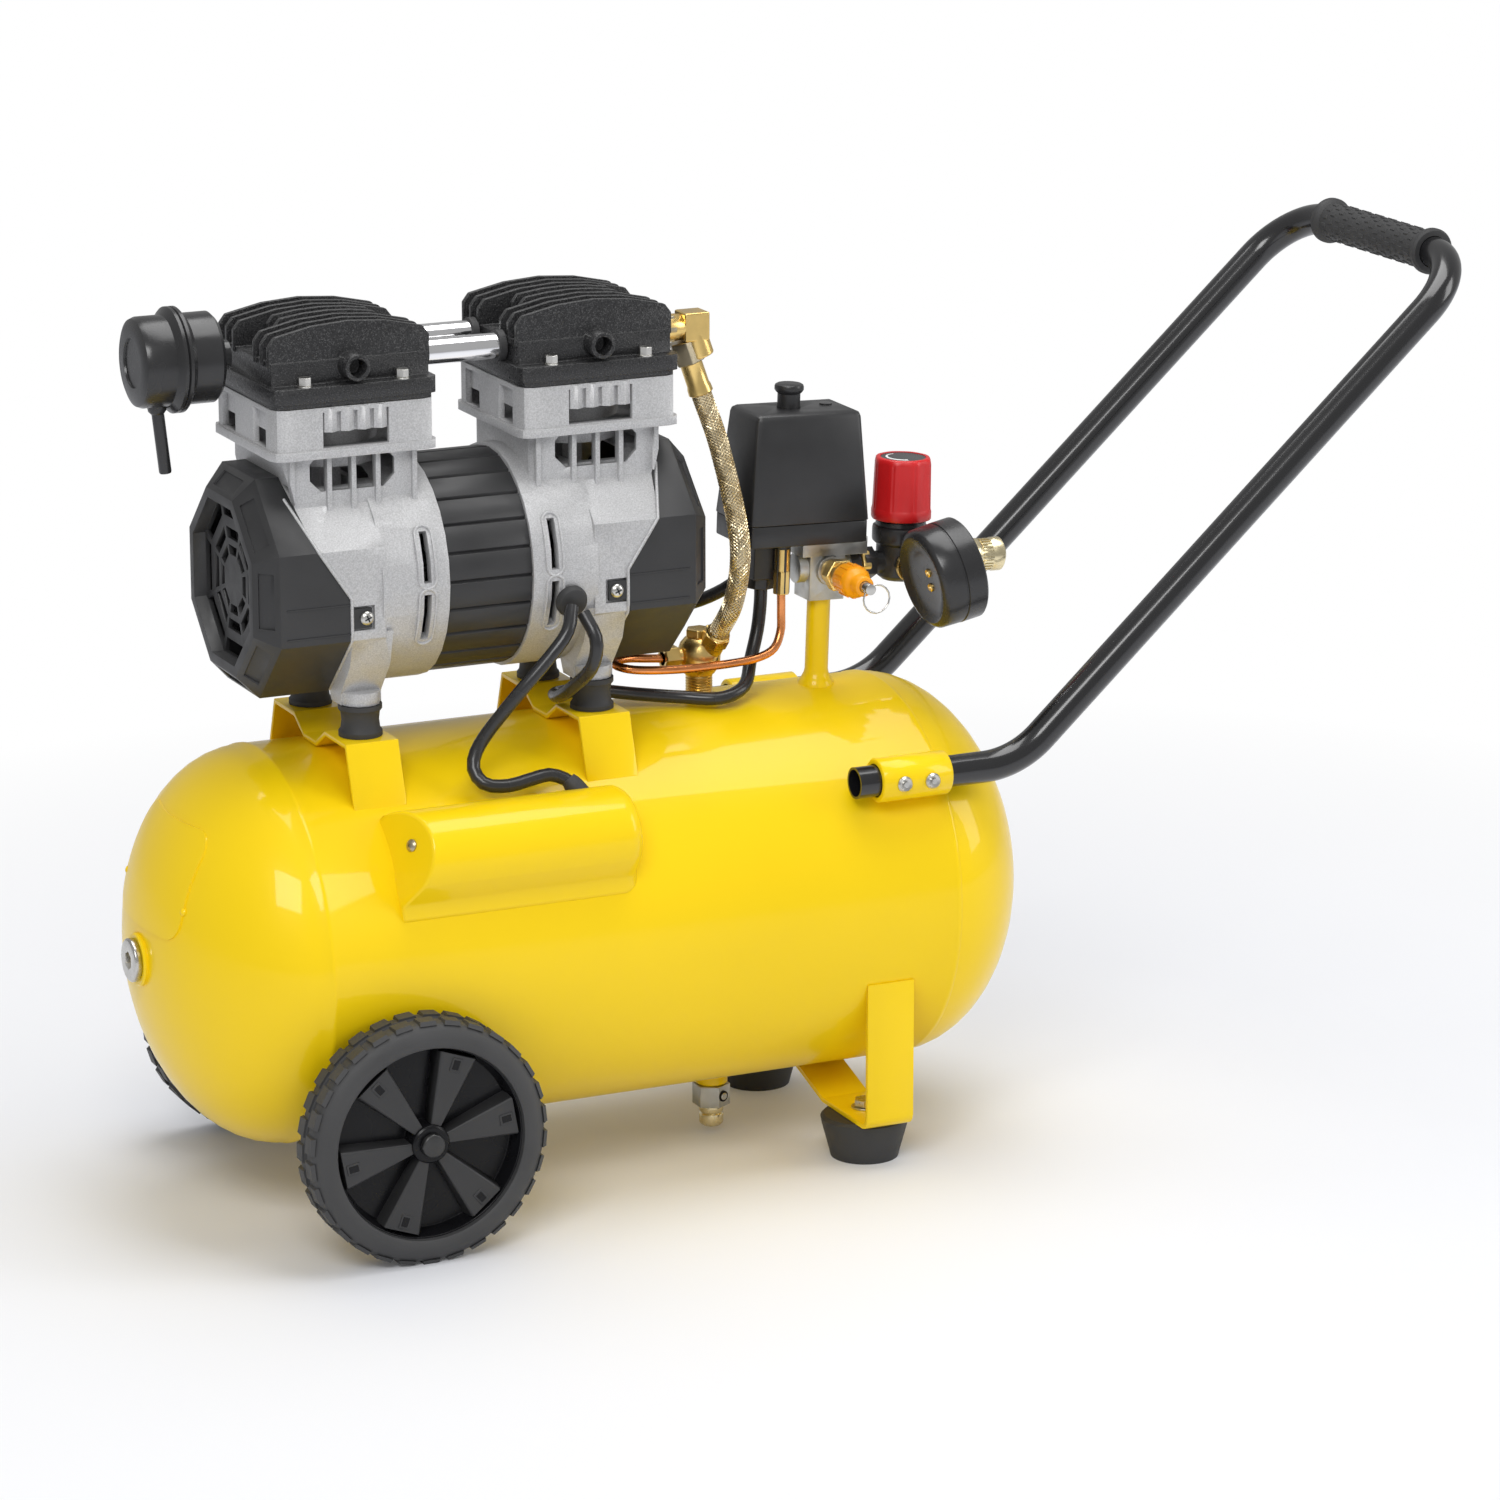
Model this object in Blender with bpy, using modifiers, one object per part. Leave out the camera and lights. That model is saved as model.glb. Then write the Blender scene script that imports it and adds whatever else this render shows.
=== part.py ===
"""Wheelbarrow air compressor with a 24 litre receiver and a twin-cylinder oil-free motor pump.

Metres, +Z up. x = 0 is the wheel axle, +X runs to the handle, -Y is the front, z = 0 is the floor.
Everything hangs from one empty, which at the end is moved so that the origin is the middle of the
footprint. The pump is built outwards from its own mid-plane, so most of its pieces are made twice,
with side = -1 for the left unit and side = +1 for the right one.
"""

import math
from functools import partial

import bmesh
import bpy
from mathutils import Matrix, Vector

# ---------------------------------------------------------------- driving dimensions
CLEARANCE = 0.0003  # left between pieces that touch

TANK_RADIUS = 0.123
TANK_WALL = 0.002
TANK_BOTTOM_Z = 0.0436
TANK_AXIS_Z = TANK_BOTTOM_Z + TANK_RADIUS
TANK_TOP_Z = TANK_AXIS_Z + TANK_RADIUS
TANK_SIDES = 32
SHELL_START_X = -0.0485  # weld seams of the two dished heads
SHELL_END_X = 0.368
HEAD_DEPTH = 0.080
PLUG_PORT_RADIUS = 0.0085
PLUG_BUNG_RADIUS = 0.0165
PLUG_BUNG_PROUD = 0.002
PLUG_HEAD_RADIUS = 0.0135
PLUG_HEAD_LENGTH = 0.0045
PLUG_SHANK_LENGTH = 0.011
PLUG_SOCKET_RADIUS = 0.0058

WHEEL_RADIUS = 0.0765
WHEEL_WIDTH = 0.0324
WHEEL_Y = TANK_RADIUS + 0.0148  # middle of each wheel
RIM_RADIUS = 0.0575
WHEEL_HUB_RADIUS = 0.012
WHEEL_WEB = 0.006
WHEEL_SPOKES = 6
SPOKE_RISE = 0.0105
SPOKE_HALF_ANGLE = math.radians(13.5)
AXLE_RADIUS = 0.005
AXLE_CAP_RADIUS = 0.0075
AXLE_CAP_LENGTH = 0.0035
BRACKET_PLATE = 0.003
WHEEL_BRACKET_Y = TANK_RADIUS - 0.020  # outer face of the bracket's web
WHEEL_BRACKET_DEPTH = 0.033
WHEEL_BRACKET_WIDTH = 0.044
WHEEL_BRACKET_BELOW = 0.024
WHEEL_BRACKET_ABOVE = 0.030

FOOT_X = 0.324
FOOT_Y = 0.080
FOOT_TOP_RADIUS = 0.028
FOOT_BOTTOM_RADIUS = 0.0215
FOOT_HEIGHT = 0.028
FOOT_STRAP_WIDTH = 0.032
FOOT_STRAP_Y = TANK_RADIUS - 0.008
FOOT_STRAP_TOP_Z = TANK_AXIS_Z - 0.0426
FOOT_STRAP_MIDDLE_Y = 0.012
FOOT_STRAP_FLAT_Y = 0.052  # the base strap is level as far in as this
FOOT_STRAP_BEND = 0.006

DRAIN_X = 0.254
DRAIN_BOSS_RADIUS = 0.0105
DRAIN_BOSS_LENGTH = 0.010
DRAIN_HEX_RADIUS = 0.0122
DRAIN_HEX_LENGTH = 0.014
DRAIN_SCREW_RADIUS = 0.0077
DRAIN_SCREW_LENGTH = 0.0135
DRAIN_SCREW_STEM_RADIUS = 0.004
DRAIN_SCREW_STEM_LENGTH = 0.007

PUMP_X = 0.0782  # mid-plane of the pump
SADDLE_RISE = 0.0134  # seats of the rubber mounts, above the tank
SADDLE_TOP_Z = TANK_TOP_Z + SADDLE_RISE
MOUNT_HEIGHT = 0.0200
SHAFT_RISE = 0.0730
SHAFT_Z = SADDLE_TOP_Z + MOUNT_HEIGHT + SHAFT_RISE
STATOR_RADIUS = 0.067
STATOR_HALF_LENGTH = 0.0270
STATOR_BORE = 0.0345
STATOR_PANELS = 24
STATOR_GROOVE = 0.0022
RING_RADIUS = 0.069
RING_BORE = 0.0625
RING_END = 0.068  # outwards from the mid-plane, where the round ring turns into the octagon
BULKHEAD = 0.004
BODY_APOTHEM = 0.067
BODY_WALL = 0.004
BODY_END = 0.135
COVER_END = 0.1478
COVER_END_APOTHEM = 0.054
COVER_WALL = 0.0025
COVER_START = 0.0500
COVER_PROUD = 0.0003
GRILLE_APOTHEM = 0.0480  # the grille lies in a pocket this wide and this deep
GRILLE_DEPTH = 0.0080
MOUNT_OUT = 0.0762  # engine feet, outwards from the mid-plane
MOUNT_Y = 0.042
MOUNT_RADIUS = 0.0134
SADDLE_WIDTH = 0.034
SADDLE_HALF_LENGTH = 0.060
SADDLE_SEAT_Y = 0.026  # inner end of each seat
SADDLE_DIP_Y = 0.010
SADDLE_LEG_Y = 0.073
SADDLE_LEG_Z = TANK_TOP_Z - 0.0276
ENGINE_PAD_THICKNESS = 0.008
ENGINE_LEG_WIDTH = 0.026

CYLINDER_OUT = 0.0792  # cylinder axis, outwards from the mid-plane
BLOCK_WIDTH = 0.103
BLOCK_DEPTH = 0.104
BLOCK_BOTTOM_Z = SHAFT_Z + 0.0815
BLOCK_HEIGHT = 0.0305
GASKET_Z = BLOCK_BOTTOM_Z + BLOCK_HEIGHT
BLOCK_WALL = 0.004
BLOCK_LEDGE = 0.0016
BLOCK_LEDGE_HEIGHT = 0.005
BLOCK_CORNER = 0.008
NECK_WIDTH = 0.086
NECK_DEPTH = 0.088
NECK_WALL = 0.003
NECK_BOTTOM_Z = SHAFT_Z + 0.034
LINER_RADIUS = 0.0315
LINER_BORE = 0.0275
LINER_BOTTOM_Z = BLOCK_BOTTOM_Z - 0.0107
WINDOW_WIDTH = 0.054
WINDOW_HEIGHT = 0.0205
WINDOW_TOP_Z = BLOCK_BOTTOM_Z - 0.0015
WINDOW_CHAMFER = 0.007
NECK_RIB_OFFSETS = (-0.039, -0.0155, 0.0, 0.0155, 0.039)
NECK_RIB_WIDTH = 0.003
NECK_RIB_PROUD = 0.003
NECK_RIB_BOTTOM_Z = BLOCK_BOTTOM_Z - 0.0345
VENT_OUT = 0.0415
VENT_WIDTH = 0.0048
VENT_ANGLES = ((2.5, 29.0), (-29.0, -3.5))  # degrees above the front horizontal
COVER_JOINT = ((0.1232, 0.0800), (0.1112, 0.0280), (0.0912, -0.0020), (0.0912, -0.0860))
COVER_KNEE = COVER_JOINT[2][0]  # outwards from the mid-plane; the heights are above the shaft
TAB_DROP = 0.0145
TAB_LENGTH = 0.0220
TAB_HEIGHT = 0.0120
TAB_THICKNESS = 0.0022
BLOCK_WINDOW_WIDTH = 0.042
FLANK_WINDOW_WIDTH = 0.022
FLANK_WINDOW_Y = 0.026
WINDOW_SLOT_LOW = BLOCK_BOTTOM_Z + 0.0060
LOUVRE_LOW = BLOCK_BOTTOM_Z + 0.0150  # top of a window's open slot, where its louvres start
LOUVRE_TOP = BLOCK_BOTTOM_Z + 0.0275

HEAD_WIDTH = 0.106
HEAD_DEPTH_Y = 0.108
HEAD_CORNER = 0.007
GASKET_THICKNESS = 0.0035
GASKET_INSET = 0.002
HEAD_FLANGE_TOP_Z = GASKET_Z + 0.0130
HEAD_CORE_TOP_Z = HEAD_FLANGE_TOP_Z + 0.0140
HEAD_CORE_WIDTH = 0.100
HEAD_CORE_DEPTH = 0.088
FIN_COUNT = 8
FIN_SPAN = 0.0826
FIN_THICKNESS = 0.0034
FIN_CROWN_Z = HEAD_CORE_TOP_Z + 0.0222
FIN_DROP = 0.0080
FIN_CORNER = 0.004
FIN_HALF_WIDTH = 0.0510
INNER_FIN_HALF_WIDTH = 0.034
PORT_BOSS_RADIUS = 0.008
PORT_BOSS_BORE = 0.0055
PORT_Z = HEAD_FLANGE_TOP_Z + 0.0100
HEAD_TUBE_RADIUS = 0.008
HEAD_TUBE_Y = 0.0215
HEAD_TUBE_Z = HEAD_FLANGE_TOP_Z + 0.0087

SHAFT_RADIUS = 0.0075
CRANK_THROW = 0.008
ECCENTRIC_RADIUS = 0.015
COUNTERWEIGHT_RADIUS = 0.038
PISTON_HEIGHT = 0.012
ROD_SADDLE_WALL = 0.004
FAN_RADIUS = 0.046
FAN_BLADES = 7
FAN_OUT = 0.126

FILTER_Z = HEAD_FLANGE_TOP_Z + 0.0130
FILTER_FACE_X = -0.122
FILTER_BACK_X = -0.0715
FILTER_RADIUS = 0.0273
FILTER_BEAD_RADIUS = 0.0318
FILTER_BEAD_X = -0.0965
FILTER_NECK_RADIUS = 0.009
FILTER_SPOUT_RADIUS = 0.0038

RISER_X = 0.3275
RISER_RADIUS = 0.0074
RISER_COLLAR_RADIUS = 0.0115
SWITCH_LEAN = math.radians(2.0)  # the switch group leans a little towards the handle
# Heights below are above the top of the tank, along the riser.
MANIFOLD_BOTTOM = 0.0560
SWITCH_BASE_BOTTOM = 0.0960
SWITCH_SPLIT = 0.1100
SWITCH_TOP = 0.1790
SWITCH_MIDDLE = -0.0215
SWITCH_WIDTH = 0.083
SWITCH_FRONT = -0.029
SWITCH_BACK = 0.026
SWITCH_DRAFT = 0.0055
SWITCH_EDGE = 0.004
MANIFOLD_WIDTH = 0.031
MANIFOLD_DEPTH = 0.026
KNOB_U = -0.0257
KNOB_STEM_RADIUS = 0.0072
KNOB_CAP_RADIUS = 0.0092
KNOB_HEIGHT = 0.0150
KNOB_TRAVEL = 0.006
GLAND_U = -0.0400
GLAND_V = 0.0030
PIPE_NUT = (-0.0323, -0.0120)
PIPE_NUT_BOTTOM = 0.0630
PIPE_NUT_RADIUS = 0.0052
GLAND_BOTTOM = 0.0700
PORT_W = 0.0755  # height of the manifold's side ports
REGULATOR_U = 0.0560
REGULATOR_RADIUS = 0.0150
REGULATOR_BOTTOM = 0.0640
REGULATOR_COLLAR = 0.0885
REGULATOR_COLLAR_RADIUS = 0.0175
REGULATOR_COLLAR_TOP = 0.0985
REGULATOR_NECK_RADIUS = 0.0155
REGULATOR_KNOB_BOTTOM = 0.1033
REGULATOR_KNOB_TOP = 0.1428
REGULATOR_KNOB_RADIUS = 0.0192
REGULATOR_KNOB_FLUTES = 8
REGULATOR_OUTLET = 0.0185
GAUGE_PORT = 0.0175
GAUGE_RADIUS = 0.0326
GAUGE_DEPTH = 0.0305
GAUGE_V = -0.053
GAUGE_TILT = math.radians(13.5)
GAUGE_STEM_RADIUS = 0.006
DIAL_RADIUS = 0.0285
DIAL_RECESS = 0.005
COUPLER_END = 0.1290
COUPLER_RADIUS = 0.0080
COUPLER_BORE = 0.0058
COUPLER_SOCKET_DEPTH = 0.025
SLEEVE_RADIUS = 0.0108
SLEEVE_LENGTH = 0.021
SLEEVE_TRAVEL = 0.004
SAFETY_U = 0.001
SAFETY_CAP_RADIUS = 0.0100
SAFETY_BODY_LENGTH = 0.047
SAFETY_PIN_RADIUS = 0.0035
SAFETY_PIN_TRAVEL = 0.003
RING_WIRE = 0.0007
RING_LOOP = 0.009
RING_TILT = math.radians(40.0)

HANDLE_RADIUS = 0.010
HANDLE_WALL = 0.0015
HANDLE_OUT = TANK_RADIUS + 0.01562  # the sleeves' axis, from the tank's axis
HANDLE_ANGLE = math.radians(38.8214)
HANDLE_Y = HANDLE_OUT * math.cos(HANDLE_ANGLE)
HANDLE_Z = TANK_AXIS_Z + HANDLE_OUT * math.sin(HANDLE_ANGLE)
HANDLE_START_X = 0.302
HANDLE_BAR_X = 0.735
HANDLE_BAR_Z = 0.545
HANDLE_RISE = math.radians(42.3)
HANDLE_BEND = 0.060
HANDLE_CORNER = 0.043
SLEEVE_START_X = 0.316
SLEEVE_END_X = 0.364
HANDLE_SLEEVE_RADIUS = 0.0138
HANDLE_SLEEVE_BORE = 0.0106
GRIP_RADIUS = 0.0123
GRIP_FLANGE_RADIUS = 0.0150

CAPACITOR_ANGLE = math.radians(36.0)
CAPACITOR_START_X = -0.002
CAPACITOR_END_X = 0.153
CAPACITOR_DOME_RADIUS = 0.029
CAPACITOR_FLANK = 0.0375  # how far below the dome its flat lower flank meets the tank
CAPACITOR_END_SLOPE = 0.016  # the left end plate leans back this far
CAPACITOR_DOME_OUT = TANK_RADIUS + 0.0010  # dome centre, from the tank's axis
CAPACITOR_SKIRT = 0.012  # the section's lower edge, inside the tank's skin
CAPACITOR_LIP = 0.0065
CAPACITOR_RADIUS = 0.0130
CAPACITOR_LENGTH = 0.100
CAPACITOR_WALL = 0.0020

HOSE_RADIUS = 0.0059
COPPER_RADIUS = 0.0027
LEAD_RADIUS = 0.0042
GROMMET_ANGLE = math.radians(-14.5)
GROMMET_X = 0.1300
GROMMET_RADIUS = 0.0100
GROMMET_HEIGHT = 0.0050

FULL_TURN = 2 * math.pi

# ---------------------------------------------------------------- scene and materials
for leftover in list(bpy.data.objects):
    bpy.data.objects.remove(leftover)


def new_collection(name):
    made = bpy.data.collections.new(name)
    bpy.context.scene.collection.children.link(made)
    return made


PARTS = new_collection("air_compressor")
HELPERS = new_collection("cutters")


def new_empty(name, parent=None, place=Matrix()):
    made = bpy.data.objects.new(name, None)
    made.empty_display_size = 0.05
    PARTS.objects.link(made)
    made.parent = parent
    made.matrix_local = place
    return made


def new_material(name, colour, roughness, metallic=0.0):
    made = bpy.data.materials.new(name)
    made.use_nodes = True
    made.diffuse_color = (*colour, 1.0)
    shader = made.node_tree.nodes["Principled BSDF"]
    shader.inputs["Base Color"].default_value = (*colour, 1.0)
    shader.inputs["Roughness"].default_value = roughness
    shader.inputs["Metallic"].default_value = metallic
    return made


YELLOW = new_material("yellow_paint", (0.93, 0.66, 0.01), 0.18)
BLACK_PAINT = new_material("black_paint", (0.012, 0.012, 0.013), 0.15)
DARK_PLASTIC = new_material("dark_plastic", (0.045, 0.046, 0.048), 0.5)
BLACK_PLASTIC = new_material("black_plastic", (0.02, 0.021, 0.023), 0.35)
RUBBER = new_material("rubber", (0.03, 0.03, 0.032), 0.7)
CAST_ALLOY = new_material("cast_aluminium", (0.62, 0.62, 0.62), 0.45, 0.9)
BLACK_CAST = new_material("black_casting", (0.025, 0.025, 0.027), 0.42)
STEEL = new_material("bright_steel", (0.62, 0.61, 0.58), 0.28, 1.0)
CHROME = new_material("chrome", (0.85, 0.85, 0.86), 0.08, 1.0)
BRASS = new_material("brass", (0.75, 0.50, 0.16), 0.25, 1.0)
COPPER = new_material("copper", (0.78, 0.30, 0.14), 0.22, 1.0)
BRAID = new_material("steel_braid", (0.66, 0.60, 0.48), 0.35, 0.9)
ZINC = new_material("zinc", (0.52, 0.52, 0.50), 0.4, 0.9)
RED_PLASTIC = new_material("red_plastic", (0.72, 0.02, 0.03), 0.3)
ORANGE_PLASTIC = new_material("orange_plastic", (0.95, 0.40, 0.01), 0.35)
NEEDLE_PAINT = new_material("needle_red", (0.6, 0.02, 0.02), 0.4)

ROOT = new_empty("compressor_frame")


# ---------------------------------------------------------------- shapes
def frame(normal):
    """Turns +Z to the normal. An outline then reads (x, z) on -Y, (y, z) on +X and (x, y) on +Z."""
    normal = Vector(normal).normalized()
    up = Vector((0, 1, 0)) if abs(normal.z) > 0.9 else Vector((0, 0, 1))
    side = up.cross(normal).normalized()
    return Matrix((side, normal.cross(side), normal)).transposed().to_4x4()


def at(x, y, z, normal=(0, 0, 1), turn=0.0):
    return Matrix.Translation((x, y, z)) @ frame(normal) @ Matrix.Rotation(turn, 4, "Z")


def add(name, mesh, place=Matrix(), finish=None, parent=ROOT):
    """A piece when it has a finish, and otherwise a hidden helper for the Booleans."""
    made = bpy.data.objects.new(name, mesh)
    made.parent = parent
    made.matrix_local = place
    if finish is None:
        HELPERS.objects.link(made)
        made.hide_render = True
        made.display_type = "WIRE"
    else:
        PARTS.objects.link(made)
        mesh.materials.append(finish)
    return made


def finished(bm):
    mesh = bpy.data.meshes.new("shape")
    bm.to_mesh(mesh)
    bm.free()
    mesh.shade_smooth()
    mesh.set_sharp_from_angle(angle=math.radians(32))
    return mesh


def box(width, depth, height):
    bm = bmesh.new()
    bmesh.ops.create_cube(bm, size=1.0, matrix=Matrix.Diagonal((width, depth, height, 1.0)))
    return finished(bm)


def rod(radius, length, sides=24, top_radius=None):
    """A cylinder or cone that stands on z = 0."""
    top_radius = radius if top_radius is None else top_radius
    bm = bmesh.new()
    bmesh.ops.create_cone(
        bm, cap_ends=True, segments=sides, radius1=radius, radius2=top_radius, depth=length,
        matrix=Matrix.Translation((0, 0, length / 2)),
    )
    return finished(bm)


def copies(mesh, places):
    """One mesh with the shape at each place."""
    bm = bmesh.new()
    for place in places:
        before = len(bm.verts)
        bm.from_mesh(mesh)
        bm.verts.ensure_lookup_table()
        bmesh.ops.transform(bm, matrix=place, verts=bm.verts[before:])
    return finished(bm)


def meshed(curve):
    """The mesh of a curve, with its caps welded on."""
    holder = bpy.data.objects.new("outline", curve)
    bpy.context.scene.collection.objects.link(holder)
    graph = bpy.context.evaluated_depsgraph_get()
    mesh = bpy.data.meshes.new_from_object(holder.evaluated_get(graph))
    bpy.data.objects.remove(holder)
    bm = bmesh.new()
    bm.from_mesh(mesh)
    bmesh.ops.remove_doubles(bm, verts=bm.verts, dist=1e-6)
    bmesh.ops.recalc_face_normals(bm, faces=bm.faces)
    return finished(bm)


def slab(outlines, thickness):
    """A flat outline with its holes, half its thickness to each side of z = 0."""
    curve = bpy.data.curves.new("outline", "CURVE")
    curve.dimensions = "2D"
    curve.fill_mode = "BOTH"
    curve.extrude = thickness / 2
    for outline in outlines:
        spline = curve.splines.new("POLY")
        spline.points.add(len(outline) - 1)
        for point, (x, y) in zip(spline.points, outline):
            point.co = (x, y, 0.0, 1.0)
        spline.use_cyclic_u = True
    return meshed(curve)


def tube_curve(points, radius, roundness=2):
    curve = bpy.data.curves.new("tube", "CURVE")
    curve.dimensions = "3D"
    curve.bevel_depth = radius
    curve.bevel_resolution = roundness
    curve.use_fill_caps = True
    spline = curve.splines.new("POLY")
    spline.points.add(len(points) - 1)
    for point, where in zip(spline.points, points):
        point.co = (*where, 1.0)
    return curve


def add_tube(name, points, radius, finish, roundness=2, parent=ROOT):
    curve = tube_curve(points, radius, roundness)
    curve.materials.append(finish)
    made = bpy.data.objects.new(name, curve)
    made.parent = parent
    PARTS.objects.link(made)
    return made


def turned(name, profile, place, finish=None, steps=32, parent=ROOT):
    """Turns a profile of (radius, height) points, down the outer side, into a solid round local +Z."""
    mesh = bpy.data.meshes.new("profile")
    edges = [(i, i + 1) for i in range(len(profile) - 1)]
    if profile[0][0] > 0 or profile[-1][0] > 0:
        edges.append((len(profile) - 1, 0))
    mesh.from_pydata([(radius, 0.0, height) for radius, height in profile], edges, [])
    made = add(name, mesh, place, finish, parent)
    turn = made.modifiers.new("Turn", "SCREW")
    turn.steps = steps
    turn.render_steps = steps
    turn.use_merge_vertices = True
    turn.merge_threshold = 1e-6
    return made


def combine(target, operation, others):
    for other in others:
        step = target.modifiers.new(other.name, "BOOLEAN")
        step.operation = operation
        step.solver = "EXACT"
        step.object = other
    return target


def cut(target, *cutters):
    return combine(target, "DIFFERENCE", cutters)


def join(target, *pieces):
    return combine(target, "UNION", pieces)


def arc(centre, radius, start, end, count):
    """Points on an arc, angles in degrees, both ends included."""
    angles = [math.radians(start + (end - start) * i / count) for i in range(count + 1)]
    return [(centre[0] + radius * math.cos(a), centre[1] + radius * math.sin(a)) for a in angles]


def rounded_box(width, depth, corner, count=2):
    """Outline of a rectangle about the origin with round corners."""
    x, y = width / 2 - corner, depth / 2 - corner
    corners = ((x, y, 0), (-x, y, 90), (-x, -y, 180), (x, -y, 270))
    return [p for cx, cy, a in corners for p in arc((cx, cy), corner, a, a + 90, count)]


def rounded_path(points, bend, count=5):
    """The path with each inner corner replaced by an arc of the bend radius."""
    points = [Vector(p) for p in points]
    path = [points[0]]
    for before, corner, after in zip(points, points[1:], points[2:]):
        back, ahead = (before - corner).normalized(), (after - corner).normalized()
        half = back.angle(ahead) / 2
        reach = bend / math.tan(half)
        centre = corner + (back + ahead).normalized() * bend / math.sin(half)
        first, last = corner + back * reach - centre, corner + ahead * reach - centre
        sweep = first.angle(last)
        for i in range(count + 1):
            share = i / count
            mix = first * math.sin((1 - share) * sweep) + last * math.sin(share * sweep)
            path.append(centre + mix / math.sin(sweep))
    path.append(points[-1])
    return path


def strap(centreline, thickness):
    """Outline of a folded strip round its 2D centre line."""
    points = [Vector(p) for p in centreline]
    sides = ([], [])
    for i, point in enumerate(points):
        ahead = (points[min(i + 1, len(points) - 1)] - point).normalized()
        behind = (point - points[max(i - 1, 0)]).normalized()
        ahead = ahead if ahead.length else behind
        behind = behind if behind.length else ahead
        bisector = Vector((-(ahead + behind).y, (ahead + behind).x)).normalized()
        stretch = thickness / 2 / bisector.dot(Vector((-ahead.y, ahead.x)))
        sides[0].append(tuple(point + bisector * stretch))
        sides[1].append(tuple(point - bisector * stretch))
    return sides[0] + sides[1][::-1]


def smooth_path(points, spacing):
    """Evenly spaced points on a smooth curve through the route's own points."""
    route = [Vector(p) for p in points]
    route = [2 * route[0] - route[1], *route, 2 * route[-1] - route[-2]]
    fine = []
    for a, b, c, d in zip(route, route[1:], route[2:], route[3:]):
        for i in range(24):
            t = i / 24
            fine.append(
                0.5 * (2 * b + (c - a) * t + (2 * a - 5 * b + 4 * c - d) * t**2
                       + (3 * b - a - 3 * c + d) * t**3)
            )
    fine.append(route[-2])
    total = sum((b - a).length for a, b in zip(fine, fine[1:]))
    count = max(2, round(total / spacing))
    path, walked, wanted = [fine[0]], 0.0, total / count
    for a, b in zip(fine, fine[1:]):
        walked += (b - a).length
        if walked >= wanted * len(path) and len(path) < count:
            path.append(b)
    path.append(fine[-1])
    return path


def octagon(apothem):
    """Corner radius of an octagon that is this far across its flats, halved."""
    return apothem / math.cos(math.pi / 8)


OCTAGON_TURN = math.pi / 8

# ---------------------------------------------------------------- receiver


def head_curve(radius, depth, start_x, way, count):
    """A half-ellipse dished head from its pole to its rim, as (radius, x) points."""
    angles = [math.pi / 2 * i / count for i in range(count + 1)]
    return [(radius * math.sin(a), start_x + way * depth * math.cos(a)) for a in angles]


def tank_profile():
    pole = SHELL_START_X - HEAD_DEPTH
    inner_radius, inner_depth = TANK_RADIUS - TANK_WALL, HEAD_DEPTH - TANK_WALL
    outside = head_curve(TANK_RADIUS, HEAD_DEPTH, SHELL_END_X, 1, 5)
    left = head_curve(TANK_RADIUS, HEAD_DEPTH, SHELL_START_X, -1, 5)[::-1]
    outside += [point for point in left if point[0] > PLUG_BUNG_RADIUS]
    rim = SHELL_START_X - HEAD_DEPTH * math.sqrt(1 - (PLUG_BUNG_RADIUS / TANK_RADIUS) ** 2)
    bung = [
        (PLUG_BUNG_RADIUS, rim),
        (PLUG_BUNG_RADIUS, pole - PLUG_BUNG_PROUD),
        (PLUG_PORT_RADIUS, pole - PLUG_BUNG_PROUD),
        (PLUG_PORT_RADIUS, pole + TANK_WALL),
    ]
    inside = head_curve(inner_radius, inner_depth, SHELL_START_X, -1, 2)[1:]
    inside += head_curve(inner_radius, inner_depth, SHELL_END_X, 1, 2)[::-1]
    return outside + bung + inside


def tank_core(extra):
    """The cylinder that pieces welded on the tank are fitted to."""
    length = SHELL_END_X - SHELL_START_X + 2 * HEAD_DEPTH
    place = at(SHELL_START_X - HEAD_DEPTH, 0, TANK_AXIS_Z, (1, 0, 0))
    return add("tank_core", rod(TANK_RADIUS + extra, length, TANK_SIDES), place)


def wheel_bracket(side, core):
    """A hood of folded plate that carries the axle bolt beside the tank, open inwards and below."""
    height = WHEEL_BRACKET_BELOW + WHEEL_BRACKET_ABOVE
    middle_y = WHEEL_BRACKET_Y - WHEEL_BRACKET_DEPTH / 2
    middle_z = WHEEL_RADIUS + (WHEEL_BRACKET_ABOVE - WHEEL_BRACKET_BELOW) / 2
    hood = add(
        "wheel_bracket", box(WHEEL_BRACKET_WIDTH, WHEEL_BRACKET_DEPTH, height),
        at(0, side * middle_y, middle_z),
    )
    hollow = add(
        "wheel_bracket_hollow",
        box(WHEEL_BRACKET_WIDTH - 2 * BRACKET_PLATE, WHEEL_BRACKET_DEPTH, height),
        at(0, side * (middle_y - BRACKET_PLATE), middle_z - BRACKET_PLATE),
    )
    hole = add(
        "axle_hole", rod(AXLE_RADIUS + CLEARANCE, 0.02, 16),
        at(0, side * (WHEEL_BRACKET_Y - 0.01), WHEEL_RADIUS, (0, side, 0)),
    )
    return cut(hood, hollow, hole, core)


def handle_sleeve(side):
    """A short tube welded along the tank, which the handle's end slides into."""
    length = SLEEVE_END_X - SLEEVE_START_X
    place = at(SLEEVE_START_X, side * HANDLE_Y, HANDLE_Z, (1, 0, 0))
    outward = Vector((0, side * HANDLE_Y, HANDLE_Z - TANK_AXIS_Z)).normalized()
    sleeve = add("handle_sleeve", rod(HANDLE_SLEEVE_RADIUS, length, 16), place)
    middle = TANK_RADIUS + 0.004
    middle_x = (SLEEVE_START_X + SLEEVE_END_X) / 2
    spot = (middle_x, outward.y * middle, TANK_AXIS_Z + outward.z * middle)
    pad = add("sleeve_pad", box(length - 0.008, 0.012, 0.010), at(*spot, outward))
    return join(sleeve, pad)


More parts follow.
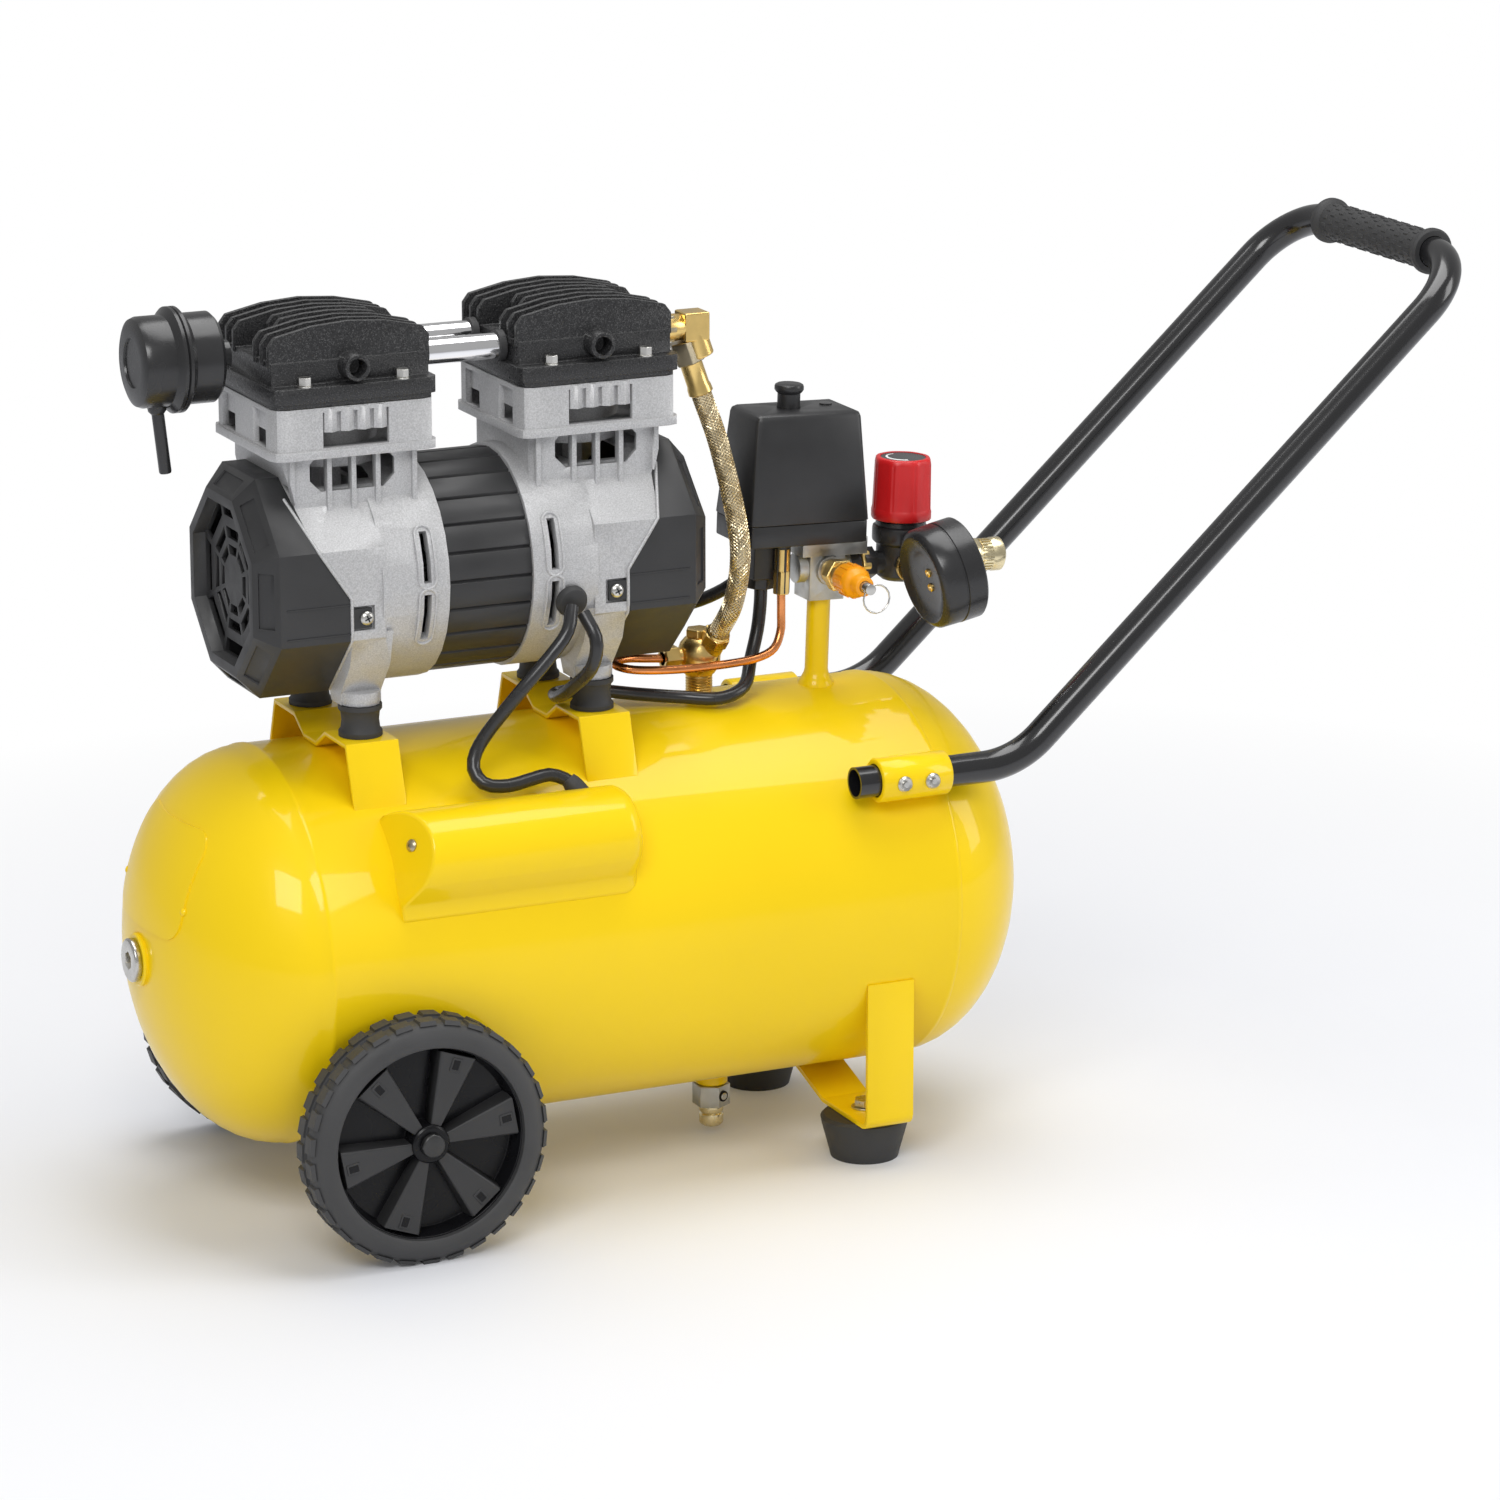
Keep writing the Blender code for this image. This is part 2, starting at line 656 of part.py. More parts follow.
def sleeve_bore(side):
    place = at(SLEEVE_START_X - 0.01, side * HANDLE_Y, HANDLE_Z, (1, 0, 0))
    return add("sleeve_bore", rod(HANDLE_SLEEVE_BORE, SLEEVE_END_X - SLEEVE_START_X + 0.02, 16), place)


def build_tank():
    tank = turned(
        "receiver_tank", tank_profile(), at(0, 0, TANK_AXIS_Z, (1, 0, 0)), YELLOW, steps=TANK_SIDES
    )
    weld = tank_core(-0.0012)
    boss = add(
        "drain_boss", rod(DRAIN_BOSS_RADIUS, DRAIN_BOSS_LENGTH + 0.0015, 14),
        at(DRAIN_X, 0, TANK_BOTTOM_Z - DRAIN_BOSS_LENGTH),
    )
    join(tank, boss)
    for side in (-1, 1):
        sleeve = handle_sleeve(side)
        cut(sleeve, weld)
        join(tank, wheel_bracket(side, weld), sleeve)
    drain_bore = add(
        "drain_bore", rod(DRAIN_SCREW_STEM_RADIUS + 0.002, 0.02, 16),
        at(DRAIN_X, 0, TANK_BOTTOM_Z - DRAIN_BOSS_LENGTH - 0.005),
    )
    return cut(tank, sleeve_bore(-1), sleeve_bore(1), drain_bore)


def build_plug():
    """Hexagon-socket plug in the bung at the tank's left pole."""
    face = SHELL_START_X - HEAD_DEPTH - PLUG_BUNG_PROUD - CLEARANCE
    shank = PLUG_PORT_RADIUS - CLEARANCE
    profile = [
        (0.0, PLUG_HEAD_LENGTH),
        (PLUG_HEAD_RADIUS - 0.001, PLUG_HEAD_LENGTH),
        (PLUG_HEAD_RADIUS, PLUG_HEAD_LENGTH - 0.001),
        (PLUG_HEAD_RADIUS, 0.0),
        (shank, 0.0),
        (shank, -PLUG_SHANK_LENGTH),
        (0.0, -PLUG_SHANK_LENGTH),
    ]
    plug = turned("tank_plug", profile, at(face, 0, TANK_AXIS_Z, (-1, 0, 0)), STEEL, steps=24)
    socket = add(
        "plug_socket", rod(PLUG_SOCKET_RADIUS, 0.02, 6),
        at(face - PLUG_HEAD_LENGTH + 0.006, 0, TANK_AXIS_Z, (-1, 0, 0)),
    )
    return cut(plug, socket)


def build_drain():
    """Hexagon valve body under the tank, and the knurled screw that opens it."""
    top = TANK_BOTTOM_Z - DRAIN_BOSS_LENGTH - CLEARANCE
    hexagon = rod(DRAIN_HEX_RADIUS, DRAIN_HEX_LENGTH, 6)
    body = add("drain_body", hexagon, at(DRAIN_X, 0, top - DRAIN_HEX_LENGTH), STEEL)
    stem = DRAIN_SCREW_STEM_RADIUS
    nipple = add("drain_nipple", rod(stem + 0.0017, 0.012, 16), at(DRAIN_X, 0, top - 0.004))
    bore = add("drain_body_bore", rod(stem + CLEARANCE, 0.06, 16), at(DRAIN_X, 0, top - 0.04))
    cut(join(body, nipple), bore)
    screw_top = top - DRAIN_HEX_LENGTH - CLEARANCE
    pivot = new_empty("drain_screw_axis", ROOT, at(DRAIN_X, 0, screw_top))
    grip, stem = DRAIN_SCREW_RADIUS, DRAIN_SCREW_STEM_RADIUS
    profile = [
        (0.0, DRAIN_SCREW_STEM_LENGTH),
        (stem, DRAIN_SCREW_STEM_LENGTH),
        (stem, 0.0),
        (grip, 0.0),
        (grip, -0.004),
        (grip - 0.001, -0.005),
        (grip, -0.006),
        (grip, 0.0015 - DRAIN_SCREW_LENGTH),
        (grip - 0.0015, -DRAIN_SCREW_LENGTH),
        (0.0, -DRAIN_SCREW_LENGTH),
    ]
    turned("drain_screw", profile, Matrix(), BRASS, steps=16, parent=pivot)


# ---------------------------------------------------------------- wheels and feet


def wheel_mesh_parts(pivot, name):
    """Tyre, rim, web and hub in one moulding, with raised wedge spokes on the outside."""
    half, web = WHEEL_WIDTH / 2, WHEEL_WEB / 2
    bore = AXLE_RADIUS + CLEARANCE
    shoulder, tread = WHEEL_RADIUS - 0.0080, WHEEL_RADIUS
    side = [(RIM_RADIUS, web), (RIM_RADIUS + 0.001, half - 0.0015), (shoulder, half), (tread, half - 0.005)]
    below = [(radius, -height) for radius, height in side[::-1]]
    hub = half - 0.001
    profile = [(bore, hub), (WHEEL_HUB_RADIUS, hub), (WHEEL_HUB_RADIUS, web), *side, *below]
    profile += [(WHEEL_HUB_RADIUS, -web), (WHEEL_HUB_RADIUS, -hub), (bore, -hub)]
    wheel = turned(name, profile, Matrix(), RUBBER, steps=24, parent=pivot)
    edge = math.degrees(SPOKE_HALF_ANGLE)
    outline = [(WHEEL_HUB_RADIUS - 0.002, 0.003), (WHEEL_HUB_RADIUS - 0.002, -0.003)]
    outline += arc((0, 0), RIM_RADIUS + 0.0008, -edge, edge, 2)
    middle = RIM_RADIUS - 0.007
    pocket = [(middle, 0.003), (middle, -0.003), (RIM_RADIUS - 0.001, -0.0055), (RIM_RADIUS - 0.001, 0.0055)]
    wedge = slab([outline, pocket], SPOKE_RISE)
    lift = Matrix.Translation((0, 0, web + SPOKE_RISE / 2 - 0.0004))
    turns = [Matrix.Rotation(FULL_TURN * i / WHEEL_SPOKES, 4, "Z") @ lift for i in range(WHEEL_SPOKES)]
    spokes = add(name + "_spokes", copies(wedge, turns), Matrix(), parent=pivot)
    return join(wheel, spokes)


def build_wheel(side, word):
    out = (0, side, 0)
    pivot = new_empty(f"wheel_{word}_axis", ROOT, at(0, side * WHEEL_Y, WHEEL_RADIUS, out))
    wheel_mesh_parts(pivot, f"wheel_{word}")
    start = WHEEL_BRACKET_Y - BRACKET_PLATE - 0.006  # inner end of the nut, from the mid-plane
    face = WHEEL_Y + WHEEL_WIDTH / 2 - 0.001 + CLEARANCE
    cap, shank = AXLE_CAP_RADIUS, AXLE_RADIUS
    spacer = WHEEL_Y - WHEEL_WIDTH / 2 + 0.001 - CLEARANCE
    nut_top = WHEEL_BRACKET_Y - BRACKET_PLATE - CLEARANCE
    profile = [
        (0.0, face + AXLE_CAP_LENGTH),
        (cap - 0.001, face + AXLE_CAP_LENGTH),
        (cap, face + AXLE_CAP_LENGTH - 0.001),
        (cap, face),
        (shank, face),
        (shank, spacer),
        (shank + 0.003, spacer),
        (shank + 0.003, WHEEL_BRACKET_Y + CLEARANCE),
        (shank, WHEEL_BRACKET_Y + CLEARANCE),
        (shank, start - 0.003),
        (0.0, start - 0.003),
    ]
    axle = turned(f"axle_bolt_{word}", profile, at(0, 0, WHEEL_RADIUS, out), STEEL, steps=12)
    nut = add(f"axle_nut_{word}", rod(0.009, nut_top - start, 6), at(0, side * start, WHEEL_RADIUS, out))
    join(axle, nut)


def build_feet():
    """A folded strap under the tank, welded at its middle and both ends, on two rubber feet."""
    base_z = FOOT_HEIGHT + BRACKET_PLATE / 2
    strap_y = FOOT_STRAP_Y
    middle_z = TANK_BOTTOM_Z - CLEARANCE - BRACKET_PLATE / 2
    half = [(strap_y, FOOT_STRAP_TOP_Z), (strap_y, base_z), (FOOT_STRAP_FLAT_Y, base_z),
            (FOOT_STRAP_MIDDLE_Y, middle_z)]
    corners = half + [(-y, z) for y, z in half[::-1]]
    outline = strap([tuple(p) for p in rounded_path(corners, FOOT_STRAP_BEND, 3)], BRACKET_PLATE)
    bracket = add(
        "foot_bracket", slab([outline], FOOT_STRAP_WIDTH), at(FOOT_X, 0, 0, (1, 0, 0)), YELLOW
    )
    cut(bracket, tank_core(CLEARANCE))
    height = FOOT_HEIGHT - CLEARANCE
    profile = [
        (0.0, height),
        (FOOT_TOP_RADIUS - 0.001, height),
        (FOOT_TOP_RADIUS, height - 0.002),
        (FOOT_BOTTOM_RADIUS + 0.0015, 0.003),
        (FOOT_BOTTOM_RADIUS, 0.0),
        (0.0, 0.0),
    ]
    for side, word in ((-1, "front"), (1, "rear")):
        turned(f"rubber_foot_{word}", profile, at(FOOT_X, side * FOOT_Y, 0), RUBBER, steps=20)


# ---------------------------------------------------------------- pump


def pump_at(side, out, y, z, normal=(0, 0, 1), turn=0.0):
    """A place that lies outwards from the pump's mid-plane."""
    return at(PUMP_X + side * out, y, z, normal, turn)


def outward(side, out, turn=0.0):
    """A place on the shaft's axis that looks outwards."""
    return pump_at(side, out, 0, SHAFT_Z, (side, 0, 0), turn)


def build_saddle(side, word):
    """A folded strip across the tank: two raised seats for the rubber mounts, joined by a dip."""
    seat = SADDLE_TOP_Z - BRACKET_PLATE / 2
    dip = TANK_TOP_Z + CLEARANCE + BRACKET_PLATE / 2
    half = [(SADDLE_LEG_Y, SADDLE_LEG_Z), (SADDLE_HALF_LENGTH, seat), (SADDLE_SEAT_Y, seat),
            (SADDLE_DIP_Y, dip)]
    corners = half + [(-y, z) for y, z in half[::-1]]
    outline = strap(corners, BRACKET_PLATE)
    place = pump_at(side, MOUNT_OUT, 0, 0, (1, 0, 0))
    saddle = add(f"saddle_{word}", slab([outline], SADDLE_WIDTH), place, YELLOW)
    cut(saddle, tank_core(CLEARANCE))
    for front, depth in ((-1, "front"), (1, "rear")):
        height = MOUNT_HEIGHT - 2 * CLEARANCE
        add(
            f"rubber_mount_{depth}_{word}", rod(MOUNT_RADIUS, height, 16),
            pump_at(side, MOUNT_OUT, front * MOUNT_Y, SADDLE_TOP_Z + CLEARANCE), RUBBER,
        )


def joint_cutter(name, side, shift, far):
    """All that lies beyond the joint between crankcase and fan cover, seen from the front.

    far is how far outwards from the mid-plane the cutter reaches: past the cover, or back to the middle.
    """
    outline = [(out + shift, SHAFT_Z + z) for out, z in COVER_JOINT]
    outline += [(far, outline[-1][1]), (far, outline[0][1])]
    outline = [(side * out, z) for out, z in outline]
    return add(name, slab([outline], 3 * BODY_APOTHEM), at(PUMP_X, 0, 0, (0, -1, 0)))


def neck_windows(side, word):
    """Front and rear eight-sided openings under the block, which show the cylinder's liner."""
    half, low, top, chamfer = WINDOW_WIDTH / 2, WINDOW_TOP_Z - WINDOW_HEIGHT, WINDOW_TOP_Z, WINDOW_CHAMFER
    outline = [
        (-half, low + chamfer), (-half + chamfer, low), (half - chamfer, low), (half, low + chamfer),
        (half, top - chamfer / 2), (half - chamfer / 2, top), (chamfer / 2 - half, top),
        (-half, top - chamfer / 2),
    ]
    place = pump_at(side, CYLINDER_OUT, 0, 0, (0, -1, 0))
    return add(f"neck_windows_{word}", slab([outline], NECK_DEPTH + 0.03), place)


def neck_ribs(side, word):
    low, high = NECK_RIB_BOTTOM_Z, BLOCK_BOTTOM_Z - CLEARANCE
    depth = NECK_RIB_PROUD + NECK_WALL
    rib = box(NECK_RIB_WIDTH, depth, high - low)
    face = NECK_DEPTH / 2 + NECK_RIB_PROUD - depth / 2
    places = [Matrix.Translation((x, y, 0)) for x in NECK_RIB_OFFSETS for y in (-face, face)]
    return add(f"neck_ribs_{word}", copies(rib, places), pump_at(side, CYLINDER_OUT, 0, (low + high) / 2))


def ring_vents(side, word):
    """Slots round the ring, as sectors of a thin disc."""
    sectors = []
    for low, high in VENT_ANGLES:
        for start, end in ((180 - high, 180 - low), (low, high)):
            outer = arc((0, 0), RING_RADIUS + 0.004, start, end, 2)
            inner = arc((0, 0), RING_BORE - 0.004, end, start, 2)
            sectors.append(outer + inner)
    place = pump_at(side, VENT_OUT, 0, SHAFT_Z, (1, 0, 0))
    return add(f"ring_vents_{word}", slab(sectors, VENT_WIDTH), place)


def engine_foot(side, word):
    """A leg and a round pad on each side, over the rubber mounts."""
    pad_z = SADDLE_TOP_Z + MOUNT_HEIGHT
    pad_top = pad_z + ENGINE_PAD_THICKNESS
    leg = [(-0.0665, SHAFT_Z - 0.024), (-0.0600, SHAFT_Z - 0.046), (-0.0440, pad_top - 0.001),
           (-0.0440, pad_z), (-0.0280, pad_z), (-0.0240, pad_top), (-0.0330, SHAFT_Z - 0.036)]
    legs = [leg, [(-y, z) for y, z in leg]]
    leg_place = pump_at(side, MOUNT_OUT, 0, 0, (1, 0, 0))
    made = add(f"engine_legs_{word}", slab(legs, ENGINE_LEG_WIDTH), leg_place)
    pad = rod(MOUNT_RADIUS - 0.0012, ENGINE_PAD_THICKNESS, 14)
    places = [Matrix.Translation((0, y, 0)) for y in (-MOUNT_Y, MOUNT_Y)]
    pads = add(f"engine_pads_{word}", copies(pad, places), pump_at(side, MOUNT_OUT, 0, pad_z))
    return join(made, pads)


def build_crankcase(side, word):
    """Casting: a slotted ring against the motor, an eight-sided body and the neck below the block."""
    neck_low, neck_high = NECK_BOTTOM_Z, BLOCK_BOTTOM_Z - CLEARANCE
    neck_outline = rounded_box(NECK_WIDTH, NECK_DEPTH, 0.004, 1)
    neck = add(
        f"crankcase_{word}", slab([neck_outline], neck_high - neck_low),
        pump_at(side, CYLINDER_OUT, 0, (neck_low + neck_high) / 2), CAST_ALLOY,
    )
    neck_room = add(
        f"neck_room_{word}", box(NECK_WIDTH - 2 * NECK_WALL, NECK_DEPTH - 2 * NECK_WALL, 0.1),
        pump_at(side, CYLINDER_OUT, 0, BLOCK_BOTTOM_Z - 0.0025),
    )
    ring_start = STATOR_HALF_LENGTH + CLEARANCE
    ring = add(f"ring_{word}", rod(RING_RADIUS, RING_END + 0.002 - ring_start, 28), outward(side, ring_start))
    body_radius = octagon(BODY_APOTHEM)
    body = add(
        f"body_{word}", rod(body_radius, BODY_END - RING_END, 8),
        outward(side, RING_END, OCTAGON_TURN),
    )
    room = add(
        f"body_room_{word}", rod(octagon(BODY_APOTHEM - BODY_WALL), 0.1, 8),
        outward(side, RING_END + BULKHEAD / 2, OCTAGON_TURN),
    )
    ring_room = add(
        f"ring_room_{word}", rod(RING_BORE, RING_END - BULKHEAD / 2 - 0.02, 24), outward(side, 0.02)
    )
    rod_slot = add(
        f"rod_slot_{word}", box(0.032, 0.050, 0.045),
        pump_at(side, RING_END + BULKHEAD / 2 + 0.018, 0, SHAFT_Z + 0.0565),
    )
    bearing = add(f"bearing_bore_{word}", rod(SHAFT_RADIUS + CLEARANCE, 0.05, 20), outward(side, 0.045))
    tab_pocket = add(
        f"tab_pocket_{word}", box(TAB_LENGTH - 0.004, 0.0060, TAB_HEIGHT + 0.003),
        pump_at(side, COVER_KNEE - 0.0070, -BODY_APOTHEM, SHAFT_Z - TAB_DROP),
    )
    cut(neck, neck_room)
    join(neck, ring, body, engine_foot(side, word))
    cut(neck, room, ring_room, rod_slot, bearing, neck_windows(side, word))
    join(neck, neck_ribs(side, word))
    beyond = joint_cutter(f"cover_side_{word}", side, -CLEARANCE, 3 * BODY_APOTHEM)
    return cut(neck, beyond, ring_vents(side, word), tab_pocket)


def window_recess(width, name, spot):
    """Cutters for one cooling window of the block: a shallow recess with an open slot low in it.

    spot gives the place on the wall's face for a height.
    """
    back = Matrix.Translation((0, 0, -0.0010))
    recess = box(width, LOUVRE_TOP - WINDOW_SLOT_LOW, 0.0050)
    slot = box(width, LOUVRE_LOW - WINDOW_SLOT_LOW, 0.0240)
    return (
        add(f"recess_{name}", recess, spot((WINDOW_SLOT_LOW + LOUVRE_TOP) / 2) @ back),
        add(f"slot_{name}", slot, spot((WINDOW_SLOT_LOW + LOUVRE_LOW) / 2)),
    )


def louvres(width, name, spot):
    """The scalloped upright ribs in the upper half of a window."""
    rib = rod(width / 9.0, LOUVRE_TOP - LOUVRE_LOW + 0.0020, 6)
    turn = Matrix.Rotation(-math.pi / 2, 4, "X")
    places = [Matrix.Translation((width * (i - 1.5) / 4.0, 0, -0.0030)) @ turn for i in range(4)]
    return add(f"louvres_{name}", copies(rib, places), spot(LOUVRE_LOW + 0.0005))


def block_wall(side, normal, y, z):
    """A place on the outer face of the block's wall that looks along the normal."""
    middle = pump_at(side, CYLINDER_OUT, y, z).translation
    reach = Vector((normal[0] * BLOCK_WIDTH / 2, normal[1] * BLOCK_DEPTH / 2, 0))
    return at(*(middle + reach), normal)


def build_block(side, word):
    """Cooling jacket of the cylinder: louvred walls round a cast-in liner."""
    height = GASKET_Z - BLOCK_BOTTOM_Z
    middle = (GASKET_Z + BLOCK_BOTTOM_Z) / 2
    block = add(
        f"cylinder_block_{word}", slab([rounded_box(BLOCK_WIDTH, BLOCK_DEPTH, BLOCK_CORNER)], height),
        pump_at(side, CYLINDER_OUT, 0, middle), CAST_ALLOY,
    )
    ledge_size = (BLOCK_WIDTH + 2 * BLOCK_LEDGE, BLOCK_DEPTH + 2 * BLOCK_LEDGE, BLOCK_CORNER)
    ledge = add(
        f"block_ledge_{word}", slab([rounded_box(*ledge_size)], BLOCK_LEDGE_HEIGHT),
        pump_at(side, CYLINDER_OUT, 0, BLOCK_BOTTOM_Z + BLOCK_LEDGE_HEIGHT / 2),
    )
    room = add(
        f"block_room_{word}", box(BLOCK_WIDTH - 2 * BLOCK_WALL, BLOCK_DEPTH - 2 * BLOCK_WALL, 0.06),
        pump_at(side, CYLINDER_OUT, 0, GASKET_Z - BLOCK_WALL - 0.03),
    )
    floor = add(
        f"block_floor_{word}", box(BLOCK_WIDTH - 0.002, BLOCK_DEPTH - 0.002, 0.003),
        pump_at(side, CYLINDER_OUT, 0, BLOCK_BOTTOM_Z + 0.0015),
    )
    liner = add(
        f"liner_{word}", rod(LINER_RADIUS, GASKET_Z - LINER_BOTTOM_Z - 0.002, 20),
        pump_at(side, CYLINDER_OUT, 0, LINER_BOTTOM_Z),
    )
    bore_place = pump_at(side, CYLINDER_OUT, 0, LINER_BOTTOM_Z - 0.02)
    bore = add(f"bore_{word}", rod(LINER_BORE, 0.08, 20), bore_place)
    join(block, ledge)
    cut(block, room)
    join(block, floor, liner)
    cut(block, bore)
    for way in (-1, 1):
        front = partial(block_wall, side, (0, way, 0), 0.0)
        cut(block, *window_recess(BLOCK_WINDOW_WIDTH, f"{word}_y{way}", front))
        join(block, louvres(BLOCK_WINDOW_WIDTH, f"{word}_y{way}", front))
        for number, y in enumerate((-FLANK_WINDOW_Y, FLANK_WINDOW_Y)):
            flank = partial(block_wall, side, (way, 0, 0), y)
            cut(block, *window_recess(FLANK_WINDOW_WIDTH, f"{word}_x{way}_{number}", flank))
    return block


def fin_outline(half_width):
    """Side view of one cooling fin: a long crowned top with rounded ends."""
    full = FIN_HALF_WIDTH

    def crown(x):
        return FIN_CROWN_Z - FIN_DROP * (x / full) ** 2

    count = 4
    end = half_width - FIN_CORNER
    top = [end * (1 - 2 * i / count) for i in range(count + 1)]
    right = [(half_width, HEAD_CORE_TOP_Z - 0.003), (half_width, crown(half_width) - FIN_CORNER)]
    return right + [(x, crown(x)) for x in top] + [(-x, z) for x, z in right[::-1]]


def build_head(side, word):
    """Cylinder head on its valve plate, with crowned fins and a tapped boss at the front."""
    gasket_top = GASKET_Z + CLEARANCE + GASKET_THICKNESS
    place = (side, CYLINDER_OUT, 0)
    flange_height = HEAD_FLANGE_TOP_Z - gasket_top + 0.0005
    head = add(
        f"cylinder_head_{word}", slab([rounded_box(HEAD_WIDTH, HEAD_DEPTH_Y, HEAD_CORNER)], flange_height),
        pump_at(*place, HEAD_FLANGE_TOP_Z - flange_height / 2), BLACK_CAST,
    )
    gasket_size = (HEAD_WIDTH - 2 * GASKET_INSET, HEAD_DEPTH_Y - 2 * GASKET_INSET, HEAD_CORNER)
    gasket = add(
        f"gasket_{word}", slab([rounded_box(*gasket_size)], GASKET_THICKNESS + 0.001),
        pump_at(*place, gasket_top - GASKET_THICKNESS / 2 + 0.0005),
    )
    core = add(
        f"head_core_{word}",
        box(HEAD_CORE_WIDTH, HEAD_CORE_DEPTH, HEAD_CORE_TOP_Z - HEAD_FLANGE_TOP_Z + 0.004),
        pump_at(*place, (HEAD_CORE_TOP_Z + HEAD_FLANGE_TOP_Z) / 2 - 0.002),
    )
    pitch = FIN_SPAN / (FIN_COUNT - 1)
    long_fin = slab([fin_outline(FIN_HALF_WIDTH)], FIN_THICKNESS)
    short_fin = slab([fin_outline(INNER_FIN_HALF_WIDTH)], FIN_THICKNESS)
    spots = [Matrix.Translation((0, 0, pitch * i - FIN_SPAN / 2)) for i in range(FIN_COUNT)]
    inner = (FIN_COUNT // 2 - 1, FIN_COUNT // 2)
    fin_place = pump_at(*place, 0, (0, -1, 0))
    outer_spots = [spot for i, spot in enumerate(spots) if i not in inner]
    outer_fins = add(f"long_fins_{word}", copies(long_fin, outer_spots), fin_place)
    inner_fins = add(f"short_fins_{word}", copies(short_fin, [spots[i] for i in inner]), fin_place)
    boss = add(
        f"port_boss_{word}", rod(PORT_BOSS_RADIUS, 0.020, 16),
        pump_at(side, CYLINDER_OUT, -0.037, PORT_Z, (0, -1, 0)),
    )
    boss_bore = add(
        f"port_bore_{word}", rod(PORT_BOSS_BORE, 0.020, 12),
        pump_at(side, CYLINDER_OUT, -0.045, PORT_Z, (0, -1, 0)),
    )
    join(head, gasket, core, outer_fins, inner_fins, boss)
    return cut(head, boss_bore)


GRILLE_RINGS = ((0.0375, 0.0465, 5.0), (0.0245, 0.0310, 6.0), (0.0150, 0.0205, 8.0))


def grille_sectors():
    """Openings of the fan grille: rings of eight straight-sided slots, as (inner, outer, gap in degrees)."""
    outlines = []
    for inner, outer, gap in GRILLE_RINGS:
        for i in range(8):
            start, end = 45.0 * i - 22.5 + gap / 2, 45.0 * i + 22.5 - gap / 2
            corners = ((inner, start), (outer, start), (outer, end), (inner, end))
            polar = [(octagon(apothem), math.radians(angle)) for apothem, angle in corners]
            outlines.append([(radius * math.cos(angle), radius * math.sin(angle)) for radius, angle in polar])
    return outlines


def build_fan_cover(side, word):
    """Eight-sided moulded cowl with a sunk web grille in its end and a dark panel in each bevel."""
    wall = COVER_WALL
    outer, end = octagon(BODY_APOTHEM + COVER_PROUD), octagon(COVER_END_APOTHEM)
    inner, inner_end = octagon(BODY_APOTHEM - wall), octagon(COVER_END_APOTHEM - wall * 0.8)
    pocket, pocket_back = octagon(GRILLE_APOTHEM), octagon(GRILLE_APOTHEM + wall * 0.8)
    sunk = COVER_END - GRILLE_DEPTH
    profile = [
        (0.0, sunk),
        (pocket, sunk),
        (pocket, COVER_END),
        (end, COVER_END),
        (outer, BODY_END),
        (outer, COVER_START),
        (inner, COVER_START),
        (inner, BODY_END - 0.001),
        (inner_end, COVER_END - wall),
        (pocket_back, COVER_END - wall),
        (pocket_back, sunk - wall),
        (0.0, sunk - wall),
    ]
    cover = turned(f"fan_cover_{word}", profile, outward(side, 0.0, OCTAGON_TURN), DARK_PLASTIC, steps=8)
    crank_side = joint_cutter(f"crank_side_{word}", side, 0.0, 0.0)
    grille = add(f"grille_{word}", slab(grille_sectors(), 0.012), outward(side, sunk))
    slope = math.atan2(BODY_APOTHEM - COVER_END_APOTHEM, COVER_END - BODY_END)
    reach = (BODY_APOTHEM + COVER_END_APOTHEM) / 2
    panel = box(0.034, 0.0105, 0.0024)
    tilt = Matrix.Rotation(slope - math.pi / 2, 4, "X")
    spot = Matrix.Translation((0, reach, (BODY_END + COVER_END) / 2))
    bevels = [Matrix.Rotation(math.pi / 4 * i, 4, "Z") @ spot @ tilt for i in range(8)]
    panels = add(f"bevel_panels_{word}", copies(panel, bevels), outward(side, 0.0))
    tab_y = -BODY_APOTHEM - COVER_PROUD + TAB_THICKNESS / 2
    tab = add(
        f"cover_tab_{word}", box(TAB_LENGTH, TAB_THICKNESS, TAB_HEIGHT),
        pump_at(side, COVER_KNEE - 0.0030, tab_y, SHAFT_Z - TAB_DROP),
    )
    cut(cover, crank_side, grille, panels)
    return join(cover, tab)


def build_stator():
    """Motor housing of flat axial panels with grooves between them, round the rotor's bore."""
    step = 360.0 / STATOR_PANELS
    outline = []
    steps = ((STATOR_RADIUS, 0.0), (STATOR_RADIUS, 0.86), (STATOR_RADIUS - STATOR_GROOVE, 0.93))
    for i in range(STATOR_PANELS):
        for radius, share in steps:
            angle = math.radians(step * (i + share))
            outline.append((radius * math.cos(angle), radius * math.sin(angle)))
    bore = arc((0, 0), STATOR_BORE, 0, 340, 17)
    housing = slab([outline, bore], 2 * STATOR_HALF_LENGTH)
    add("motor_stator", housing, at(PUMP_X, 0, SHAFT_Z, (1, 0, 0)), BLACK_PLASTIC)


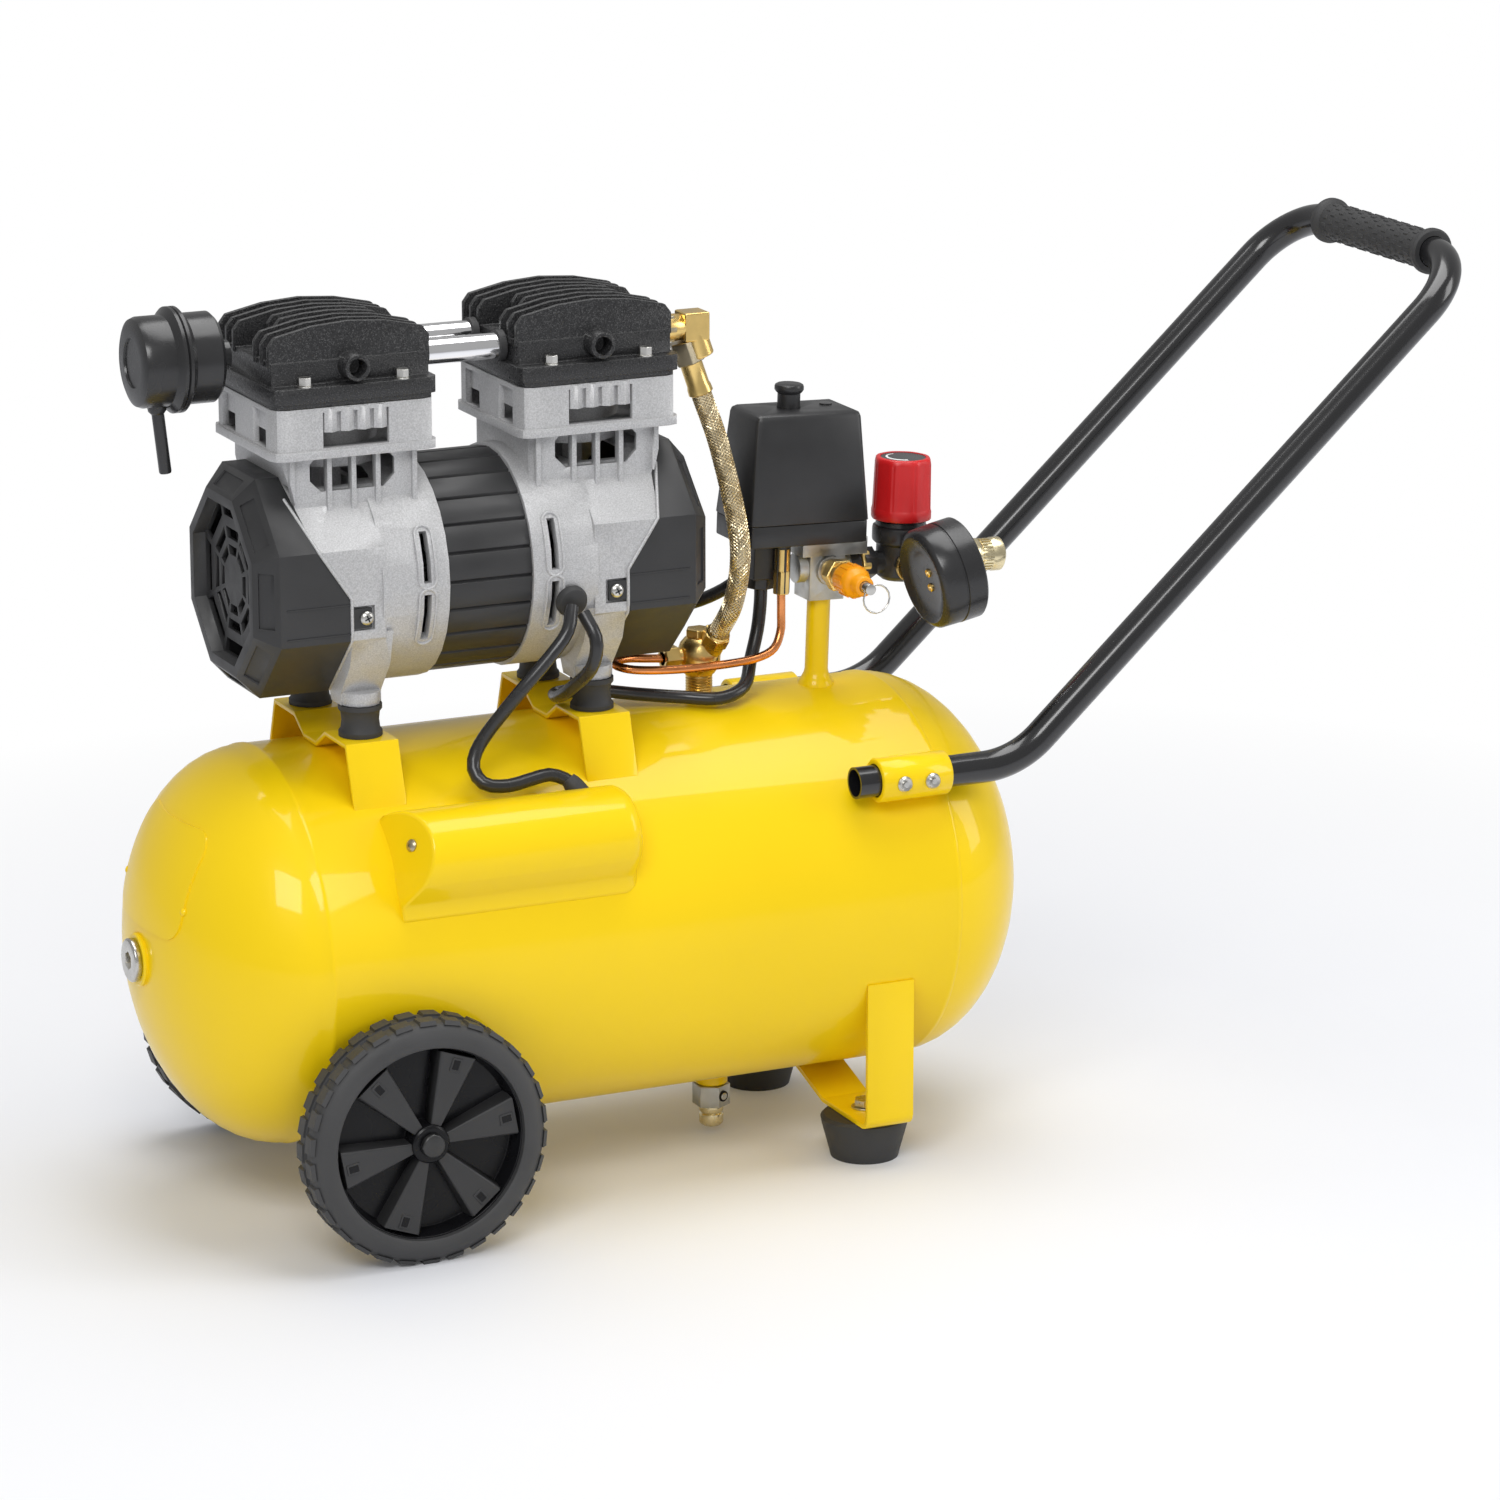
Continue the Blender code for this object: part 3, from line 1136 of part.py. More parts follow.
def build_rotor():
    """Rotor and shaft in one, with an eccentric and a counterweight at each end, 180 degrees apart."""
    axis = new_empty("shaft_axis", ROOT, at(PUMP_X, 0, SHAFT_Z, (1, 0, 0)))
    rotor_radius = STATOR_BORE - 0.0010
    half, tip = STATOR_HALF_LENGTH - 0.002, FAN_OUT + 0.0085
    profile = [(0.0, tip), (SHAFT_RADIUS, tip), (SHAFT_RADIUS, half), (rotor_radius, half)]
    profile += [(radius, -height) for radius, height in profile[::-1]]
    rotor = turned("motor_rotor", profile, Matrix(), STEEL, steps=16, parent=axis)
    for side in (-1, 1):
        way = -side  # the left eccentric stands up and the right one down
        disc = add(
            f"eccentric_{side}", rod(ECCENTRIC_RADIUS, 0.016, 18),
            Matrix.Translation((0, way * CRANK_THROW, side * CYLINDER_OUT - 0.008)), parent=axis,
        )
        outline = [(x, -way * y) for x, y in arc((0, 0), COUNTERWEIGHT_RADIUS, 0, 180, 10)]
        outline += [(-0.0115, way * 0.0115), (0.0115, way * 0.0115)]
        weight = add(
            f"counterweight_{side}", slab([outline], 0.008),
            Matrix.Translation((0, 0, side * (CYLINDER_OUT + 0.008 + 0.0035))), parent=axis,
        )
        join(rotor, disc, weight)
    return axis


def build_fan(side, word, axis):
    """Radial cooling fan on the shaft's end."""
    hub_bore = SHAFT_RADIUS + CLEARANCE
    out = side * FAN_OUT
    profile = [(hub_bore, 0.007), (0.014, 0.007), (0.014, -0.007), (hub_bore, -0.007)]
    place = Matrix.Translation((0, 0, out))
    fan = turned(f"cooling_fan_{word}", profile, place, BLACK_PLASTIC, steps=12, parent=axis)
    blade = box(FAN_RADIUS - 0.012, 0.0016, 0.014)
    middle = Matrix.Translation(((FAN_RADIUS + 0.012) / 2, 0, 0)) @ Matrix.Rotation(math.radians(38), 4, "X")
    turns = [Matrix.Rotation(FULL_TURN * i / FAN_BLADES, 4, "Z") @ middle for i in range(FAN_BLADES)]
    blades = add(f"fan_blades_{word}", copies(blade, turns), place, parent=axis)
    return join(fan, blades)


def build_piston(side, word):
    """Rocking piston with its rod. The rod ends in a saddle over the eccentric's swept circle."""
    crown_top = GASKET_Z - 0.0015
    top = crown_top if side < 0 else crown_top - 2 * CRANK_THROW
    lift = 2 * CRANK_THROW if side < 0 else 0.0  # the left piston stands at its top, the right at its bottom
    slide = new_empty(f"piston_{word}_axis", ROOT, pump_at(side, CYLINDER_OUT, 0, top))
    radius = LINER_BORE - CLEARANCE
    profile = [
        (0.0, 0.0),
        (radius, 0.0),
        (radius, -0.003),
        (radius - 0.002, -0.0035),
        (radius - 0.002, -PISTON_HEIGHT),
        (0.0, -PISTON_HEIGHT),
    ]
    piston = turned(f"piston_{word}", profile, Matrix(), CAST_ALLOY, steps=20, parent=slide)
    sweep = CRANK_THROW + ECCENTRIC_RADIUS + 0.0005
    centre_z = SHAFT_Z + lift - top
    rod_low = centre_z + sweep + 0.001
    outline = arc((0, centre_z), sweep, 150, 30, 8)
    outline += arc((0, centre_z), sweep + ROD_SADDLE_WALL, 30, 72, 3)
    outline += [(0.0070, -PISTON_HEIGHT + 0.002), (-0.0070, -PISTON_HEIGHT + 0.002)]
    outline += arc((0, centre_z), sweep + ROD_SADDLE_WALL, 108, 150, 3)
    con_rod = add(f"con_rod_{word}", slab([outline], 0.013), at(0, 0, 0, (1, 0, 0)), parent=slide)
    return join(piston, con_rod)


def build_pump():
    shaft = build_rotor()
    build_stator()
    for side, word in ((-1, "left"), (1, "right")):
        build_saddle(side, word)
        build_crankcase(side, word)
        build_block(side, word)
        build_head(side, word)
        build_fan_cover(side, word)
        build_fan(side, word, shaft)
        build_piston(side, word)
    reach = CYLINDER_OUT - FIN_HALF_WIDTH - CLEARANCE
    for way, word in ((-1, "front"), (1, "rear")):
        place = at(PUMP_X - reach, way * HEAD_TUBE_Y, HEAD_TUBE_Z, (1, 0, 0))
        add(f"head_tube_{word}", rod(HEAD_TUBE_RADIUS, 2 * reach, 24), place, CHROME)


# ---------------------------------------------------------------- intake and delivery


def build_filter():
    """Intake filter: a moulded pot with a clamping bead, a neck and a drip spout."""
    face = FILTER_BACK_X - FILTER_FACE_X
    bead = FILTER_BACK_X - FILTER_BEAD_X
    neck = FILTER_BACK_X - (PUMP_X - CYLINDER_OUT - HEAD_CORE_WIDTH / 2) + CLEARANCE
    radius, bulge = FILTER_RADIUS, FILTER_BEAD_RADIUS
    profile = [
        (0.0, face),
        (radius - 0.0035, face),
        (radius, face - 0.0035),
        (radius, bead + 0.0060),
        (bulge, bead + 0.0030),
        (bulge, bead - 0.0030),
        (radius, bead - 0.0060),
        (radius, 0.0020),
        (radius - 0.002, 0.0),
        (FILTER_NECK_RADIUS, 0.0),
        (FILTER_NECK_RADIUS, neck),
        (0.0, neck),
    ]
    body = turned("air_filter", profile, at(FILTER_BACK_X, 0, FILTER_Z, (-1, 0, 0)), BLACK_PLASTIC, steps=20)
    top = Vector((-0.1075, 0, FILTER_Z - FILTER_RADIUS + 0.004))
    spout = add(
        "filter_spout", rod(FILTER_SPOUT_RADIUS, 0.046, 12),
        at(*top, Vector((0.105, 0, -0.994))),
    )
    return join(body, spout)


def above_tank(route):
    """Routes are written as x, y and the height above the top of the tank."""
    return [Vector((x, y, TANK_TOP_Z + height)) for x, y, height in route]


OUTLET = Vector((PUMP_X + CYLINDER_OUT + FIN_HALF_WIDTH + CLEARANCE, -HEAD_TUBE_Y, PORT_Z))
ELBOW_REACH = 0.0230
HOSE_ROUTE = (
    (0.2345, -0.0213, 0.2094),
    (0.2390, -0.0225, 0.1954),
    (0.2475, -0.0270, 0.1669),
    (0.2545, -0.0350, 0.1264),
    (0.2565, -0.0390, 0.0974),
    (0.2560, -0.0300, 0.0664),
    (0.2535, -0.0140, 0.0444),
)
VALVE = Vector((0.2470, 0.0020, TANK_TOP_Z + 0.0264))
COPPER_ROUTE = (
    (0.2974, -0.0120, 0.0634),
    (0.2974, -0.0120, 0.0504),
    (0.2965, -0.0130, 0.0394),
    (0.2900, -0.0160, 0.0294),
    (0.2750, -0.0190, 0.0254),
    (0.2500, -0.0205, 0.0244),
    (0.2200, -0.0205, 0.0249),
    (0.1950, -0.0185, 0.0269),
    (0.1850, -0.0120, 0.0289),
    (0.1865, -0.0040, 0.0299),
    (0.1980, 0.0010, 0.0294),
    (0.2100, 0.0020, 0.0279),
    (0.2215, 0.0020, 0.0267),
)


def build_delivery():
    """Brass elbow on the right head, braided hose, check valve on the tank and the unloader pipe."""
    arm = rod(0.0085, ELBOW_REACH + 0.0080, 16)
    elbow = add("outlet_elbow", arm, at(*OUTLET, (1, 0, 0)), BRASS)
    corner = OUTLET + Vector((ELBOW_REACH, 0, 0))
    first, second = above_tank(HOSE_ROUTE)[:2]
    down = (second - first).normalized()
    start = corner - down * 0.0090
    length = (first - start).length
    leg = add("elbow_leg", rod(0.0085, length - 0.014, 16), at(*start, down))
    nut = add("elbow_nut", rod(0.0098, 0.0150, 6), at(*(first - down * 0.0270), down))
    ferrule = add("hose_ferrule", rod(0.0072, 0.0130, 16), at(*(first - down * (0.0130 + CLEARANCE)), down))
    join(elbow, leg, nut, ferrule)
    hose_path = smooth_path(above_tank(HOSE_ROUTE), 0.0200)
    add_tube("delivery_hose", hose_path, HOSE_RADIUS, BRAID, roundness=3)

    height = VALVE.z - TANK_TOP_Z
    profile = [
        (0.0, 0.014),
        (0.008, 0.013),
        (0.0130, 0.007),
        (0.0138, 0.0),
        (0.0125, -0.008),
        (0.0085, -0.0125),
        (0.0085, CLEARANCE - height),
        (0.0, CLEARANCE - height),
    ]
    valve = turned("check_valve", profile, at(*VALVE), BRASS, steps=16)
    end, before = hose_path[-1], hose_path[-2]
    inward = (end - before).normalized()
    inlet = add("valve_inlet", rod(0.0082, 0.0160, 16), at(*(end + inward * CLEARANCE), inward))
    copper_route = above_tank(COPPER_ROUTE)
    left = copper_route[-1] + Vector((CLEARANCE, 0, 0))
    side_nut = add("valve_side_nut", rod(0.0082, 0.0100, 6), at(*left, (1, 0, 0)))
    side_neck = add("valve_side_neck", rod(0.0050, VALVE.x - left.x, 12), at(*left, (1, 0, 0)))
    join(valve, inlet, side_nut, side_neck)
    add_tube("unloader_pipe", smooth_path(copper_route, 0.0125), COPPER_RADIUS, COPPER, roundness=1)


# ---------------------------------------------------------------- switch, regulator and gauge


def switch_group():
    """The frame of the pieces on the riser: u along X, v along Y, w up the leaning riser."""
    lean = Matrix.Rotation(SWITCH_LEAN, 4, "Y")
    return new_empty("switch_frame", ROOT, Matrix.Translation((RISER_X, 0, TANK_TOP_Z)) @ lean)


def build_riser(group):
    top = MANIFOLD_BOTTOM - CLEARANCE
    profile = [
        (0.0, top),
        (RISER_RADIUS, top),
        (RISER_RADIUS, 0.007),
        (RISER_COLLAR_RADIUS, 0.0012),
        (RISER_COLLAR_RADIUS, -0.008),
        (0.0, -0.008),
    ]
    riser = turned("riser_pipe", profile, Matrix(), YELLOW, steps=16, parent=group)
    cut(riser, tank_core(CLEARANCE))


def build_manifold(group):
    """Zinc block under the switch, tapped for the riser, the valve, the regulator and the gauge."""
    height = SWITCH_BASE_BOTTOM - CLEARANCE - MANIFOLD_BOTTOM
    block = add(
        "switch_manifold", box(0.024, 0.022, height),
        Matrix.Translation((0, 0, MANIFOLD_BOTTOM + height / 2)), ZINC, group,
    )
    head = add(
        "manifold_head", box(MANIFOLD_WIDTH + 0.014, MANIFOLD_DEPTH, 0.0110),
        Matrix.Translation((0.004, 0, SWITCH_BASE_BOTTOM - CLEARANCE - 0.0055)), parent=group,
    )
    arm = add("manifold_arm", rod(0.0095, 0.036, 16), at(-0.018, 0, PORT_W, (1, 0, 0)), parent=group)
    front = add("manifold_front", rod(0.0095, 0.015, 16), at(SAFETY_U, 0, PORT_W, (0, -1, 0)), parent=group)
    join(block, head, arm, front)


def drafted_box(width, depth, height, draft, edge):
    """A box open to nothing that narrows upwards, with rounded upright and top edges."""
    bm = bmesh.new()
    bmesh.ops.create_cube(bm, size=1.0, matrix=Matrix.Diagonal((width, depth, height, 1.0)))
    for vert in bm.verts:
        if vert.co.z > 0:
            vert.co.x -= math.copysign(draft, vert.co.x)
            vert.co.y -= math.copysign(draft, vert.co.y)
    soft = [e for e in bm.edges if max(v.co.z for v in e.verts) > 0]
    bmesh.ops.bevel(bm, geom=soft, offset=edge, segments=2, affect="EDGES", profile=0.5)
    return finished(bm)


def build_switch(group):
    """Switch base with its cable gland, and the drafted cover with the pull knob through its top."""
    v_middle, v_depth = (SWITCH_FRONT + SWITCH_BACK) / 2, SWITCH_BACK - SWITCH_FRONT
    base_height = SWITCH_SPLIT - SWITCH_BASE_BOTTOM - CLEARANCE
    outline = rounded_box(SWITCH_WIDTH - 0.001, v_depth - 0.001, 0.004, 2)
    base = add(
        "switch_base", slab([outline], base_height),
        Matrix.Translation((SWITCH_MIDDLE, v_middle, SWITCH_BASE_BOTTOM + base_height / 2)),
        BLACK_PLASTIC, group,
    )
    gland_height = SWITCH_BASE_BOTTOM - GLAND_BOTTOM
    gland = add(
        "gland_block", box(0.019, 0.022, gland_height),
        Matrix.Translation((GLAND_U, GLAND_V, SWITCH_BASE_BOTTOM - gland_height / 2 + 0.001)), parent=group,
    )
    nut_place = Matrix.Translation((GLAND_U, GLAND_V, GLAND_BOTTOM - 0.006))
    nut = add("gland_nut", rod(0.0095, 0.008, 8), nut_place, parent=group)
    pipe_nut_height = SWITCH_BASE_BOTTOM + 0.001 - PIPE_NUT_BOTTOM
    pipe_nut_place = Matrix.Translation((*PIPE_NUT, PIPE_NUT_BOTTOM))
    pipe_nut = add("pipe_nut", rod(PIPE_NUT_RADIUS, pipe_nut_height, 6), pipe_nut_place, parent=group)
    join(base, gland, nut, pipe_nut)

    cover_height = SWITCH_TOP - SWITCH_SPLIT
    cover_place = Matrix.Translation((SWITCH_MIDDLE, v_middle, SWITCH_SPLIT + cover_height / 2))
    cover_mesh = drafted_box(SWITCH_WIDTH, v_depth, cover_height, SWITCH_DRAFT, SWITCH_EDGE)
    cover = add("switch_cover", cover_mesh, cover_place, BLACK_PLASTIC, group)
    room_height = cover_height - 0.003
    room = add(
        "cover_room",
        drafted_box(SWITCH_WIDTH - 0.005, v_depth - 0.005, room_height + 0.002, SWITCH_DRAFT, 0.002),
        Matrix.Translation((SWITCH_MIDDLE, v_middle, SWITCH_SPLIT + room_height / 2 - 0.001)), parent=group,
    )
    hole_radius = KNOB_STEM_RADIUS + CLEARANCE
    hole_place = Matrix.Translation((KNOB_U, 0, SWITCH_TOP - 0.015))
    hole = add("knob_hole", rod(hole_radius, 0.03, 16), hole_place, parent=group)
    cut(cover, room, hole)

    slide = new_empty("switch_knob_axis", group, Matrix.Translation((KNOB_U, 0, SWITCH_TOP)))
    stem, cap, high = KNOB_STEM_RADIUS, KNOB_CAP_RADIUS, KNOB_HEIGHT
    profile = [
        (0.0, high),
        (cap - 0.0015, high),
        (cap, high - 0.0012),
        (cap, high - 0.0045),
        (stem, high - 0.0060),
        (stem, -0.014),
        (0.0, -0.014),
    ]
    turned("switch_knob", profile, Matrix(), BLACK_PLASTIC, steps=16, parent=slide)


def build_safety_valve(group):
    """Relief valve on the manifold's front port, with its pull pin and split ring."""
    start = 0.0150 + CLEARANCE
    out = at(SAFETY_U, -start, PORT_W, (0, -1, 0))
    cap, length, pin = SAFETY_CAP_RADIUS, SAFETY_BODY_LENGTH, SAFETY_PIN_RADIUS
    profile = [
        (pin + CLEARANCE, length),
        (0.0065, length),
        (0.0065, length - 0.009),
        (cap, length - 0.011),
        (cap, length - 0.024),
        (cap - 0.001, 0.018),
        (0.0105, 0.016),
        (0.0105, 0.009),
        (0.0080, 0.007),
        (0.0080, 0.0),
        (0.0, 0.0),
        (0.0, length - 0.018),
        (pin + CLEARANCE, length - 0.018),
    ]
    turned("safety_valve_body", profile, out, ORANGE_PLASTIC, steps=12, parent=group)
    slide = new_empty("safety_pin_axis", group, at(SAFETY_U, -start - length, PORT_W, (0, -1, 0)))
    tip = 0.0085
    pin_mesh = rod(pin, tip + 0.0160, 16)
    stem = add("safety_valve_pin", pin_mesh, Matrix.Translation((0, 0, -0.0160)), STEEL, slide)
    hole_out = 0.0050
    across = Vector((math.cos(RING_TILT), math.sin(RING_TILT), 0))
    hole = add(
        "ring_hole", rod(0.0016, 0.02, 10),
        Matrix.Translation(Vector((0, 0, hole_out)) - across * 0.01) @ frame(across), parent=slide,
    )
    cut(stem, hole)
    swing = new_empty("safety_ring_axis", slide, Matrix.Translation((0, 0, hole_out)))
    drop = Vector((math.sin(RING_TILT), -math.cos(RING_TILT), 0)) * RING_LOOP
    add("safety_valve_ring", torus(RING_LOOP, RING_WIRE, 16, 4), Matrix.Translation(drop), STEEL, swing)


def torus(radius, wire, major, minor):
    """A ring of wire round local +Z."""
    bm = bmesh.new()
    rows = []
    for i in range(major):
        around = FULL_TURN * i / major
        spoke = Vector((math.cos(around), math.sin(around), 0))
        across = [FULL_TURN * j / minor for j in range(minor)]
        ring = [spoke * (radius + wire * math.cos(a)) + Vector((0, 0, wire * math.sin(a))) for a in across]
        rows.append([bm.verts.new(point) for point in ring])
    for row, ahead in zip(rows, rows[1:] + rows[:1]):
        for j in range(minor):
            over = (j + 1) % minor
            bm.faces.new((row[j], ahead[j], ahead[over], row[over]))
    return finished(bm)


def build_regulator(group):
    """Regulator body with its inlet and outlet arms, and the fluted red knob that turns on it."""
    middle = Matrix.Translation((REGULATOR_U, 0, 0))
    radius, collar = REGULATOR_RADIUS, REGULATOR_COLLAR_RADIUS
    profile = [
        (0.0, REGULATOR_KNOB_BOTTOM + 0.006),
        (0.0100, REGULATOR_KNOB_BOTTOM + 0.006),
        (0.0100, REGULATOR_KNOB_BOTTOM - CLEARANCE),
        (REGULATOR_NECK_RADIUS, REGULATOR_KNOB_BOTTOM - CLEARANCE),
        (REGULATOR_NECK_RADIUS, REGULATOR_COLLAR_TOP + 0.0005),
        (collar, REGULATOR_COLLAR_TOP),
        (collar, REGULATOR_COLLAR),
        (radius, REGULATOR_COLLAR - 0.002),
        (radius, REGULATOR_BOTTOM + 0.003),
        (radius - 0.004, REGULATOR_BOTTOM),
        (0.0, REGULATOR_BOTTOM),
    ]
    body = turned("regulator_body", profile, middle, BLACK_PLASTIC, steps=14, parent=group)
    manifold_end = 0.018 + CLEARANCE
    inlet_place = at(manifold_end, 0, PORT_W, (1, 0, 0))
    nut_place = at(manifold_end + 0.010, 0, PORT_W, (1, 0, 0))
    outlet_place, port_place = at(REGULATOR_U, 0, PORT_W, (1, 0, 0)), at(REGULATOR_U, 0, PORT_W, (0, -1, 0))
    inlet = add("regulator_inlet", rod(0.0075, REGULATOR_U - manifold_end, 12), inlet_place, parent=group)
    inlet_nut = add("inlet_nut", rod(0.0105, 0.0080, 6), nut_place, parent=group)
    outlet = add("regulator_outlet", rod(0.0105, REGULATOR_OUTLET, 12), outlet_place, parent=group)
    front = add("gauge_port", rod(0.0095, GAUGE_PORT, 12), port_place, parent=group)
    join(body, inlet, inlet_nut, outlet, front)

    knob_place = Matrix.Translation((REGULATOR_U, 0, REGULATOR_KNOB_BOTTOM))
    turn = new_empty("regulator_knob_axis", group, knob_place)
    high, wide = REGULATOR_KNOB_TOP - REGULATOR_KNOB_BOTTOM, REGULATOR_KNOB_RADIUS
    profile = [
        (0.0, high - 0.0010),
        (0.0135, high - 0.0010),
        (0.0138, high),
        (wide - 0.0025, high),
        (wide - 0.0014, high - 0.0015),
        (wide, 0.0060),
        (wide, 0.0),
        (0.0115, 0.0),
        (0.0115, 0.008),
        (0.0, 0.008),
    ]
    knob = turned("regulator_knob", profile, Matrix(), RED_PLASTIC, steps=16, parent=turn)
    flute = box(0.0030, 0.0022, high)
    places = []
    for i in range(REGULATOR_KNOB_FLUTES):
        spin = Matrix.Rotation(FULL_TURN * (i + 0.5) / REGULATOR_KNOB_FLUTES, 4, "Z")
        places.append(spin @ Matrix.Translation((wide, 0, high / 2 + 0.008)))
    flutes = add("knob_flutes", copies(flute, places), Matrix(), parent=turn)
    cut(knob, flutes)


def build_gauge(group):
    """Round gauge hung on the regulator's front port by its side stem, its dial towards the handle."""
    facing = Vector((math.cos(GAUGE_TILT), 0, math.sin(GAUGE_TILT)))
    back = Vector((REGULATOR_U - 0.0070, GAUGE_V, PORT_W)) - facing * 0.004
    place = Matrix.Translation(back) @ frame(facing)
    rim, deep, dial = GAUGE_RADIUS, GAUGE_DEPTH, DIAL_RADIUS
    floor = deep - DIAL_RECESS
    profile = [
        (0.0, floor),
        (dial, floor),
        (dial, deep),
        (rim - 0.001, deep),
        (rim, deep - 0.001),
        (rim, 0.0165),
        (rim - 0.0009, 0.0160),
        (rim - 0.0009, 0.0020),
        (rim - 0.0030, 0.0),
        (0.0, 0.0),
    ]
    gauge = turned("pressure_gauge", profile, place, BLACK_PLASTIC, steps=20, parent=group)
    port_v = -GAUGE_PORT - CLEARANCE
    reach = port_v - (GAUGE_V + rim) + 0.006
    stem_place = at(REGULATOR_U, port_v, PORT_W, (0, -1, 0))
    stem = add("gauge_stem", rod(GAUGE_STEM_RADIUS, reach, 12), stem_place, parent=group)
    join(gauge, stem)
    spin = new_empty("gauge_needle_axis", group, place @ Matrix.Translation((0, 0, floor)))
    tip = dial - 0.006
    half = [(0.0008, -0.006), (0.0011, 0.0), (0.0005, tip)]
    outline = half + [(-x, y) for x, y in half[::-1]]
    start = Matrix.Translation((0, 0, 0.0020)) @ Matrix.Rotation(math.radians(135), 4, "Z")
    needle = add("gauge_needle", slab([outline], 0.0008), start, NEEDLE_PAINT, spin)
    hub = add("needle_hub", rod(0.0022, 0.0030, 12), Matrix.Translation((0, 0, CLEARANCE)), parent=spin)
    join(needle, hub)


def build_coupler(group):
    """Quick coupler on the regulator's outlet, and the sleeve that slides back to let a plug go."""
    start = REGULATOR_U + REGULATOR_OUTLET + CLEARANCE
    length = COUPLER_END - start
    bore, body = COUPLER_BORE, COUPLER_RADIUS
    profile = [
        (bore, length),
        (body - 0.0008, length),
        (body, length - 0.0008),
        (body, 0.0150),
        (body, 0.0),
        (0.0, 0.0),
        (0.0, length - COUPLER_SOCKET_DEPTH),
        (bore, length - COUPLER_SOCKET_DEPTH),
    ]
    place = at(start, 0, PORT_W, (1, 0, 0))
    coupler = turned("coupler_body", profile, place, BRASS, steps=16, parent=group)
    hexagon_place = at(start + 0.004, 0, PORT_W, (1, 0, 0))
    drill_place = at(COUPLER_END - COUPLER_SOCKET_DEPTH, 0, PORT_W, (1, 0, 0))
    hexagon = add("coupler_hexagon", rod(0.0112, 0.0100, 6), hexagon_place, parent=group)
    drill = add("coupler_drill", rod(bore, 0.06, 20), drill_place, parent=group)
    cut(join(coupler, hexagon), drill)
    sleeve_start = COUPLER_END - 0.002 - SLEEVE_LENGTH
    slide = new_empty("coupler_sleeve_axis", group, at(sleeve_start, 0, PORT_W, (1, 0, 0)))
    inner, outer = body + CLEARANCE, SLEEVE_RADIUS
    profile = [
        (inner, SLEEVE_LENGTH),
        (outer - 0.001, SLEEVE_LENGTH),
        (outer, SLEEVE_LENGTH - 0.001),
        (outer, SLEEVE_LENGTH - 0.006),
        (outer - 0.0009, SLEEVE_LENGTH - 0.0075),
        (outer - 0.0009, 0.0060),
        (outer, 0.0045),
        (outer, 0.0),
        (inner, 0.0),
    ]
    turned("coupler_sleeve", profile, Matrix(), BRASS, steps=16, parent=slide)


def build_switch_group():
    group = switch_group()
    build_riser(group)
    build_manifold(group)
    build_switch(group)
    build_safety_valve(group)
    build_regulator(group)
    build_gauge(group)
    build_coupler(group)


# ---------------------------------------------------------------- handle


def build_handle():
    """One bent tube: level in the sleeves, up to the user, and across through the grip."""
    rise = Vector((math.cos(HANDLE_RISE), 0, math.sin(HANDLE_RISE)))
    knee_x = HANDLE_BAR_X - (HANDLE_BAR_Z - HANDLE_Z) / math.tan(HANDLE_RISE)
    start = Vector((HANDLE_START_X, -HANDLE_Y, HANDLE_Z))
    knee = Vector((knee_x, -HANDLE_Y, HANDLE_Z))
    corner = Vector((HANDLE_BAR_X, -HANDLE_Y, HANDLE_BAR_Z))
    lower = rounded_path([start, knee, corner], HANDLE_BEND, 5)
    upper = rounded_path([knee, corner, corner + Vector((0, 2 * HANDLE_Y, 0))], HANDLE_CORNER, 6)
    half = lower[:-1] + upper[1:-1]
    path = half + [Vector((p.x, -p.y, p.z)) for p in half[::-1]]
    frame_tube = add("handle_frame", meshed(tube_curve(path, HANDLE_RADIUS, 2)), Matrix(), BLACK_PAINT)
    for side in (-1, 1):
        bore = add(
            f"handle_bore_{side}", rod(HANDLE_RADIUS - HANDLE_WALL, 0.09, 10),
            at(HANDLE_START_X - 0.01, side * HANDLE_Y, HANDLE_Z, (1, 0, 0)),
        )
        cut(frame_tube, bore)
    length = 2 * (HANDLE_Y - HANDLE_CORNER)
    inner, outer, flange = HANDLE_RADIUS + CLEARANCE, GRIP_RADIUS, GRIP_FLANGE_RADIUS
    half = length / 2
    profile = [
        (inner, half),
        (flange - 0.001, half),
        (flange, half - 0.0015),
        (flange, half - 0.0045),
        (outer, half - 0.0070),
        (outer, 0.0070 - half),
        (flange, 0.0045 - half),
        (flange, 0.0015 - half),
        (flange - 0.001, -half),
        (inner, -half),
    ]
    grip = turned("handle_grip", profile, at(HANDLE_BAR_X, 0, HANDLE_BAR_Z, (0, -1, 0)), RUBBER, steps=16)
    ridge_place = at(HANDLE_BAR_X, 0, HANDLE_BAR_Z, (0, -1, 0))
    ridge = add("grip_ridges", grip_ridges(outer, length - 0.03), ridge_place)
    return join(grip, ridge)


def grip_ridges(radius, length):
    """Raised lengthwise pads round the grip."""
    pad = box(0.0030, 0.0050, length)
    reach = Matrix.Translation((radius - 0.0005, 0, 0))
    turns = [Matrix.Rotation(FULL_TURN * i / 8, 4, "Z") @ reach for i in range(8)]
    return copies(pad, turns)


# ---------------------------------------------------------------- capacitor and leads


def capacitor_place(x):
    """A frame on the tank's upper front: local x outwards from the tank, local z along +X."""
    out = Vector((0, -math.cos(CAPACITOR_ANGLE), math.sin(CAPACITOR_ANGLE)))
    along = Vector((1, 0, 0))
    axes = Matrix((out, along.cross(out), along)).transposed().to_4x4()
    return Matrix.Translation((x, 0, TANK_AXIS_Z)) @ axes


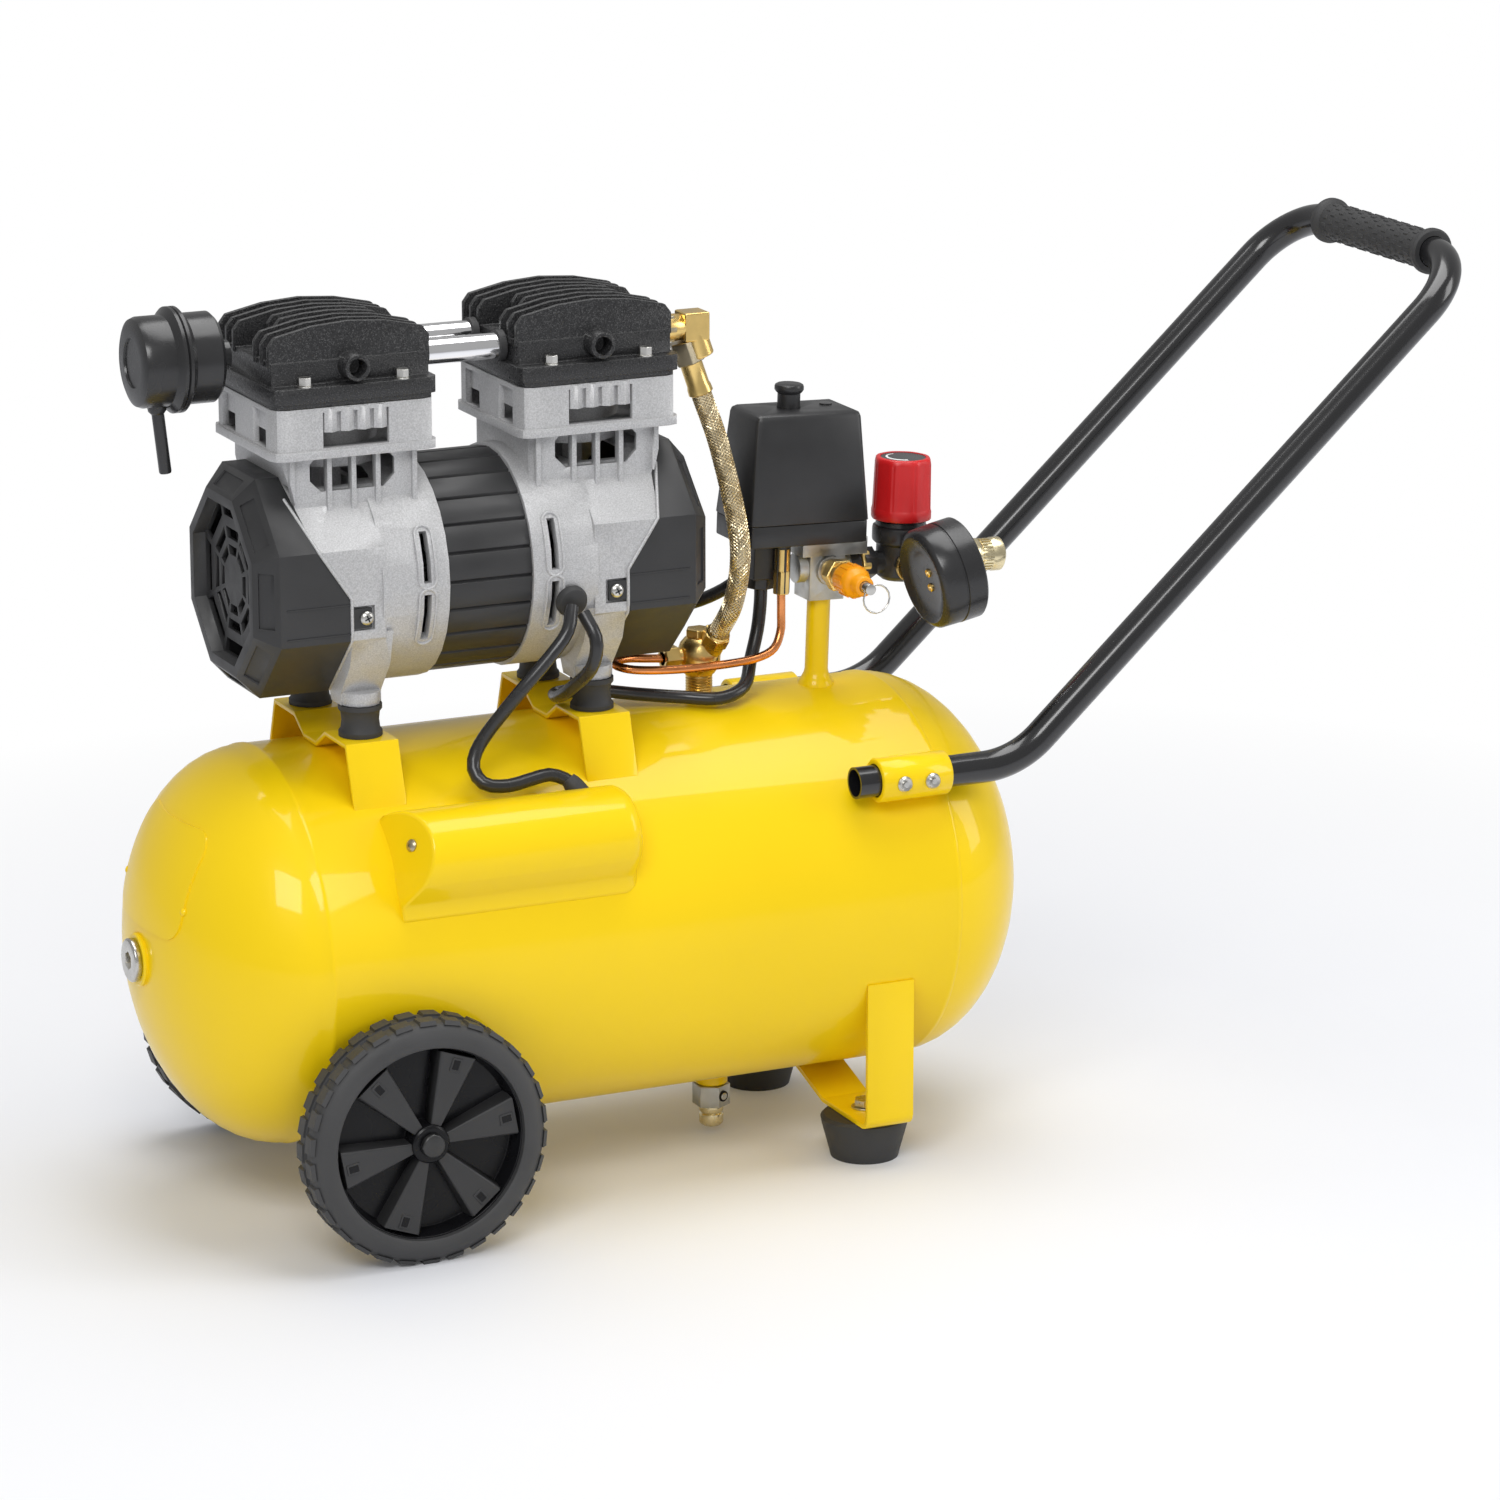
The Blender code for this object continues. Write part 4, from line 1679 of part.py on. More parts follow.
def dome_outline(shrink):
    """Section of the cover: a half-round dome that runs straight into the tank on its upper side."""
    radius, foot = CAPACITOR_DOME_RADIUS - shrink, TANK_RADIUS - CAPACITOR_SKIRT - 2 * shrink
    flank = (TANK_RADIUS - CAPACITOR_LIP - shrink, CAPACITOR_FLANK - shrink)
    return [(foot, -radius)] + arc((CAPACITOR_DOME_OUT, 0), radius, -90, 60, 8) + [flank, (foot, flank[1])]


def build_capacitor():
    """The motor's capacitor lies under a pressed cover on the tank's upper front."""
    length = CAPACITOR_END_X - CAPACITOR_START_X
    middle = (CAPACITOR_START_X + CAPACITOR_END_X) / 2
    cover = add("capacitor_cover", slab([dome_outline(0.0)], length), capacitor_place(middle), YELLOW)
    low, high = TANK_RADIUS - 0.006, CAPACITOR_DOME_OUT + CAPACITOR_DOME_RADIUS
    slope = CAPACITOR_END_SLOPE
    steep = slope / (high - low)
    beyond = [(low - 0.02, -0.05), (high + 0.02, -0.05), (high + 0.02, slope + 0.02 * steep),
              (low - 0.02, -0.02 * steep)]
    end_place = capacitor_place(CAPACITOR_START_X)
    upright = end_place @ Matrix.Rotation(math.pi / 2, 4, "X")
    end_cut = add("cover_end_cut", slab([beyond], 0.2), upright)
    wall = CAPACITOR_WALL
    inner_beyond = [(x, y + wall * 1.1) for x, y in beyond]
    hollow = add("capacitor_room", slab([dome_outline(wall)], length - 2 * wall), capacitor_place(middle))
    inner_cut = add("room_end_cut", slab([inner_beyond], 0.2), upright)
    cut(hollow, inner_cut)
    lead_hole = add("lead_hole", rod(LEAD_RADIUS + CLEARANCE, 0.02, 12), lead_entry())
    cut(cover, end_cut, hollow, tank_core(CLEARANCE), lead_hole)
    seat = TANK_RADIUS + CLEARANCE + CAPACITOR_RADIUS
    can_place = capacitor_place(middle - 0.048) @ Matrix.Translation((seat, 0, 0))
    add("motor_capacitor", rod(CAPACITOR_RADIUS, CAPACITOR_LENGTH, 16), can_place, BLACK_PLASTIC)


LEAD_ENTRY = (0.1240, 0.0084, -0.0268)
LEAD_ENTRY_WAY = (0.450, 0.0975, 0.8867)


def on_cover(point):
    """A place at the cover, given as x, the distance out from the tank's skin and the way down round it."""
    x, out, down = point
    return capacitor_place(x) @ Vector((TANK_RADIUS + out, down, 0))


def lead_entry():
    """The hole in the cover's upper side that the motor's lead goes through."""
    along, out, down = LEAD_ENTRY_WAY
    way = capacitor_place(0).to_3x3() @ Vector((out, down, along))
    return at(*(on_cover(LEAD_ENTRY) - way.normalized() * 0.008), way)


CAPACITOR_LEAD_ROUTE = (
    (0.1265, -0.0765, 0.0874),
    (0.1200, -0.0850, 0.0744),
    (0.1060, -0.0860, 0.0584),
    (0.0870, -0.0830, 0.0374),
    (0.0690, -0.0720, 0.0094),
)
CAPACITOR_LEAD_END = (
    (0.0620, 0.0059, -0.0515),
    (0.0660, 0.0068, -0.0391),
    (0.0800, 0.0080, -0.0357),
    (0.0960, 0.0084, -0.0379),
    (0.1080, 0.0078, -0.0396),
    (0.1170, 0.0072, -0.0363),
    (0.1215, 0.0077, -0.0319),
)
SWITCH_LEAD_ROUTE = (
    (0.1345, -0.0760, 0.0824),
    (0.1385, -0.0860, 0.0674),
    (0.1370, -0.0820, 0.0494),
    (0.1320, -0.0620, 0.0324),
    (0.1325, -0.0420, 0.0229),
    (0.1385, -0.0220, 0.0189),
    (0.1530, -0.0130, 0.0169),
    (0.1750, -0.0105, 0.0139),
    (0.2000, -0.0100, 0.0089),
    (0.2250, -0.0165, 0.0059),
    (0.2480, -0.0270, 0.0049),
    (0.2670, -0.0220, 0.0094),
    (0.2790, -0.0060, 0.0214),
    (0.2870, 0.0010, 0.0384),
    (0.2900, 0.0030, 0.0544),
    (0.2904, 0.0030, 0.0649),
)
REAR_LEAD_ROUTE = (
    (0.2945, 0.0195, 0.0966),
    (0.2930, 0.0200, 0.0804),
    (0.2860, 0.0230, 0.0684),
    (0.2750, 0.0300, 0.0584),
    (0.2590, 0.0420, 0.0494),
    (0.2350, 0.0600, 0.0424),
    (0.2100, 0.0740, 0.0394),
    (0.1850, 0.0810, 0.0414),
    (0.1550, 0.0850, 0.0554),
    (0.1400, 0.0830, 0.0704),
    (0.1335, 0.0755, 0.0844),
)


def build_leads():
    """Motor leads between the grommets, the capacitor cover and the switch."""
    out = Vector((0, -math.cos(GROMMET_ANGLE), math.sin(GROMMET_ANGLE)))
    place = Vector((GROMMET_X, 0, SHAFT_Z)) + out * (RING_RADIUS + CLEARANCE)
    grommet = rod(GROMMET_RADIUS, GROMMET_HEIGHT, 16, GROMMET_RADIUS - 0.002)
    add("lead_grommet", grommet, at(*place, out), RUBBER)
    lead_end = [on_cover(point) for point in CAPACITOR_LEAD_END]
    routes = (
        ("capacitor_lead", above_tank(CAPACITOR_LEAD_ROUTE) + lead_end),
        ("switch_lead", above_tank(SWITCH_LEAD_ROUTE)),
        ("rear_lead", above_tank(REAR_LEAD_ROUTE)),
    )
    for name, route in routes:
        add_tube(name, smooth_path(route, 0.0170), LEAD_RADIUS, BLACK_PLASTIC)


# ---------------------------------------------------------------- assembly


def centre_on_footprint():
    """Moves the whole object so that the origin is the middle of its footprint."""
    bpy.context.view_layer.update()
    graph = bpy.context.evaluated_depsgraph_get()
    corners = []
    for piece in PARTS.objects:
        if piece.type != "MESH":
            continue
        solid = piece.evaluated_get(graph)
        corners += [solid.matrix_world @ Vector(corner) for corner in solid.bound_box]
    ends = [corner.x for corner in corners]
    ROOT.location.x = -(min(ends) + max(ends)) / 2


build_tank()
build_plug()
build_drain()
for wheel_side, wheel_word in ((-1, "front"), (1, "rear")):
    build_wheel(wheel_side, wheel_word)
build_feet()
build_pump()
build_filter()
build_delivery()
build_switch_group()
build_handle()
build_capacitor()
build_leads()
centre_on_footprint()
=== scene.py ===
"""Looks of the wheelbarrow air compressor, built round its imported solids.

Metres, +Z up, in the row's frame. Places along the object are written from the wheel axle, as in the
solids' own source, and SHIFT moves them into the row's frame. A profile is a row of (radius, height)
points that is turned about local +Z.
"""

import math

import bmesh
import bpy
from mathutils import Matrix, Vector


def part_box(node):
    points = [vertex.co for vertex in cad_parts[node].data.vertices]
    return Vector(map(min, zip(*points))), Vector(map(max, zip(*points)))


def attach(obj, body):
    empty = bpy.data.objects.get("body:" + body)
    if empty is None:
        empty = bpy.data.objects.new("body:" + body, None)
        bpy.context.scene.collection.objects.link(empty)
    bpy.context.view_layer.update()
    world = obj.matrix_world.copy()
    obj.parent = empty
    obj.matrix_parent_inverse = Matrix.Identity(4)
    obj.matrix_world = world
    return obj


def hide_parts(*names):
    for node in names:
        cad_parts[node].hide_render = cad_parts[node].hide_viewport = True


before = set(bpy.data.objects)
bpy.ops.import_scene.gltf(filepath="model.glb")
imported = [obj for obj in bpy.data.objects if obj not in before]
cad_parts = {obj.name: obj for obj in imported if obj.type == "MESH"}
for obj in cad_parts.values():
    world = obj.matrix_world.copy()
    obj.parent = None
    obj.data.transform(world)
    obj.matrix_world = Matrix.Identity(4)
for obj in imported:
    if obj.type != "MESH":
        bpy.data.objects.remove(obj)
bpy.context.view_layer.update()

FULL_TURN = 2 * math.pi
SHIFT = -0.30735
AHEAD = (1, 0, 0)
FRONT_REAR = ((-1, "front"), (1, "rear"))
LEFT_RIGHT = ((-1, "left"), (1, "right"))

# ---- finishes

MIX_FIRST, MIX_SECOND, MIX_COLOUR = 6, 7, 2  # a Mix node's two colour inputs and its colour output


class Finish:
    """A Principled material, and the procedural layers that the finishes below put on it."""

    def __init__(self, name, colour, roughness, metallic=0.0, coat=0.0, coat_roughness=0.05):
        self.name = name
        self.material = bpy.data.materials.new(name)
        self.material.use_nodes = True
        self.tree = self.material.node_tree
        self.shader = self.tree.nodes["Principled BSDF"]
        self.colour = colour
        self.roughness = roughness
        self.place = self.node("ShaderNodeTexCoord").outputs["Object"]
        values = {
            "Base Color": (*colour, 1.0),
            "Roughness": roughness,
            "Metallic": metallic,
            "Coat Weight": coat,
            "Coat Roughness": coat_roughness,
        }
        for socket, value in values.items():
            self.shader.inputs[socket].default_value = value

    def node(self, kind, **inputs):
        made = self.tree.nodes.new(kind)
        for socket, value in inputs.items():
            self.feed(made.inputs[socket.replace("_", " ")], value)
        return made

    def feed(self, socket, value):
        if isinstance(value, bpy.types.NodeSocket):
            self.tree.links.new(value, socket)
        else:
            socket.default_value = value

    def noise(self, scale, detail):
        return self.node("ShaderNodeTexNoise", Vector=self.place, Scale=scale, Detail=detail).outputs["Fac"]

    def spread(self, value, low, high, from_low=0.3, from_high=0.7):
        """A value from 0 to 1 stretched to run from low to high."""
        made = self.node(
            "ShaderNodeMapRange", Value=value, From_Min=from_low, From_Max=from_high, To_Min=low, To_Max=high
        )
        return made.outputs["Result"]

    def blend(self, share, first, second):
        """Base colour between the first and the second, by a share from 0 to 1."""
        mix = self.node("ShaderNodeMix")
        mix.data_type = "RGBA"
        self.feed(mix.inputs["Factor"], share)
        self.feed(mix.inputs[MIX_FIRST], (*first, 1.0))
        self.feed(mix.inputs[MIX_SECOND], (*second, 1.0))
        self.feed(self.shader.inputs["Base Color"], mix.outputs[MIX_COLOUR])
        return self

    def mottle(self, scale, dark, light, detail=3.0):
        """Colour that drifts between a darker and a lighter shade of itself."""
        share = self.spread(self.noise(scale, detail), 0.0, 1.0)
        return self.blend(share, [c * dark for c in self.colour], [min(1.0, c * light) for c in self.colour])

    def flecks(self, scale, colour, threshold):
        """Small lighter grains, as in a crackle finish or a sand casting."""
        share = self.spread(self.noise(scale, 2.0), 0.0, 1.0, threshold, threshold + 0.10)
        return self.blend(share, self.colour, colour)

    def uneven(self, scale, amount):
        """Roughness that varies by the amount to each side."""
        value = self.spread(self.noise(scale, 2.0), self.roughness - amount, self.roughness + amount)
        self.feed(self.shader.inputs["Roughness"], value)
        return self

    def grain(self, scale, distance, strength, detail=4.0):
        """A fine bump, too small to be modelled."""
        made = self.node("ShaderNodeBump", Height=self.noise(scale, detail), Distance=distance, Strength=strength)
        self.feed(self.shader.inputs["Normal"], made.outputs["Normal"])
        return self


# Name, colour, roughness and metallic, and then what mottle, uneven and grain are told.
PLAIN_FINISHES = (
    ("yellow_paint", (0.93, 0.64, 0.004), 0.34, 0.0, (6, 0.97, 1.02), (12, 0.03), (24, 0.00012, 0.10, 1.0)),
    ("black_paint", (0.009, 0.009, 0.010), 0.22, 0.0, (9, 0.9, 1.15), (12, 0.02), (20, 0.00002, 0.05, 0.0)),
    ("dark_plastic", (0.027, 0.027, 0.028), 0.46, 0.0, (30, 0.9, 1.12), (60, 0.07), (1300, 0.00010, 0.45)),
    ("black_plastic", (0.021, 0.021, 0.022), 0.38, 0.0, (25, 0.88, 1.12), (70, 0.06), (1500, 0.00008, 0.35)),
    ("gloss_plastic", (0.022, 0.022, 0.023), 0.26, 0.0, (30, 0.88, 1.15), (60, 0.05), (900, 0.00004, 0.3)),
    ("rim_plastic", (0.006, 0.006, 0.007), 0.26, 0.0, (30, 0.9, 1.15), (60, 0.05), (900, 0.00004, 0.3)),
    ("red_plastic", (0.60, 0.012, 0.014), 0.36, 0.0, (30, 0.93, 1.05), (60, 0.05), (1200, 0.00005, 0.3)),
    ("orange_plastic", (0.93, 0.36, 0.006), 0.36, 0.0, (40, 0.92, 1.05), (70, 0.06), (1100, 0.00006, 0.3)),
    ("needle_red", (0.55, 0.015, 0.015), 0.40, 0.0, (90, 0.93, 1.05), (90, 0.05), (1400, 0.00003, 0.3)),
    ("dial_white", (0.80, 0.80, 0.79), 0.5, 0.0, (60, 0.98, 1.01), (80, 0.04), None),
    ("rubber", (0.034, 0.034, 0.035), 0.62, 0.0, (40, 0.85, 1.15), (80, 0.08), (1000, 0.00014, 0.5)),
    ("tyre_rubber", (0.046, 0.046, 0.047), 0.60, 0.0, (40, 0.88, 1.12), (80, 0.08), (1000, 0.00014, 0.5)),
    ("cast_aluminium", (0.52, 0.52, 0.525), 0.52, 0.45, (1200, 0.80, 1.14, 2.0), (300, 0.08), (1300, 0.00022, 0.5)),
    ("zinc", (0.50, 0.50, 0.48), 0.42, 0.9, (70, 0.8, 1.12), (120, 0.10), (700, 0.00014, 0.6)),
    ("bright_steel", (0.62, 0.61, 0.58), 0.28, 1.0, (60, 0.85, 1.1), (90, 0.08), (700, 0.00005, 0.4)),
    ("dark_steel", (0.06, 0.06, 0.06), 0.35, 0.8, (60, 0.85, 1.15), (90, 0.08), (800, 0.00006, 0.4)),
    ("steel_braid", (0.72, 0.60, 0.38), 0.30, 0.9, (500, 0.92, 1.08), (300, 0.03), None),
    ("chrome", (0.86, 0.86, 0.87), 0.10, 1.0, (20, 0.97, 1.02), (60, 0.03), (300, 0.00002, 0.2)),
    ("brass", (0.84, 0.60, 0.22), 0.30, 1.0, (60, 0.88, 1.10), (90, 0.06), (300, 0.00004, 0.2)),
    ("grey_brass", (0.46, 0.40, 0.28), 0.34, 1.0, (90, 0.80, 1.15), (120, 0.08), (700, 0.00008, 0.4)),
    ("pale_brass", (0.80, 0.70, 0.45), 0.26, 1.0, (60, 0.88, 1.10), (90, 0.06), (300, 0.00004, 0.2)),
    ("copper", (0.86, 0.33, 0.12), 0.24, 1.0, (70, 0.80, 1.12), (90, 0.07), (400, 0.00005, 0.3)),
)
COATS = {"yellow_paint": (0.4, 0.05), "black_paint": (0.5, 0.08)}  # weight and roughness


def make_finishes():
    made = []
    for name, colour, roughness, metallic, mottle, uneven, grain in PLAIN_FINISHES:
        finish = Finish(name, colour, roughness, metallic, *COATS.get(name, ()))
        made.append(finish.mottle(*mottle).uneven(*uneven))
        if grain:
            finish.grain(*grain)
    black_cast = Finish("black_casting", (0.014, 0.014, 0.015), 0.34)
    made.append(black_cast.flecks(1500, (0.075, 0.075, 0.075), 0.55).uneven(600, 0.12).grain(900, 0.00040, 0.8))
    made.append(Finish("clear_glass", (1.0, 1.0, 1.0), 0.04).uneven(12, 0.01))
    named = {finish.name: finish for finish in made}
    named["yellow_paint"].shader.inputs["Specular IOR Level"].default_value = 0.12
    named["rim_plastic"].shader.inputs["Specular IOR Level"].default_value = 0.22
    named["clear_glass"].shader.inputs["Transmission Weight"].default_value = 1.0
    named["clear_glass"].shader.inputs["IOR"].default_value = 1.45
    return {name: finish.material for name, finish in named.items()}


FINISHES = make_finishes()

# ---- the solids, dressed

EDGE = 0.0006  # radius of a broken edge
SMALL_EDGE = 0.0003
NODE_FINISH = {
    "yellow_paint": "receiver_tank foot_bracket saddle_left saddle_right riser_pipe capacitor_cover",
    "black_paint": "handle_frame",
    "dark_plastic": "fan_cover_left fan_cover_right motor_stator",
    "black_plastic": "air_filter cooling_fan_left cooling_fan_right motor_capacitor pressure_gauge regulator_body "
    "switch_base switch_cover switch_knob capacitor_lead rear_lead switch_lead",
    "rubber": "handle_grip lead_grommet rubber_foot_front rubber_foot_rear rubber_mount_front_left "
    "rubber_mount_front_right rubber_mount_rear_left rubber_mount_rear_right wheel_front wheel_rear",
    "cast_aluminium": "crankcase_left crankcase_right cylinder_block_left cylinder_block_right piston_left "
    "piston_right",
    "black_casting": "cylinder_head_left cylinder_head_right",
    "bright_steel": "axle_bolt_front axle_bolt_rear drain_body motor_rotor safety_valve_pin safety_valve_ring "
    "tank_plug",
    "chrome": "head_tube_front head_tube_rear",
    "brass": "check_valve coupler_body coupler_sleeve drain_screw outlet_elbow",
    "copper": "unloader_pipe",
    "steel_braid": "delivery_hose",
    "zinc": "switch_manifold",
    "red_plastic": "regulator_knob",
    "orange_plastic": "safety_valve_body",
    "needle_red": "gauge_needle",
}
NODE_LOOK = {
    "axle_bolt_front": "dark_steel", "axle_bolt_rear": "dark_steel", "drain_body": "zinc", "drain_screw": "pale_brass",
}
FINE_NODES = ("gauge_needle", "safety_valve_ring", "motor_rotor", "cooling_fan_left", "cooling_fan_right")


def break_edges(piece, radius, angle):
    bevel = piece.modifiers.new("edge", "BEVEL")
    bevel.width = radius
    bevel.segments = 2
    bevel.limit_method = "ANGLE"
    bevel.angle_limit = math.radians(angle)
    bevel.harden_normals = True


def dress_nodes():
    """Gives each solid its finish, welds its facets together, breaks its edges and shades it smooth."""
    for slot, names in NODE_FINISH.items():
        for name in names.split():
            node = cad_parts[name]
            node.data.materials.clear()
            node.data.materials.append(FINISHES[NODE_LOOK.get(name, slot)])
            node.modifiers.new("weld", "WELD").merge_threshold = 1e-5
            break_edges(node, SMALL_EDGE if name in FINE_NODES else EDGE, 30.0)
            node.data.shade_smooth()


dress_nodes()

# ---- mesh code for the detailed pieces


def facing(normal):
    """Local +Z along the normal, and local +Y as near upright as it can be."""
    z = Vector(normal).normalized()
    up = Vector((0, 0, 1)) if abs(z.z) < 0.99 else Vector((0, 1, 0))
    x = up.cross(z).normalized()
    return Matrix((x, z.cross(x), z)).transposed().to_4x4()


def put(point, normal=(0, 0, 1)):
    return Matrix.Translation(point) @ facing(normal)


def at(x, y, z, normal=(0, 0, 1)):
    """A place written from the wheel axle."""
    return put((x + SHIFT, y, z), normal)


def up(height):
    return Matrix.Translation((0, 0, height))


def turned(angle):
    return Matrix.Rotation(angle, 4, "Z")


def circle(radius, height, steps, turn=0.0):
    angles = [FULL_TURN * i / steps + turn for i in range(steps)]
    return [Vector((radius * math.cos(a), radius * math.sin(a), height)) for a in angles]


def walk(path):
    """Each point of a path with its direction, two more directions that don't twist, and the way walked."""
    rows, across, walked = [], None, 0.0
    for i, point in enumerate(path):
        along = (path[min(i + 1, len(path) - 1)] - path[max(i - 1, 0)]).normalized()
        if across is None:
            across = along.orthogonal().normalized()
        across = (across - along * across.dot(along)).normalized()
        walked += (point - path[max(i - 1, 0)]).length
        rows.append((point, along, across, along.cross(across), walked))
    return rows


class Shape:
    """One piece's mesh, put together from closed forms that are each added at a place."""

    def __init__(self):
        self.bm = bmesh.new()

    def loft(self, rings, place=Matrix(), closed=False):
        """Skins a row of rings that have equally many points, and fills both ends unless it is closed."""
        rows = [[self.bm.verts.new(place @ Vector(point)) for point in ring] for ring in rings]
        ahead = rows[1:] + rows[:1] if closed else rows[1:]
        for row, following in zip(rows, ahead):
            for i in range(len(row)):
                j = (i + 1) % len(row)
                self.bm.faces.new((row[i], row[j], following[j], following[i]))
        if not closed:
            self.bm.faces.new(rows[0][::-1])
            self.bm.faces.new(rows[-1])
        return self

    def spin(self, profile, place=Matrix(), steps=40, closed=False):
        """Turns a profile of (radius, height) points about local +Z."""
        return self.loft([circle(r, h, steps) for r, h in profile], place, closed)

    def disc(self, radius, height, place, steps=28):
        return self.spin([(0, 0), (radius, 0), (radius, height), (0, height)], place, steps)

    def prism(self, outline, height, place=Matrix(), taper=1.0):
        low = [Vector((x, y, 0.0)) for x, y in outline]
        high = [Vector((x * taper, y * taper, height)) for x, y in outline]
        return self.loft([low, high], place)

    def block(self, x, y, z, place=Matrix(), taper=1.0):
        corners = [(-x / 2, -y / 2), (x / 2, -y / 2), (x / 2, y / 2), (-x / 2, y / 2)]
        return self.prism(corners, z, place @ Matrix.Translation((0, 0, -z / 2)), taper)

    def nut(self, across, height, place=Matrix(), turn=0.0):
        """A hexagon with chamfered corners, as wide across its flats as it is told."""
        corner = across / math.sqrt(3)
        rim = 0.07 * across
        rings = [circle(corner - rim * 0.8, 0.0, 6, turn), circle(corner, rim * 0.5, 6, turn)]
        rings += [circle(corner, height - rim * 0.5, 6, turn), circle(corner - rim * 0.8, height, 6, turn)]
        return self.loft(rings, place)

    def sweep(self, path, radius, steps=16, bore=0.0, depth=0.03):
        """A round tube along the path. With a bore its two ends are open to the given depth."""

        def ring(row, r, shift=0.0):
            point, along, across, over, _ = row
            turns = [FULL_TURN * k / steps for k in range(steps)]
            return [point + along * shift + r * (across * math.cos(t) + over * math.sin(t)) for t in turns]

        rows = walk(path)
        rings = [ring(row, radius) for row in rows]
        if bore:
            rings = [ring(rows[0], bore, depth), ring(rows[0], bore), *rings]
            rings += [ring(rows[-1], bore), ring(rows[-1], bore, -depth)]
        return self.loft(rings)

    def piece(self, name, slot, body="frame", replaces=None, edge=0.0, sharp=34.0, finish=None):
        """Makes the object, gives it its finish and its body, and breaks its sharp edges by the edge radius."""
        bmesh.ops.remove_doubles(self.bm, verts=self.bm.verts, dist=2e-6)
        bmesh.ops.recalc_face_normals(self.bm, faces=self.bm.faces)
        mesh = bpy.data.meshes.new(name)
        self.bm.to_mesh(mesh)
        self.bm.free()
        mesh.shade_smooth()
        made = bpy.data.objects.new(name, mesh)
        bpy.context.scene.collection.objects.link(made)
        mesh.materials.append(FINISHES[finish or slot])
        if edge:
            break_edges(made, edge, sharp)
        else:
            mesh.set_sharp_from_angle(angle=math.radians(sharp))
        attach(made, body)
        if replaces:
            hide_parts(replaces)
        return made


def smooth_path(points, spacing):
    """Evenly spaced points on a smooth curve through the route's own points."""
    route = [Vector(p) for p in points]
    route = [2 * route[0] - route[1], *route, 2 * route[-1] - route[-2]]
    fine = []
    for a, b, c, d in zip(route, route[1:], route[2:], route[3:]):
        for i in range(24):
            t = i / 24
            fine.append(
                0.5 * (2 * b + (c - a) * t + (2 * a - 5 * b + 4 * c - d) * t**2 + (3 * b - a - 3 * c + d) * t**3)
            )
    fine.append(route[-2])
    total = sum((b - a).length for a, b in zip(fine, fine[1:]))
    count = max(2, round(total / spacing))
    path, walked, wanted = [fine[0]], 0.0, total / count
    for a, b in zip(fine, fine[1:]):
        walked += (b - a).length
        if walked >= wanted * len(path) and len(path) < count:
            path.append(b)
    path.append(fine[-1])
    return path


def rounded_path(points, bend, count):
    """The path with each inner corner replaced by an arc of the bend radius."""
    points = [Vector(p) for p in points]
    path = [points[0]]
    for before, corner, after in zip(points, points[1:], points[2:]):
        back, ahead = (before - corner).normalized(), (after - corner).normalized()
        half = back.angle(ahead) / 2
        reach = bend / math.tan(half)
        centre = corner + (back + ahead).normalized() * bend / math.sin(half)
        first, last = corner + back * reach - centre, corner + ahead * reach - centre
        sweep = first.angle(last)
        for i in range(count + 1):
            share = i / count
            mix = first * math.sin((1 - share) * sweep) + last * math.sin(share * sweep)
            path.append(centre + mix / math.sin(sweep))
    path.append(points[-1])
    return path


# ---- tank, bracket, sleeves and cover

TANK_RADIUS = 0.123
TANK_AXIS_Z = 0.1666
TANK_TOP_Z = 0.2896
SHELL_START_X = -0.0485
SHELL_END_X = 0.368
HEAD_DEPTH = 0.080
WHEEL_RADIUS = 0.0765
WHEEL_Y = 0.1378
HANDLE_Y = 0.1080
HANDLE_Z = 0.2535
SLEEVE_START_X = 0.316
SLEEVE_LENGTH_X = 0.048
FOOT_X, FOOT_Y = 0.324, 0.080
COVER_ANGLE = math.radians(36.0)
COVER_OUT = Vector((0, -math.cos(COVER_ANGLE), math.sin(COVER_ANGLE)))


def make_tank():
    rows, bead = 14, ((0.0022, 0), (0.0012, 0.0006), (-0.0012, 0.0006), (-0.0022, 0))
    angles = [math.pi / 2 * i / rows for i in range(rows + 1)]
    shell = [(TANK_RADIUS * math.sin(a), SHELL_END_X + HEAD_DEPTH * math.cos(a)) for a in angles]
    shell += [(TANK_RADIUS + out, end + along) for end in (SHELL_END_X, SHELL_START_X) for along, out in bead]
    shell += [(TANK_RADIUS * math.cos(a), SHELL_START_X - HEAD_DEPTH * math.sin(a)) for a in angles[1:]]
    tank = Shape().spin(shell, at(0, 0, TANK_AXIS_Z, AHEAD), 128)
    tank.piece("tank_shell", "yellow_paint", replaces="receiver_tank", sharp=60)
    bung = [(0, 0.006), (0.0165, 0.006), (0.0165, -0.001), (0.0155, -0.002), (0, -0.002)]
    Shape().spin(bung, at(SHELL_START_X - HEAD_DEPTH, 0, TANK_AXIS_Z, AHEAD)).piece("tank_bung", "yellow_paint")
    for side, word in FRONT_REAR:
        make_wheel_bracket(side, word)
        make_sleeve(side, word)
    make_drain()
    make_head_plate()


def make_wheel_bracket(side, word):
    """A folded hood over the wheel: its web, its roof and its two ends."""
    web_y, wide, low, high, plate, depth = 0.103, 0.044, 0.0525, 0.1065, 0.003, 0.033
    tall, middle_y, middle_z = high - low, side * (web_y - depth / 2), (low + high) / 2
    hood = Shape().block(wide, plate, tall, at(0, side * (web_y - plate / 2), middle_z))
    hood.block(wide, depth, plate, at(0, middle_y, high - plate / 2))
    for end in (-1, 1):
        hood.block(plate, depth, tall, at(end * (wide - plate) / 2, middle_y, middle_z))
    hood.piece(f"wheel_bracket_{word}", "yellow_paint", edge=0.0012)


